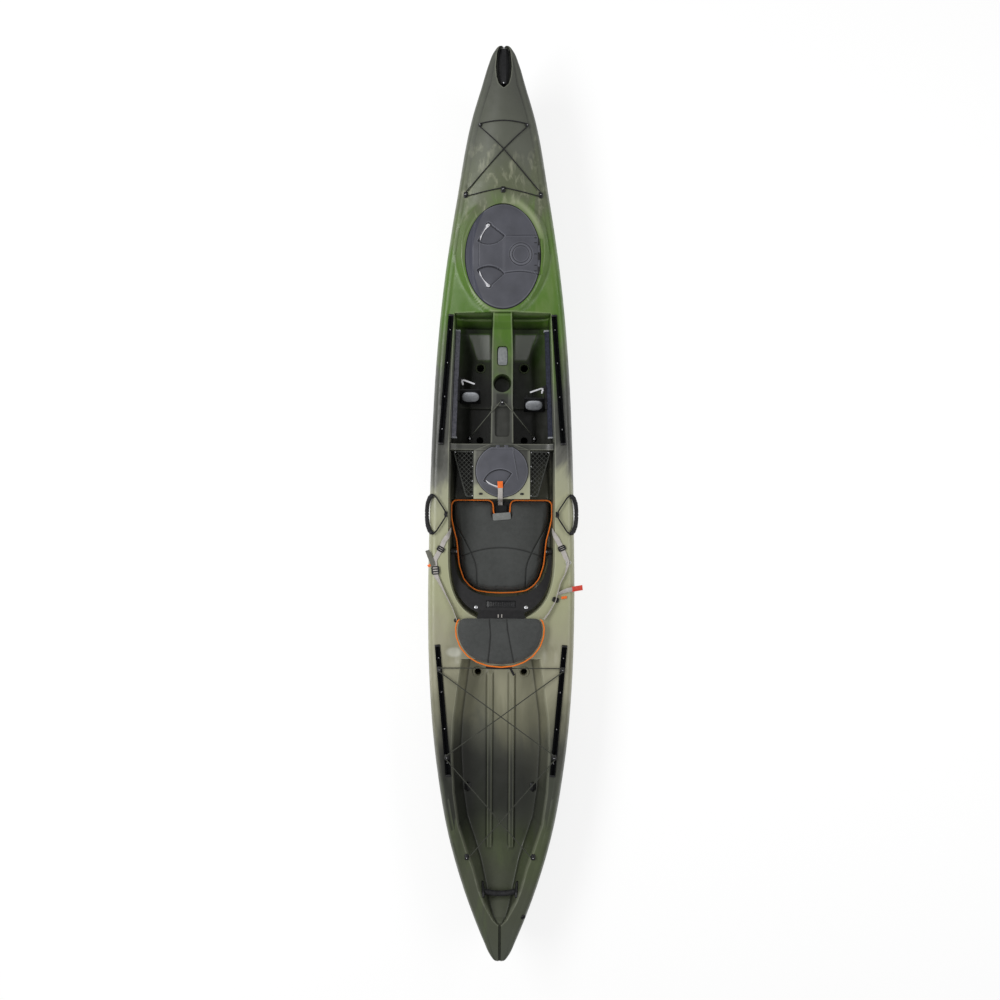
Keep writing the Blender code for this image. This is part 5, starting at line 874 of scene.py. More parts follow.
def bow_lid_height(x, y):
    """Dome, boss, hinge plateau, port fold and the two latch dishes of the bow lid."""
    y0 = y - BOW_HATCH[1]
    u = np.hypot(x / BOW_LID_HALF_WIDTH, y0 / BOW_LID_HALF_LENGTH)
    dome = np.interp(u, (0, 0.35, 0.68, 0.9, 0.965, 1), (1, 0.93, 0.66, 0.25, 0.05, 0))
    z = BOW_LID_TOP + BOW_LID_CROWN * dome - 0.0035 * rise(u - 0.97, 0.03) ** 2
    r = np.hypot(x - 0.083, y0 - 0.007)
    z = z + 0.0018 * step(0.0505 - r, 0.003) - 0.0010 * step(0.034 - r, 0.006)
    z = z - 0.0022 * bell(r - 0.0385, 0.0026) - 0.0020 * bell(r - 0.0515, 0.0024)
    aft_fold = 1.0815 + 0.010 * np.sin(rise(x, 0.165) * math.pi) - 0.03 * rise(x - 0.1)
    plateau = step(1.2540 + 0.03 * rise(x) - y, 0.0035) * step(y - aft_fold - 0.002, 0.003)
    z = z + 0.0018 * step(x - 0.004, 0.02) * plateau
    z = z - 0.0020 * bell(y - aft_fold, 0.0026) * step(x - 0.004, 0.01)
    z = z - 0.0010 * bell(y - 1.2560 - 0.03 * x, 0.0024) * step(x - 0.045, 0.03)
    band = step(-0.1405 + 0.30 * rise(np.abs(y0) - 0.06) ** 1.35 - x, 0.0035)
    z = z - 0.0022 * band * step(0.150 - np.abs(y0), 0.05)
    z = z - 0.0011 * bell(x + 0.1120, 0.0024) * step(0.052 - np.abs(y0 - 0.004), 0.006)
    for latch in LATCHES[:2]:
        z = z - (z - BOW_DISH_FLOOR) * dish(x, y, latch, BOW_LATCH_REACH)
    return z


def mid_lid_height(x, y):
    """Dome, fold and latch dish of the mid lid."""
    u = np.hypot(x, y - MID_HATCH[1]) / MID_LID_RADIUS
    dome = np.interp(u, (0, 0.5, 0.84, 0.96, 1), (1, 0.8, 0.3, 0, 0))
    z = MID_LID_TOP + MID_LID_CROWN * dome - 0.0035 * rise(u - 0.96, 0.04) ** 2
    z = z - 0.0022 * step(x - 0.0550 - 0.18 * rise(0.262 - y), 0.003) * step(y - 0.135, 0.06)
    z = z - 0.0008 * bell(y - 0.2745, 0.0012) * step(0.052 - np.abs(x), 0.004)
    return z - (z - MID_DISH_FLOOR) * dish(x, y, LATCHES[2], MID_LATCH_REACH)


def shaded_lid():
    """Copy of the lid finish with painted shade on the port band where the lid turns down: darker and bluer there,
    standing for a dark reflection.
    """
    made = LID_GREY.copy()
    made.name = "bow_lid_polypropylene"
    tree, socket, tone = painted(made)
    place = add(tree, "SeparateXYZ", {0: add(tree, "TexCoord").outputs["Object"]}).outputs
    bowed = worked(tree, "POWER", worked(tree, "SUBTRACT", place["Y"], BOW_HATCH[1]), 2.0)
    line = worked(tree, "MULTIPLY_ADD", bowed, -1.25, place["X"])
    tree.links.new(blended(tree, spread(tree, line, -0.1385, -0.1425), tone, "#3c3e4b"), socket)
    return made


def tube_ring(name, profile, centre, lengthwise, finish):
    """Closed ring: a closed profile of radius and place carried round an axis along or across the boat."""
    profile = np.array(profile)
    angle = turns(28)
    around = (np.outer(np.cos(angle), profile[:, 0]), np.outer(np.sin(angle), profile[:, 0]))
    grid = np.stack((*around, np.tile(profile[:, 1], (len(angle), 1))), axis=-1)
    grid = grid[..., (1, 2, 0) if lengthwise else (2, 0, 1)]
    return skinned(name, np.concatenate((grid, grid[:1])) + np.array(centre), finish, capped=False)


def knuckles(name, pin, lengthwise, pitch, finish):
    """The lid's two hinge knuckles, each a short barrel with a web that runs into the lid."""
    half, outer, eased = pitch / 2 - 0.0005, KNUCKLE_RADIUS, KNUCKLE_RADIUS - 0.0004
    barrel = (
        (KNUCKLE_BORE, -half), (eased, -half), (outer, -half + 0.0004), (outer, half - 0.0004), (eased, half),
        (KNUCKLE_BORE, half),
    )
    web_levels = ((pin[2] - 0.0035, 0.0003), (pin[2] - 0.0032, 0), (pin[2] + 0.0024, 0), (pin[2] + 0.0028, 0.0004))
    pieces = []
    for place in (-pitch, pitch):
        centre = np.array(pin) + ((0, place, 0) if lengthwise else (place, 0, 0))
        pieces.append(tube_ring(name, barrel, centre, lengthwise, finish))
        # across the pin first, then along it
        sizes, way = (KNUCKLE_REACH / 2, half), (-0.0029 - KNUCKLE_REACH / 2, place)
        sizes, way = (sizes, way) if lengthwise else (sizes[::-1], way[::-1])
        pieces.append(
            prism(name, outline_round(*sizes, 14, 40, (pin[0] + way[0], pin[1] + way[1])), web_levels, finish)
        )
    return pieces


for name, halves, centre, chord, top, height, pin, pitch, body, finish in (
    ("bow_hatch_lid", (BOW_LID_HALF_WIDTH, BOW_LID_HALF_LENGTH), BOW_HATCH, ((1, 0), BOW_PIN[0] - CHORD_GAP),
     BOW_LID_TOP, bow_lid_height, BOW_PIN, 0.033, "bow_lid", shaded_lid()),
    ("mid_hatch_lid", (MID_LID_RADIUS, MID_LID_RADIUS), MID_HATCH, ((0, 1), MID_PIN[1] - CHORD_GAP - MID_HATCH[1]),
     MID_LID_TOP, mid_lid_height, MID_PIN, 0.0204, "mid_lid", LID_GREY),
):
    dome = lid_piece(name + "_dome", *halves, centre, chord, top, height, finish)
    lid = joined(name, [dome, *knuckles(name + "_knuckle", pin, body == "bow_lid", pitch, finish)])
    lid.data.set_sharp_from_angle(angle=math.radians(50))
    marked(lid, height, 0.0042, 0.0008)
    placed(lid, body, "lid_polymer", name)

for name, pivot, angle, _, floor, body, bend, length, below, blade_angle, blade_half, blade_offset in LATCHES:
    lever = crescent(name + "_lever", pivot, angle, length, floor + 0.0004, bend)
    placed(lever, body, "grey_nylon", name)
    head = ((0, 0.0060), (0.0016, 0.0058), (0.0030, 0.0064), (0.0036, 0.0058), (0.0036, 0.0050), (0, 0.0050))
    placed(turned(name + "_screw", head, (*pivot, floor), STAINLESS, steps=24), body, "stainless_steel")
    blade = outline_round(blade_half, 0.0062, 5, 40, (blade_offset, 0))
    cam = prism(
        name + "_cam", blade,
        [(below + z, out) for z, out in ((-0.0056, 0.0006), (-0.0050, 0), (-0.0020, 0), (-0.0015, 0.0006))],
        PALE_ACETAL,
    )
    moved(cam, turned_to(pivot, blade_angle))
    stem = ((0, below - 0.004), (0.0039, below - 0.004), (0.0039, floor + 0.002), (0, floor + 0.002))
    stem = turned(name + "_stem", stem, (*pivot, 0), PALE_ACETAL, steps=24)
    placed(joined(name + "_cam", [cam, stem]), body, "grey_nylon")

# Small dark slots where the hinge's spring tabs come through the lid's edge
slots = []
for y in (1.248, 1.225, 1.173, 1.121, 1.095):
    levels = ((BOW_LID_TOP + 0.0004, 0), (float(bow_lid_height(0.150, y)) + 0.0007, 0))
    slots.append(prism("lid_slot", outline_round(0.0062, 0.0016, 6, 24, (0.1500, y)), levels, BLACK_NYLON))
placed(joined("bow_lid_slots", slots), "bow_lid", "black_nylon")

dressed(SEAL_RUBBER, "bow_hatch_gasket", "mid_hatch_gasket")
dressed(HINGE_NYLON, "mid_hatch_hinge")
# The bow hinge is black inside the lid's oval, and beyond it the leaf is moulded in the colour of the hull
leaf_finish = HULL_FINISH.copy()
leaf_finish.name = "bow_hinge_nylon"
tree, socket, tone = painted(leaf_finish)
LEAF_HALF_X, LEAF_HALF_Y = 0.1780, 0.2470
oval = add(tree, "Mapping", {
    "Vector": add(tree, "TexCoord").outputs["Object"], "Location": (0, -BOW_HATCH[1] / LEAF_HALF_Y, 0),
    "Scale": (1 / LEAF_HALF_X, 1 / LEAF_HALF_Y, 0),
})
reach = add(tree, "VectorMath", {0: oval.outputs[0]}, operation="LENGTH").outputs["Value"]
tree.links.new(blended(tree, spread(tree, reach, 1.0, 0.996), tone, "#0d0d0e"), socket)
dressed(leaf_finish, "bow_hatch_hinge")

# Handles: the bow handle is a nylon strap moulded over its recess, the stern one a rubber-covered bar in two black
# brackets. Each side grip is a ribbed rubber sleeve on a cord that runs through a pad eye screwed to the deck.
deck_tree = BVHTree.FromPolygons([v.co for v in hull.data.vertices], [p.vertices for p in hull.data.polygons])
CIRCLE = np.column_stack((np.cos(turns(14)), np.sin(turns(14))))


def on_deck(x, y):
    """Height of the hull's surface and its normal under a point."""
    place, normal, _, _ = deck_tree.ray_cast(Vector((x, y, 0.6)), Vector((0, 0, -1)))
    return place.z, normal


def units(ways):
    """Rows of three, each made 1 long."""
    return ways / np.linalg.norm(ways, axis=1, keepdims=True)


def run_along(points):
    """Distance of each point of a path from its start."""
    return np.concatenate(((0,), np.cumsum(np.linalg.norm(np.diff(points, axis=0), axis=1))))


def flat(points, z=0):
    """Points in plan, all set at one height."""
    return np.column_stack((points, np.full(len(points), float(z))))


def smooth_path(points, count, rounds, closed=False):
    """Evenly spaced points along a line of points, eased by averaging each with its neighbours, ends kept."""
    points = np.array(points, dtype=float)
    if closed:
        points = np.vstack((points, points[:1]))
    run = run_along(points)
    at = np.linspace(0, run[-1], count + 1 if closed else count)
    path = np.stack([np.interp(at, run, points[:, k]) for k in range(3)], axis=1)
    path = path[:-1] if closed else path
    for _ in range(rounds):
        eased = (np.roll(path, 1, axis=0) + 2 * path + np.roll(path, -1, axis=0)) / 4
        if not closed:
            eased[0], eased[-1] = path[0], path[-1]
        path = eased
    return path


def swept(name, path, section, finish, scale, up=(0, 0, 1), closed=False):
    """Section of across and up points carried along a path; its scale and its up way may change on the way."""
    path, section, scale = (np.asarray(values, dtype=float) for values in (path, section, scale))
    ahead = np.roll(path, -1, axis=0) - np.roll(path, 1, axis=0) if closed else np.gradient(path, axis=0)
    ahead = units(ahead)
    across = units(np.cross(ahead, np.broadcast_to(np.asarray(up, dtype=float), path.shape)))
    face = np.cross(across, ahead)
    scale = np.broadcast_to(scale.reshape(-1, 1) if scale.ndim < 2 else scale, (len(path), 2))
    spread_out = section[None] * scale[:, None]
    grid = path[:, None] + across[:, None] * spread_out[..., :1] + face[:, None] * spread_out[..., 1:]
    if closed:
        grid = np.concatenate((grid, grid[:1]))
    return skinned(name, grid, finish, capped=not closed)


def frame_at(place, normal, ahead=(0, 1, 0)):
    """Matrix that stands a piece on a surface, its Y kept along the boat."""
    up = Vector(normal).normalized()
    across = Vector(ahead).cross(up).normalized()
    return Matrix.Translation(place) @ Matrix((across, up.cross(across), up)).transposed().to_4x4()


def on_hull(made, x, y, lift=0.0, ahead=(0, 1, 0)):
    """Stands a piece on the hull's surface at a point."""
    z, normal = on_deck(x, y)
    return moved(made, frame_at((x, y, z + lift), normal, ahead))


def screw(name, place, normal, radius):
    """Pan-head screw: a low dome with a cross-shaped drive sunk in it."""
    rings = []
    for share, z in ((0.06, 0.0021), (0.30, 0.0021), (0.55, 0.0020), (0.85, 0.0014), (1, 0.0006), (1, -0.0004)):
        x, y = radius * share * np.cos(turns(32)), radius * share * np.sin(turns(32))
        cross = (np.minimum(np.abs(x), np.abs(y)) < radius * 0.13) & (share < 0.6)
        rings.append(np.column_stack((x, y, z - 0.0012 * cross)))
    return moved(skinned(name, rings, STAINLESS), frame_at(place, normal))


def fastened(name, spots, radius):
    """Several screws in the boat as one piece."""
    placed(joined(name, [screw(name, place, normal, radius) for place, normal in spots]), "boat", "stainless_steel")


def taut_cord(name, path, finish, radius, body, node, section=CIRCLE, closed=False):
    """Cord along a route."""
    made = placed(swept(name, path, section, finish, radius, closed=closed), body, "bungee_cord", node)


def woven(name, colour, shade, pitch, bump, sheen, turn=0):
    """Woven or knitted goods: two sets of yarns of a real pitch cross, dark in the gaps and raised on the crowns."""
    made, tree, shader, where = started(name, colour, 0.85)
    yarns = add(tree, "Mapping", {"Vector": where, "Rotation": (0, 0, turn)}).outputs[0]
    wave = {"Vector": yarns, "Scale": 0.314159 / pitch, "Distortion": 0.6, "Detail": 1.0, "Detail Scale": 2.0}
    waves = [add(tree, "TexWave", wave, bands_direction=way).outputs["Fac"] for way in "XY"]
    weave = worked(tree, "MULTIPLY", *waves)
    level = worked(tree, "ADD", weave, cloud(tree, where, 60.0, 5.0))
    tree.links.new(blended(tree, spread(tree, level, 0.3, 1.1), shade, colour), shader.inputs["Base Color"])
    raised = add(tree, "Bump", {"Height": weave, "Strength": bump, "Distance": pitch * 0.3})
    tree.links.new(raised.outputs["Normal"], shader.inputs["Normal"])
    shader.inputs["Sheen Weight"].default_value = sheen
    return made


dressed(BLACK_NYLON, "bow_handle")
nose = LENGTH / 2
LEAF = np.array(
    ((0.016, -0.004), (0.0235, -0.03), (0.0285, -0.09), (0.0245, -0.14), (0.0150, -0.175), (0.0060, -0.190))
)
leaf = np.vstack((LEAF, LEAF[::-1] * (-1, 1))) + (0, nose)
leaf = smooth_path(flat(leaf), 64, 2, True)[:, :2]
liner = prism("bow_recess_liner", leaf, ((0, 0.0006), (0.0002, 0), (0.0016, 0), (0.0019, 0.0006)), BLACK_NYLON)
for corner in liner.data.vertices:
    corner.co.z += RECESS_FLOOR + (corner.co.y - nose) * 0.02 - 0.0002
placed(liner, "boat", "black_nylon")
fastened(
    "bow_handle_screws", (((0, nose - 0.018, 0.3836), (0, 0.25, 1)), ((0, nose - 0.1745, 0.3748), (0, -0.6, 1))),
    0.0036,
)

# The stern bar sags between its brackets, which lie on the side walls of the tank well
STERN_REACH, STERN_STEPS = 0.0765, 120
grip_end = on_deck(STERN_REACH, -1.824)[0] + 0.0075
x = np.linspace(-STERN_REACH, STERN_REACH, STERN_STEPS)
sag = (x / STERN_REACH) ** 2
ribs = 0.0122 + 0.0007 * np.cos(np.arange(STERN_STEPS) * 2 * math.pi / 5)
ribs[:4] = ribs[-4:] = 0.0108
bar = np.column_stack((x, -1.841 + 0.017 * sag, grip_end - 0.014 * (1 - sag)))
placed(swept("stern_handle_sleeve", bar, CIRCLE, SEAL_RUBBER, ribs), "boat", "seal_rubber", "stern_handle")
brackets = []
for _, side in SIDES:
    places = ((0.0835, -1.786), (0.0825, -1.802), (0.0805, -1.822), (0.0785, -1.842))
    path = smooth_path([(side * x, y, on_deck(side * x, y)[0] + 0.0040) for x, y in places], 40, 3)
    radius = np.interp(np.linspace(0, 1, 40), (0, 0.08, 0.3, 0.75, 1), (0.0040, 0.0082, 0.0092, 0.0112, 0.0070))
    brackets.append(swept("stern_bracket", path, CIRCLE, BLACK_NYLON, radius))
placed(joined("stern_handle_brackets", brackets), "boat", "black_nylon")

# Side handles: inset off the beam, place along the grip and height, from its forward end to its middle
CORD_BLACK = woven("black_cord", "#1d1d1f", "#0b0b0c", 0.0016, 0.6, 0.1)
GRIP_HALF = ((-0.0265, 0.091, 0.3080), (-0.0135, 0.079, 0.3010), (-0.0015, 0.052, 0.2800), (0.0030, 0.020, 0.2640))
GRIP_LINE = np.array(GRIP_HALF + tuple((x, -y, z) for x, y, z in GRIP_HALF[::-1]))
for side_name, side in SIDES:
    low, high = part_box(f"side_grip_{side_name}")
    middle_y = (low.y + high.y) / 2
    grip = (GRIP_LINE + (BEAM / 2, 0, 0)) * (side, 1, 1) + (0, middle_y, 0)
    share = np.linspace(0, 1, 180)
    radius = np.interp(share, (0, 0.012, 0.05, 0.95, 0.988, 1), (0.0062, 0.0095, 0.0102, 0.0102, 0.0095, 0.0062))
    radius -= 0.0021 * (np.abs(np.sin(share * math.pi * 15)) < 0.34) * ((share > 0.05) & (share < 0.95))
    sleeve = swept(
        f"side_grip_sleeve_{side_name}", smooth_path(grip, 180, 14), CIRCLE, SEAL_RUBBER, radius, (side, 0, 0.6),
    )
    placed(sleeve, f"handle_{side_name}", "black_nylon", f"side_grip_{side_name}")
    dressed(BLACK_NYLON, f"side_eye_{side_name}")
    low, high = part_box(f"side_eye_{side_name}")
    hole = Vector(((low.x + high.x) / 2, middle_y, low.z + 0.0120))
    steps = ((0.044, 0.078, -0.0010), (0.010, 0.026, 0.0005), (0, 0.009, 0))
    legs = [
        [end + (0, sign * 0.004, 0.0006)] + [hole + Vector((side * x, sign * y, z)) for x, y, z in steps]
        for end, sign in ((grip[0], 1), (grip[-1], -1))
    ]
    path = smooth_path(legs[0] + legs[1][::-1], 90, 3)
    taut_cord(
        f"side_handle_cord_{side_name}", path, CORD_BLACK, 0.0034, f"handle_{side_name}", f"side_cord_{side_name}",
    )
    spots = [((hole[0], hole[1] + off, low.z + 0.0038), (0, 0, 1)) for off in (-0.0095, 0.0095)]
    fastened(f"side_eye_screws_{side_name}", spots, 0.0030)

# The bow hatch's seal shows as a black line in the gap round the lid; the black line also stands in as painted shade in
# that gap
oval = np.column_stack((0.1753 * np.cos(turns(160)), 0.2434 * np.sin(turns(160)) + BOW_HATCH[1]))
lip = swept("bow_seal_lip", flat(oval, 0.3572), CIRCLE, SEAL_RUBBER, 0.0017, closed=True)
placed(lip, "boat", "seal_rubber")

# Gear rails: four T-slot aluminium extrusions in slots in the deck, screwed down along the slot and capped at the ends.
BLACK_ANODISED = moulded("black_anodised_aluminium", "#1c1d1f", "#121214", 120.0, 0.34, 0.46, 2500.0, 0.05, 1.0)
RAIL_SCREWS = {"front": (0.115, 0.37, 0.63, 0.88), "rear": (0.10, 0.36, 0.64, 0.90)}


def end_caps(node, half_x, half_y, past_end, levels, finish):
    """Rounded caps on both ends of a straight rail."""
    half, place = bar_place(node)
    caps = []
    for way in (-1, 1):
        cap = prism(node + "_cap", outline_round(half_x, half_y, 8, 40), levels, finish)
        caps.append(moved(cap, place @ Matrix.Translation((0, way * (half[1] + past_end), 0))))
    return caps


caps = []
for node in RAIL_NAMES:
    dressed(BLACK_ANODISED, node)
    half, place = bar_place(node)
    shares = RAIL_SCREWS[node.split("_")[2]]
    spots = [place @ Vector((0, half[1] * (1 - 2 * share), -half[2] + 0.0036)) for share in shares]
    fastened(node + "_screws", [(spot, place.col[2].xyz) for spot in spots], 0.0036)
    levels = ((-half[2] + 0.001, 0), (half[2] + 0.0004, 0), (half[2] + 0.0012, 0.0009))
    caps += end_caps(node, half[0] + 0.0003, 0.0045, -0.0047, levels, BLACK_NYLON)
placed(joined("gear_rail_caps", caps), "boat", "black_nylon")

# Foot braces: an anodised aluminium rail along each footwell wall, with a black carriage that slides on it. The
# carriage carries a rubber-faced pedal, and a pale sprung trigger that lifts its tooth out of the rack.
GREY_ANODISED = moulded("grey_anodised_aluminium", "#94949f", "#797982", 120.0, 0.44, 0.56, 2500.0, 0.05, 1.0)
# the right rail's copy is darker and bluer than the left one's: painted shade on the right rail
SHADED_ANODISED = moulded("shaded_anodised_aluminium", "#545769", "#434552", 120.0, 0.44, 0.56, 2500.0, 0.05, 1.0)
PALE_RUBBER = moulded("pale_rubber", "#b0b3b8", "#9c9fa5", 70.0, 0.60, 0.74, 1200.0, 0.10)
PAD_HALF_X, PAD_HALF_Z, PAD_LEAN = 0.0410, 0.0400, -25
# Share of the full outline and place through the pad's thickness, from its face round to its back
PAD_RINGS = (
    (0.02, 0.0062), (0.35, 0.0062), (0.6, 0.0058), (0.78, 0.0048), (0.90, 0.0030), (0.97, 0.0008), (1, -0.0018),
    (1, -0.0050), (0.97, -0.0062), (0.5, -0.0062), (0.02, -0.0062),
)
TRIGGER_LINE = np.array((
    (0.1890, 0.5850, 0.2262), (0.1905, 0.5960, 0.2268), (0.1965, 0.6060, 0.2276), (0.1850, 0.6090, 0.2278),
    (0.1640, 0.6020, 0.2278), (0.1450, 0.5950, 0.2278), (0.1315, 0.5905, 0.2278),
))
# The photo has the two pedals at different places, and the right trigger a little further out
TRIGGER_SHIFT = {"left": (0, 0, 0), "right": (0.0015, -0.039, 0)}
# the right rail takes the darker copy of the finish, as painted shade
for (side_name, side), anodised in zip(SIDES, (GREY_ANODISED, SHADED_ANODISED)):
    rail, pedal, pad, trigger = (
        f"{kind}_{side_name}"
        for kind in ("foot_rail", "foot_pedal", "pedal_pad", "foot_trigger")
    )
    dressed(anodised, rail)
    dressed(BLACK_NYLON, pedal)
    half, _ = bar_place(rail)
    levels = ((-half[2] - 0.001, 0.0008), (-half[2], 0), (half[2], 0), (half[2] + 0.001, 0.0008))
    caps = end_caps(rail, half[0] + 0.0008, 0.0040, 0.0038, levels, PALE_RUBBER)
    placed(joined(rail + "_end_caps", caps), "boat", "grey_nylon")
    low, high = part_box(pad)
    across, up = np.sign(np.cos(turns(72))), np.sign(np.sin(turns(72)))
    across, up = across * np.abs(np.cos(turns(72))) ** 0.66, up * np.abs(np.sin(turns(72))) ** 0.80
    rows = []
    for share, depth in PAD_RINGS:
        groove = 0.0011 * (depth > 0.003) * (np.cos(up * share * 5 * math.pi) > 0.55)
        rows.append(np.column_stack((across * share * PAD_HALF_X, depth - groove, up * share * PAD_HALF_Z)))
    lean = Matrix.Rotation(math.radians(PAD_LEAN), 4, "X") @ Matrix.Diagonal((1, -1, 1, 1))
    face = moved(skinned(pad + "_face", rows, PALE_RUBBER), Matrix.Translation((low + high) / 2) @ lean)
    placed(face, f"pedal_{side_name}", "grey_nylon", pad)
    arm = smooth_path(TRIGGER_LINE * (side, 1, 1) + TRIGGER_SHIFT[side_name], 60, 3)
    width = np.interp(
        np.linspace(0, 1, 60), (0, 0.1, 0.45, 0.8, 0.97, 1), (0.0034, 0.0050, 0.0042, 0.0040, 0.0042, 0.0022),
    )
    lever = swept(trigger + "_arm", arm, CIRCLE, PALE_ACETAL, np.column_stack((width, np.full(60, 0.0026))))
    placed(lever, f"trigger_{side_name}", "grey_nylon", trigger)

# Seat: a polyethylene pan and a back frame that hinges on two steel pins. Both pads are foam in a charcoal laminated
# knit, sewn through along their seams and bound at the edge with orange piping.
# Pan and frame: charcoal polyethylene with a shallow leather grain
SEAT_SHELL = moulded("seat_polyethylene", "#19181a", "#111012", 50.0, 0.42, 0.56, 600.0, 0.15)
dressed(SEAT_SHELL, "seat_pan", "seat_back_frame")
dressed(STAINLESS, *[f"seat_pivot_pin_{side}" for side, _ in SIDES])


def padding_fabric():
    """Laminated knit over foam: matt charcoal, faintly cloudy where it is rubbed, dark along the stitched seams."""
    made = woven("charcoal_laminated_knit", "#494b4a", "#383a39", 0.0022, 0.35, 0.15, 0.6)
    tree, socket, tone = painted(made)
    rubbed = cloud(tree, add(tree, "TexCoord").outputs["Object"], 9.0, 3.0)
    worn = blended(tree, spread(tree, rubbed, 0.4, 0.7, high=0.35), tone, "#505251")
    seam = add(tree, "Attribute", attribute_name="seam").outputs["Fac"]
    tree.links.new(blended(tree, seam, worn, "#1b1c1c"), socket)
    return made


KNIT = padding_fabric()
# Piping: orange woven polyester tape round a cord
PIPING = woven("orange_piping", "#ff8a1c", "#ea6c0a", 0.0012, 0.4, 0.2)
# Share of the pad's height and inset there, from its foot to its top
PAD_BLOCK = ((0.02, 0.010), (0.10, 0.003), (0.35, 0), (0.66, 0.003), (0.84, 0.010), (0.90, 0.017))
CLOTH_FRAMES, PRESSURE, VOXEL = 16, 4, 0.0045


def from_line(points, line):
    """Distance of each point from a line of points, in plan."""
    best = np.full(len(points), 1e9)
    for start, way in zip(line[:-1], np.diff(line, axis=0)):
        share = np.clip(((points - start) @ way) / max((way**2).sum(), 1e-12), 0, 1)
        best = np.minimum(best, np.linalg.norm(points - start - share[:, None] * way, axis=1))
    return best


def plumped(name, outline, low, high, shrink, cap):
    """Foam pad: a block of the cut shape is remeshed, blown up by the cloth solver under a limit, and subdivided."""
    rings = [flat(inset(outline, shrink + back), low + (high - low) * share) for share, back in PAD_BLOCK]
    pad = skinned(name, rings, capped=False)
    shape = bmesh.new()
    shape.from_mesh(pad.data)
    bmesh.ops.holes_fill(shape, edges=[e for e in shape.edges if e.is_boundary])
    bmesh.ops.recalc_face_normals(shape, faces=shape.faces)
    shape.to_mesh(pad.data)
    shape.free()
    remesh = pad.modifiers.new("remesh", "REMESH")
    remesh.mode, remesh.voxel_size = "VOXEL", VOXEL
    settled(pad)
    start = read(pad)
    cloth = pad.modifiers.new("cloth", "CLOTH")
    cloth.settings.use_pressure = True
    cloth.settings.uniform_pressure_force = PRESSURE
    cloth.settings.effector_weights.gravity = 0
    for number in range(1, CLOTH_FRAMES + 1):
        bpy.context.scene.frame_set(number)
    settled(pad)
    bpy.context.scene.frame_set(1)
    shift = read(pad) - start
    now = start + shift * np.minimum(1, cap / np.maximum(np.linalg.norm(shift, axis=1, keepdims=True), 1e-9))
    now[:, 2] = np.clip(now[:, 2], low, high + 0.002)
    pad.data.vertices.foreach_set("co", now.ravel())
    finer = pad.modifiers.new("finer", "SUBSURF")
    finer.levels = finer.render_levels = 1
    return settled(pad)


def stitched(pad, seams, depth, width, puff, reach):
    """Draws the top of a pad down along its seams, lets it rise between them, and marks the seams for the finish."""
    points, normals = read(pad), read(pad, "normal")
    away = np.min([from_line(points[:, :2], seam) for seam in seams], axis=0)
    top = rise(normals[:, 2] * 1.6)
    points[:, 2] += top * (puff * (0.5 - np.exp(-away / reach)) - depth * bell(away, width))
    pad.data.vertices.foreach_set("co", points.ravel())
    written(pad, "seam", bell(away, width * 0.62) * rise(normals[:, 2] * 2))
    pad.data.materials.clear()
    pad.data.materials.append(KNIT)
    pad.data.shade_smooth()
    return pad


def whole(half):
    """Outline of a pad from its right half, its corners eased."""
    half = np.array(half)
    return smooth_path(flat(np.vstack((half, half[::-1] * (-1, 1)))), 260, 5, True)[:, :2]


cushion_outline = whole((
    (0.040, -0.036), (0.042, 0.020), (0.054, 0.034), (0.140, 0.034), (0.226, 0.034), (0.2385, 0.018), (0.2390, -0.042),
    (0.2300, -0.105), (0.2170, -0.163), (0.2120, -0.2145), (0.2060, -0.279), (0.1840, -0.347), (0.1560, -0.382),
    (0.1210, -0.405), (0.0600, -0.414), (0.0010, -0.416),
))
SIDE_SEAM = np.array((
    (0.262, -0.052), (0.227, -0.074), (0.190, -0.142), (0.153, -0.210), (0.130, -0.262), (0.121, -0.297),
    (0.118, -0.385), (0.118, -0.425),
))
x = np.linspace(-0.23, 0.23, 24)
seams = [SIDE_SEAM * (side, 1) for _, side in SIDES] + [np.column_stack((x, -0.197 - 0.045 * (x / 0.2) ** 2))]
cushion = plumped("seat_cushion_pad", cushion_outline, 0.1168, 0.1705, 0.0045, 0.0070)
placed(stitched(cushion, seams, 0.0052, 0.0034, 0.0035, 0.030), "boat", "seat_fabric", "seat_cushion")
edge = inset(cushion_outline, -0.0012)
edge[:, 0] *= 1 + 0.022 * rise(edge[:, 1] + 0.16, 0.10)
edge[:, 1] = np.minimum(edge[:, 1], 0.0345)
piping = swept("seat_cushion_piping", flat(edge, 0.1575), CIRCLE, PIPING, 0.0033, closed=True)
placed(piping, "boat", "seat_fabric")

pad_outline = whole((
    (0.001, -0.509), (0.120, -0.510), (0.182, -0.514), (0.2030, -0.530), (0.2115, -0.562), (0.2080, -0.605),
    (0.1900, -0.652), (0.1560, -0.694), (0.1120, -0.722), (0.0620, -0.739), (0.0010, -0.745),
))
# the photo has the pad a little narrower on its right side
pad_outline[:, 0] = np.where(pad_outline[:, 0] > 0, pad_outline[:, 0] * 0.95, pad_outline[:, 0])
seams = [np.array(seam) for seam in (
    ((-0.054, -0.500), (-0.0535, -0.525), (-0.048, -0.593), (-0.052, -0.650), (-0.058, -0.705), (-0.062, -0.76)),
    ((0.026, -0.500), (0.0275, -0.525), (0.031, -0.570), (0.045, -0.645), (0.056, -0.700), (0.066, -0.76)),
)]
back_pad = plumped("seat_back_padding", pad_outline, 0.3082, 0.3465, 0.0040, 0.0060)
placed(stitched(back_pad, seams, 0.0050, 0.0034, 0.0030, 0.028), "seat_back", "seat_fabric", "seat_back_pad")
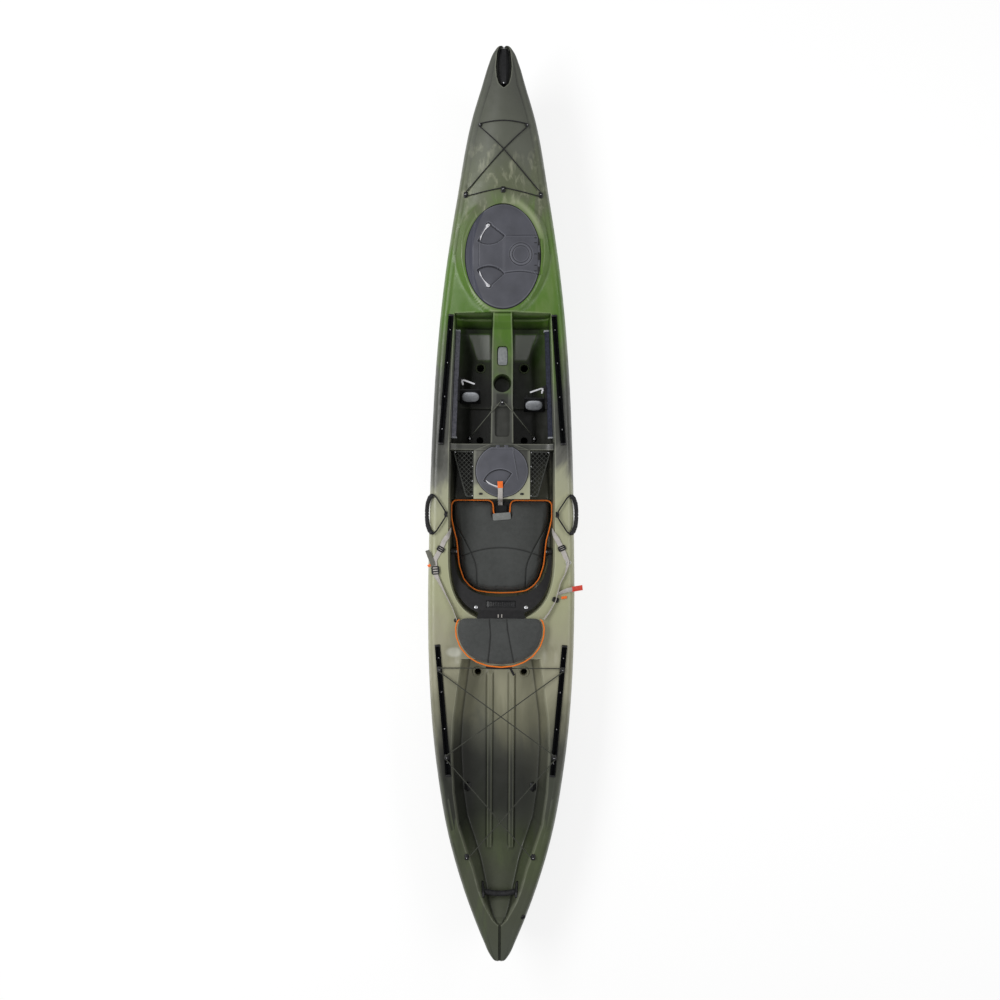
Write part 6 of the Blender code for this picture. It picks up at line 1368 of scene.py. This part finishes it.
# its piping runs round the sides and the aft edge, and thins out at both ends
edge = inset(pad_outline, -0.0008)
edge = edge[(edge[:, 1] < -0.521) | (np.abs(edge[:, 0] + 0.005) > 0.187)]
first = np.argmax(np.linalg.norm(np.roll(edge, -1, axis=0) - edge, axis=1)) + 1
edge = np.roll(edge, -first, axis=0)
from_end = np.minimum(np.arange(len(edge)), len(edge) - 1 - np.arange(len(edge))) + 0.5
piping = swept("seat_back_piping", flat(edge, 0.3285), CIRCLE, PIPING, np.minimum(1, from_end / 3) * 0.0034)
placed(piping, "seat_back", "seat_fabric")

# The back frame leans back at rest, so its rivets and the height adjuster stand on a slope
BACK_SLOPE = math.tan(math.radians(20))
PIVOT_Y, PIVOT_Z = -0.2145, 0.185


def on_frame(made, x, y, lift):
    """Stands a piece on the sloping back frame."""
    return moved(made, frame_at((x, y, PIVOT_Z + BACK_SLOPE * (PIVOT_Y - y) + lift), (0, BACK_SLOPE, 1)))


RIVET = ((0, 0.0030), (0.0045, 0.0028), (0.0085, 0.0014), (0.0092, 0), (0.0092, -0.001), (0, -0.001))
rivets = [
    on_frame(turned("rivet", RIVET, (0, 0, 0), STAINLESS, steps=40), x, -0.4715, 0.0024)
    for x in (-0.1193, 0.1175)
]
placed(joined("seat_back_rivets", rivets), "seat_back", "stainless_steel")
plate = prism(
    "plate", outline_round(0.0745, 0.0215, 8, 64), ((-0.0018, 0.001), (-0.0012, 0), (0.0008, 0), (0.0012, 0.0006)),
    BLACK_NYLON,
)
parts = [on_frame(plate, -0.002, -0.458, -0.0044)]
for k in range(11):
    tooth = prism("tooth", outline_round(0.0022, 0.0125, 6, 20), ((0, 0), (0.0022, 0), (0.0027, 0.0006)), BLACK_NYLON)
    parts.append(on_frame(tooth, -0.055 + k * 0.0105, -0.458, -0.0036))
placed(joined("height_adjuster", parts), "seat_back", "black_nylon")

# Pocket nets: black elastic mesh with diamond cells, strands inside a hemmed border, pulled flat over the pocket on
# each side of the mid hatch and held by five screws along the border.
NET_BLACK = woven("black_net_elastic", "#50524d", "#2b2c29", 0.0012, 0.5, 0.1)
NET_CELL, NET_LEVEL, NET_MIDDLE = 0.0215, 0.2340, (0.18, 0.16)
NET_CORNERS = np.array(((0.1372, 0.2668), (0.2304, 0.2656), (0.1708, 0.0539), (0.1372, 0.0516)))
NET_SCREWS = ((0.1400, 0.2640), (0.2240, 0.2628), (0.1400, 0.0560), (0.1400, 0.1960), (0.1400, 0.1250))


def clipped(origin, run, corners):
    """First and last distance at which a line lies inside a four-sided outline."""
    low, high = -1.0, 1.0
    for a, b in zip(corners, np.roll(corners, -1, axis=0)):
        normal = np.array((b[1] - a[1], a[0] - b[0]))
        normal = normal * -np.sign(normal @ (corners.mean(axis=0) - a))
        rate, gap = normal @ run, normal @ (a - origin)
        if rate > 1e-9:
            high = min(high, gap / rate)
        elif rate < -1e-9:
            low = max(low, gap / rate)
        elif gap < 0:
            high = low
    return low, high


for side_name, side in SIDES:
    strands = []
    for way in (-1, 1):
        run = np.array((way * 1.0, -1.0)) / math.sqrt(2)
        for k in range(-20, 30):
            origin = np.array((NET_MIDDLE[0] + k * NET_CELL, NET_MIDDLE[1]))
            low, high = clipped(origin, run, NET_CORNERS)
            if high - low > 0.012:
                share = np.linspace(low, high, max(int((high - low) / 0.006), 4))
                line = (origin + share[:, None] * run) * (side, 1)
                # the two sets of strands pass over and under each other
                wave = 0.0005 * np.sin(share / NET_CELL * math.sqrt(2) * math.pi + (0 if way > 0 else math.pi))
                strands.append(
                    swept("strand", np.column_stack((line, NET_LEVEL + wave)), CIRCLE[::2], NET_BLACK, 0.00115)
                )
    hem = smooth_path(flat(NET_CORNERS * (side, 1), 0.2336), 120, 2, True)
    strands.append(swept("hem", hem, CIRCLE[::2], NET_BLACK, (0.0030, 0.0016) * np.ones((120, 1)), closed=True))
    net = placed(joined(f"pocket_net_{side_name}_mesh", strands), "boat", "pocket_mesh", f"pocket_net_{side_name}")
    x, y = NET_CORNERS.T
    fastened(f"pocket_net_screws_{side_name}", [((side * x, y, 0.2362), (0, 0, 1)) for x, y in NET_SCREWS], 0.0034)

# Straps: polyester webbing, 22 mm wide, from the cockpit's rim through a lock on each side to the back pad, and a
# short one from a side-squeeze buckle in the cushion's notch. The free ends are folded over and tipped in colour.
WEBBING = woven("grey_webbing", "#cbc6c1", "#a39e99", 0.0014, 0.5, 0.1)
WEBBING_DARK = woven("olive_webbing", "#7d7d73", "#5c5c54", 0.0014, 0.5, 0.1)
TAB_GREY = woven("grey_tab_webbing", "#8d8f8e", "#70726f", 0.0016, 0.5, 0.1)
ORANGE_TIP = moulded("orange_tip_vinyl", "#ff7a28", "#ef6a1a", 60.0, 0.40, 0.50, 1200.0, 0.05)
RED_TIP = moulded("red_tip_vinyl", "#e23a1c", "#cf2f14", 60.0, 0.38, 0.48, 1200.0, 0.05)
BAND = ((-1, -0.6), (-0.9, -1), (0.9, -1), (1, -0.6), (1, 0.6), (0.9, 1), (-0.9, 1), (-1, 0.6))
BAND_HALF, BAND_THICK = 0.011, 0.0009
dressed(BLACK_NYLON, "front_buckle")


def band(name, points, finish, count, half=BAND_HALF, tilt=None, rounds=4, up=None):
    """Flat webbing along points, its face turned by an angle in degrees at each of them; with it comes its length."""
    points = np.array(points, dtype=float)
    path = smooth_path(points, count, rounds)
    if up is None:
        run = run_along(points)
        tilt = np.zeros(len(points)) if tilt is None else tilt
        angle = np.radians(np.interp(np.linspace(0, run[-1], count), run, tilt))[:, None]
        ahead = units(np.gradient(path, axis=0))
        across = units(np.cross(ahead, (0, 0, 1)))
        up = np.cross(across, ahead) * np.cos(angle) + across * np.sin(angle)
    made = swept(name, path, BAND, finish, np.tile((half, BAND_THICK), (count, 1)), up=up)
    return made, float(run_along(path)[-1])


def ring(name, outline, finish, thick):
    """Closed loop of round bar along an outline."""
    return swept(name, flat(outline), CIRCLE, finish, thick, closed=True)


def lock(x, y, ahead, width, length, bars):
    """Ladder lock on the deck: a rounded rectangular frame of black nylon with cross bars."""
    pieces = [ring("strap_lock", outline_round(width / 2, length / 2, 7, 56), BLACK_NYLON, 0.0031)]
    for place in bars:
        line = np.column_stack((np.linspace(-width / 2, width / 2, 8), np.full(8, place), np.full(8, 0.0006)))
        pieces.append(swept("strap_lock", line, CIRCLE, BLACK_NYLON, 0.0031))
    return on_hull(joined("strap_lock", pieces), x, y, 0.0058, ahead)


# Points of each side strap on the deck: inset off the beam's edge, place along the boat and height above the deck.
# Its tilts begin with those of the four points that bring it out of the cockpit over the rim.
STRAPS = {
    "left": (
        ((0.0815, -0.158, 0.0030), (0.0659, -0.197, 0.0020), (0.0365, -0.250, 0.0012), (0.0395, -0.276, 0.0040),
         (0.0430, -0.318, 0.0040), (0.0555, -0.345, 0.0030), (0.0780, -0.389, 0.0040), (0.1005, -0.433, 0.0055),
         (0.1231, -0.476, 0.0070), (0.1345, -0.508, 0.0110), (0.1440, -0.530, 0.0165)),
        (78, 60, 30, 8, 0, 0, 0, 0, -15, -40, -62, -72, -78, -78, -78),
    ),
    "right": (
        ((0.0815, -0.165, 0.0030), (0.0675, -0.1905, 0.0020), (0.0395, -0.257, 0.0012), (0.0515, -0.310, 0.0030),
         (0.0745, -0.354, 0.0055), (0.0967, -0.4387, 0.0060), (0.1275, -0.494, 0.0090), (0.1510, -0.523, 0.0165)),
        (78, 60, 30, 8, 0, 0, 35, 82, 84, 84, 80, 80),
    ),
}
for side_name, side in SIDES:
    laid, tilt = STRAPS[side_name]
    deck = [
        (x, y, on_deck(x, y)[0] + 0.0016 + up)
        for x, y, up in ((side * (BEAM / 2 - a), y, up) for a, y, up in laid)
    ]
    rim = deck[0][2]
    # distance outside the cockpit's half width, place and height
    over_rim = (
        (-0.0070, -0.1050, 0.2660), (-0.0035, -0.1180, 0.2930), (0.0040, -0.1330, rim + 0.0010),
        (0.0120, -0.1440, rim + 0.0018),
    )
    points = [(side * (COCKPIT_HALF + x), y, z) for x, y, z in over_rim] + deck
    strap, length = band(
        f"seat_strap_{side_name}_webbing", points, WEBBING, 150, tilt=[side * a for a in tilt], rounds=5,
    )
    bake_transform(strap)
    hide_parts(f"seat_strap_{side_name}")

locks = [lock(*values) for values in (
    (-0.2856, -0.197, (-0.49, -0.87, 0), 0.031, 0.019, (0,)), (0.2840, -0.1905, (0.40, -0.92, 0), 0.031, 0.019, (0,)),
    (-0.3102, -0.297, (0.08, -1, 0), 0.033, 0.034, (-0.006, 0.006)),
    (0.2560, -0.4330, (-0.30, -0.95, 0), 0.026, 0.017, (0,)),
)]
placed(joined("strap_locks", locks), "boat", "black_nylon", "strap_buckle_left")
wire = ring("strap_wire_loop", outline_round(0.0115, 0.0080, 3, 48), STAINLESS, 0.0014)
placed(on_hull(wire, 0.3155, -0.259, 0.0045, (0.4, -0.9, 0)), "boat", "stainless_steel")

# Free ends of the side straps: the left one doubles back and pokes over the gunwale, the right one springs outboard.
# Each is given as points with heights above the deck at one spot, half its width and its tilts.
left_deck, right_deck = on_deck(-0.318, -0.262)[0], on_deck(0.275, -0.40)[0]
for name, points, level, finish, half, tilt, count in (
    ("left_strap_tail",
     ((-0.3190, -0.276, 0.0075), (-0.3265, -0.256, 0.0110), (-0.3370, -0.232, 0.0100), (-0.3490, -0.203, 0.0040)),
     left_deck, WEBBING_DARK, 0.0105, (0, 8, 16, 22), 40),
    ("left_strap_tip", ((-0.3330, -0.2715, 0.0050), (-0.3395, -0.2745, 0.0045), (-0.3460, -0.2790, 0.0020)),
     left_deck, ORANGE_TIP, 0.0062, None, 16),
    ("right_strap_tail",
     ((0.2680, -0.4080, 0.0060), (0.2860, -0.3960, 0.0130), (0.3080, -0.3870, 0.0160), (0.3340, -0.3825, 0.0120)),
     right_deck, WEBBING, 0.0105, (50, 35, 20, 10), 50),
    ("right_strap_tip", ((0.3320, -0.3828, 0.0124), (0.3560, -0.3790, 0.0060), (0.3830, -0.3760, -0.0060)),
     right_deck, RED_TIP, 0.0122, (10, 6, 0), 30),
    ("right_buckle_tip", ((0.2830, -0.4245, 0.0040), (0.2950, -0.4225, 0.0050), (0.3090, -0.4205, 0.0030)),
     right_deck, ORANGE_TIP, 0.0060, None, 16),
):
    piece, length = band(name, [(x, y, level + z) for x, y, z in points], finish, count, half, tilt)
    placed(piece, "boat", "webbing")

# Front strap: polyester webbing a little wider than the others, with an orange vinyl tip over its end. It goes up the
# cushion's front wall from its buckle, over the edge and onto the mid lid.
FRONT_X, FRONT_HALF = -0.007, 0.0115
path = smooth_path([(FRONT_X, y, z) for y, z in (
    (-0.034, 0.1228), (-0.010, 0.1228), (0.016, 0.1232), (0.026, 0.1300), (0.0318, 0.1500), (0.0365, 0.2250),
    (0.0385, 0.2430), (0.0430, 0.2505), (0.0560, 0.2560), (0.0800, 0.2600), (0.0960, 0.2612),
)], 120, 4)
face = np.cross((1.0, 0, 0), np.gradient(path, axis=0))
strap = swept("front_strap_webbing", path, BAND, WEBBING, np.tile((FRONT_HALF, BAND_THICK), (120, 1)), up=face)
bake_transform(strap)
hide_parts("front_strap")
points = ((FRONT_X, 0.0925, 0.2618), (FRONT_X - 0.0004, 0.1080, 0.2624), (FRONT_X - 0.0012, 0.1245, 0.2618))
tip, _ = band("front_strap_tip", points, ORANGE_TIP, 24, half=0.0126, up=(0, 0, 1))
placed(tip, "mid_lid", "webbing")
# a grey webbing tab is sewn across the front of the cushion
levels = ((-0.0018, 0.0016), (-0.0010, 0), (0.0014, 0), (0.0022, 0.0014))
tab = prism("cushion_tab", outline_round(0.0440, 0.0175, 9, 72), levels, TAB_GREY)
lean = Matrix.Rotation(math.radians(5), 4, "Z") @ Matrix.Rotation(math.radians(5), 4, "X")
placed(moved(tab, Matrix.Translation((0.0005, -0.0440, 0.1720)) @ lean), "boat", "webbing")

# Back pad's lashings: a black webbing tab sewn under its aft edge with a loose tail, and two pale ties to the frame.
# The left strap ends on a nylon ring on the deck.
BLACK_WEBBING = woven("black_webbing", "#1f1f20", "#0e0e0f", 0.0014, 0.5, 0.1)
outline = outline_round(0.0615, 0.0085, 4, 64, (-0.0095, -0.7485))
tab = prism("back_pad_tab", outline, ((0.3170, 0.0010), (0.3178, 0), (0.3200, 0), (0.3208, 0.0010)), BLACK_WEBBING)
placed(tab, "seat_back", "webbing")
points = ((0.0400, -0.7480, 0.3195), (0.0480, -0.7590, 0.3190), (0.0560, -0.7740, 0.3170), (0.0620, -0.7870, 0.3140))
tail, length = band("back_pad_tail", points, BLACK_WEBBING, 30, half=0.0055)
placed(tail, "seat_back", "webbing")
ties = []
for x in (-0.0135, 0.0030):
    rests = [(x, y, PIVOT_Z + BACK_SLOPE * (PIVOT_Y - y) + lift) for y, lift in ((-0.4930, 0.0022), (-0.5030, 0.0040))]
    ties.append(band("back_tie", rests + [(x, -0.5160, 0.3130)], WEBBING, 20, half=0.0026)[0])
placed(joined("back_ties", ties), "seat_back", "webbing")
strap_ring = ring("strap_ring", outline_round(0.0070, 0.0070, 2, 40), BLACK_NYLON, 0.0030)
placed(on_hull(strap_ring, -0.2125, -0.532, 0.0045), "boat", "black_nylon")

# Deck clips: two small blocks of black nylon, moulded with a chamfered top, that stand flat on the deck behind the
# round hatch and are fixed from below.
levels = ((-0.0010, 0), (0.0028, 0), (0.0040, 0.0012))
clips = [
    on_hull(prism("deck_clip", outline_round(0.0085, 0.0050, 4, 40), levels, BLACK_NYLON), x, 0.0648)
    for x in (-0.1003, 0.0962)
]
placed(joined("mid_deck_clips", clips), "boat", "black_nylon")

# Deck rigging: 5 mm shock cord, a braided sheath over rubber strands, strung under tension round spool-shaped nylon
# hooks. Each hook is held by one steel screw, and the footwell cord ends in two screwed eyes.
SHOCK_CORD = woven("shock_cord", "#202022", "#0c0c0d", 0.0014, 0.6, 0.1)
SHOCK_CORD_WORN = woven("faded_shock_cord", "#4b4d44", "#26271f", 0.0014, 0.6, 0.1)
# the footwell's cord is paler: a painted highlight that shows it against the dark well
SHOCK_CORD_LIT = woven("highlighted_shock_cord", "#74766a", "#3c3e36", 0.0014, 0.6, 0.1)
NECK_RING, CORD_RADIUS = 0.0076, 0.0025
HOOK_MIDDLE, HOOK_TOP, HOOK_NECK = 0.0064, 0.0114, 0.0057
HOOK_PROFILE = (
    (0, 0.0112), (0.0018, 0.0112), (0.0026, 0.0126), (0.0055, 0.0128), (0.0075, 0.0124), (0.0084, 0.0113),
    (0.0084, 0.0100),
    (0.0070, 0.0094), (0.0044, 0.0088), (0.0042, 0.0075), (0.0042, 0.0038), (0.0048, 0.0026), (0.0086, 0.0019),
    (0.0092, 0.0008), (0.0092, 0), (0, 0),
)


def hook(node, normal=None, screw_radius=0.0024):
    """Refines a hook: its spool on the same spot with the same lean, its foot and its screw; gives its neck's place."""
    low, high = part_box(node)
    middle = (low + high) / 2
    normal = Vector(on_deck(middle.x, middle.y)[1] if normal is None else normal).normalized()
    base = middle - normal * HOOK_MIDDLE
    spool = turned(node + "_spool", HOOK_PROFILE, (0, 0, 0), BLACK_NYLON, steps=36)
    levels = ((-0.0012, 0), (0.0010, 0), (0.0022, 0.0012))
    foot = prism(node + "_foot", outline_round(0.0104, 0.0140, 5, 36), levels, BLACK_NYLON)
    placed(moved(joined(node + "_spool", [spool, foot]), frame_at(base, normal)), "boat", "black_nylon", node)
    placed(screw(node + "_screw", base + normal * HOOK_TOP, normal, screw_radius), "boat", "stainless_steel")
    return base + normal * HOOK_NECK


def round_neck(centre, angle):
    """Point on the ring that a cord follows round a hook's neck."""
    return centre.x + NECK_RING * math.cos(angle), centre.y + NECK_RING * math.sin(angle), centre.z


def strung(centres, sides, closed, lifts, over=None):
    """Route of a taut cord: straight from hook to hook, touching the neck of each, with an arc round every neck."""
    count = len(centres)
    pairs = [(i, (i + 1) % count) for i in range(count if closed else count - 1)]
    lines = []
    for i, j in pairs:
        way = centres[j].xy - centres[i].xy
        bend = math.asin((sides[i] - sides[j]) * NECK_RING / way.length)
        way = Matrix.Rotation(-bend, 2) @ way.normalized()
        lines.append([math.atan2(way.x * sides[k], -way.y * sides[k]) for k in (i, j)])
    path = []
    for k, (i, j) in enumerate(pairs):
        if closed or k:
            begin = lines[k - 1][1]
            sweep = ((lines[k][0] - begin) * -sides[i]) % (2 * math.pi)
            path += [round_neck(centres[i], a) for a in begin - sides[i] * np.linspace(0, sweep, 9)[:-1]]
        first, last = (np.array(round_neck(centres[h], a)) for h, a in zip((i, j), lines[k]))
        share = np.linspace(0, 1, 60)
        line = first + share[:, None] * (last - first)
        if over:
            line[:, 2] = np.maximum(line[:, 2], [over(x, y) for x, y in line[:, :2]])
            # a taut cord bridges hollows: each point rises to the chord of points on both sides of it
            for _ in range(40):
                line[1:-1, 2] = np.maximum(line[1:-1, 2], (line[:-2, 2] + line[2:, 2]) / 2)
        # where one run crosses another it rides over it
        for number, crossing, lift in lifts:
            if number == k:
                line[:, 2] += lift * np.clip(1 - np.abs(share - crossing) / 0.25, 0, 1) ** 1.5
        path += [tuple(p) for p in line[:-1]]
    return np.array(path if closed else path + [tuple(last)])


def above_deck(x, y):
    """Height at which a cord lies on the deck."""
    return on_deck(x, y)[0] + CORD_RADIUS + 0.0012


BOW_HOOKS = ("front_left", "front_right", "rear_left", "centre", "rear_right")
route = strung(
    [hook(f"bow_hook_{key}") for key in BOW_HOOKS], (1, 1, -1, 1, -1), True, ((4, 0.622, 0.0055),), above_deck,
)
taut_cord("bow_shock_cord", route, SHOCK_CORD, CORD_RADIUS, "boat", "bow_bungee", CIRCLE[::2], True)

rear = {}
for side_name, _ in SIDES:
    on_rail = bar_place(f"gear_rail_rear_{side_name}")[1].col[2].xyz
    for place, normal in (("stern", None), ("aft", on_rail), ("forward", on_rail)):
        rear[f"{place}_{side_name}"] = hook(f"rear_hook_{place}_{side_name}", normal)
order = ("stern_left", "aft_right", "forward_left", "forward_right", "aft_left", "stern_right")
route = strung([rear[key] for key in order], (-1, -1, 1, 1, -1, -1), False, ((0, 0.381, 0.0062), (3, 0.534, 0.0062)))
taut_cord("rear_shock_cord", route, SHOCK_CORD_WORN, CORD_RADIUS, "boat", "rear_bungee", CIRCLE[::2])

console = hook("footwell_hook_console", (0, 0, 1), 0.0036)
legs = []
for side_name, side in SIDES:
    node = f"footwell_eye_{side_name}"
    dressed(BLACK_NYLON, node)
    low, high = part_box(node)
    x, y = ((low + high) / 2).xy
    hole = low.z + 0.0125
    legs.append([(x, y - 0.011, hole), (x, y + 0.007, hole)] + [
        (side * out, console.y - back, console.z - down)
        for out, back, down in ((0.0655, 0.060, 0.0160), (0.0560, 0.048, 0.0025), (0.0440, 0.038, 0.0010))
    ])
    fastened(node + "_screws", [((x, y + off, low.z + 0.0045), (0, 0, 1)) for off in (-0.0095, 0.0095)], 0.0034)
    fastened(node + "_cap_screw", [((x, y, high.z), (0, 0, 1))], 0.0056)
bend = [round_neck(Vector((0, console.y, console.z)), a) for a in np.radians((150, 120, 90, 60, 30))]
route = smooth_path(legs[0] + bend + legs[1][::-1], 200, 2)
# the footwell cord takes the paler finish, a painted highlight
taut_cord("footwell_shock_cord", route, SHOCK_CORD_LIT, CORD_RADIUS, "boat", "footwell_bungee", CIRCLE[::2])

# Stern: a black nylon drain plug with a domed head, which screws into a thread in the deck's starboard quarter. A bar
# moulded across the head is its grip.
PLUG_PLACE = (0.111, -1.928)
PLUG = (
    (0, 0.0040), (0.0050, 0.0042), (0.0095, 0.0040), (0.0112, 0.0030), (0.0118, 0.0016), (0.0122, -0.0010),
    (0, -0.0010),
)
plug = turned("drain_plug", PLUG, (0, 0, 0), BLACK_NYLON, steps=48)
grip = prism(
    "plug_grip", outline_round(0.0085, 0.0018, 6, 32), ((0.0036, 0), (0.0068, 0), (0.0074, 0.0006)), BLACK_NYLON,
)
placed(joined("drain_plug", [on_hull(piece, *PLUG_PLACE) for piece in (plug, grip)]), "boat", "black_nylon")

# Console: a pad of grey closed-cell foam, die-cut with rounded corners and glued into the recess ahead of the cup
# holder, to lay small things on.
FOAM_PAD = moulded("grey_foam", "#8a8d8e", "#777a7b", 90.0, 0.75, 0.88, 1400.0, 0.25)
outline = outline_round(0.0225, 0.0430, 6, 64, (0.001, 0.7180))
placed(prism("recess_pad", outline, ((0.2650, 0), (0.2690, 0), (0.2700, 0.0010)), FOAM_PAD), "boat", "seal_rubber")

# Scupper beads: a rounded ring of the hull's own polyethylene round the mouth of the forward and rear drains. It is
# moulded in one with the hull and carries its colours.
BEAD_RING, BEAD_RADIUS = 0.0225, 0.0042
beads = []
for x, y in SCUPPERS:
    if abs(y) > 0.5:
        outline = BEAD_RING * np.column_stack((np.cos(turns(40)), np.sin(turns(40)))) + (x, y)
        mouth = flat(outline, on_deck(x + 0.024, y)[0] + 0.0004)
        beads.append(swept("scupper_bead", mouth, CIRCLE, HULL_FINISH, BEAD_RADIUS, closed=True))
placed(joined("scupper_beads", beads), "boat", "hull_polyethylene")

# Tank well: a low cleat for a second cord on each side wall. It is one moulding of black nylon, a rounded base with a
# horn along the boat, and it is screwed on.
CLEAT_PLACE = (0.158, -1.358)
cleats = []
for _, side in SIDES:
    levels = ((-0.001, 0), (0.0030, 0), (0.0045, 0.0016))
    base = prism("tank_cleat_base", outline_round(0.015, 0.020, 4, 40), levels, BLACK_NYLON)
    line = ((0, -0.022, 0.0050), (0, -0.010, 0.0085), (0, 0.010, 0.0085), (0, 0.022, 0.0050))
    horn = swept("tank_cleat_horn", line, CIRCLE, BLACK_NYLON, 0.0036)
    cleats.append(on_hull(joined("tank_cleat", [base, horn]), side * CLEAT_PLACE[0], CLEAT_PLACE[1]))
placed(joined("tank_cleats", cleats), "boat", "black_nylon")
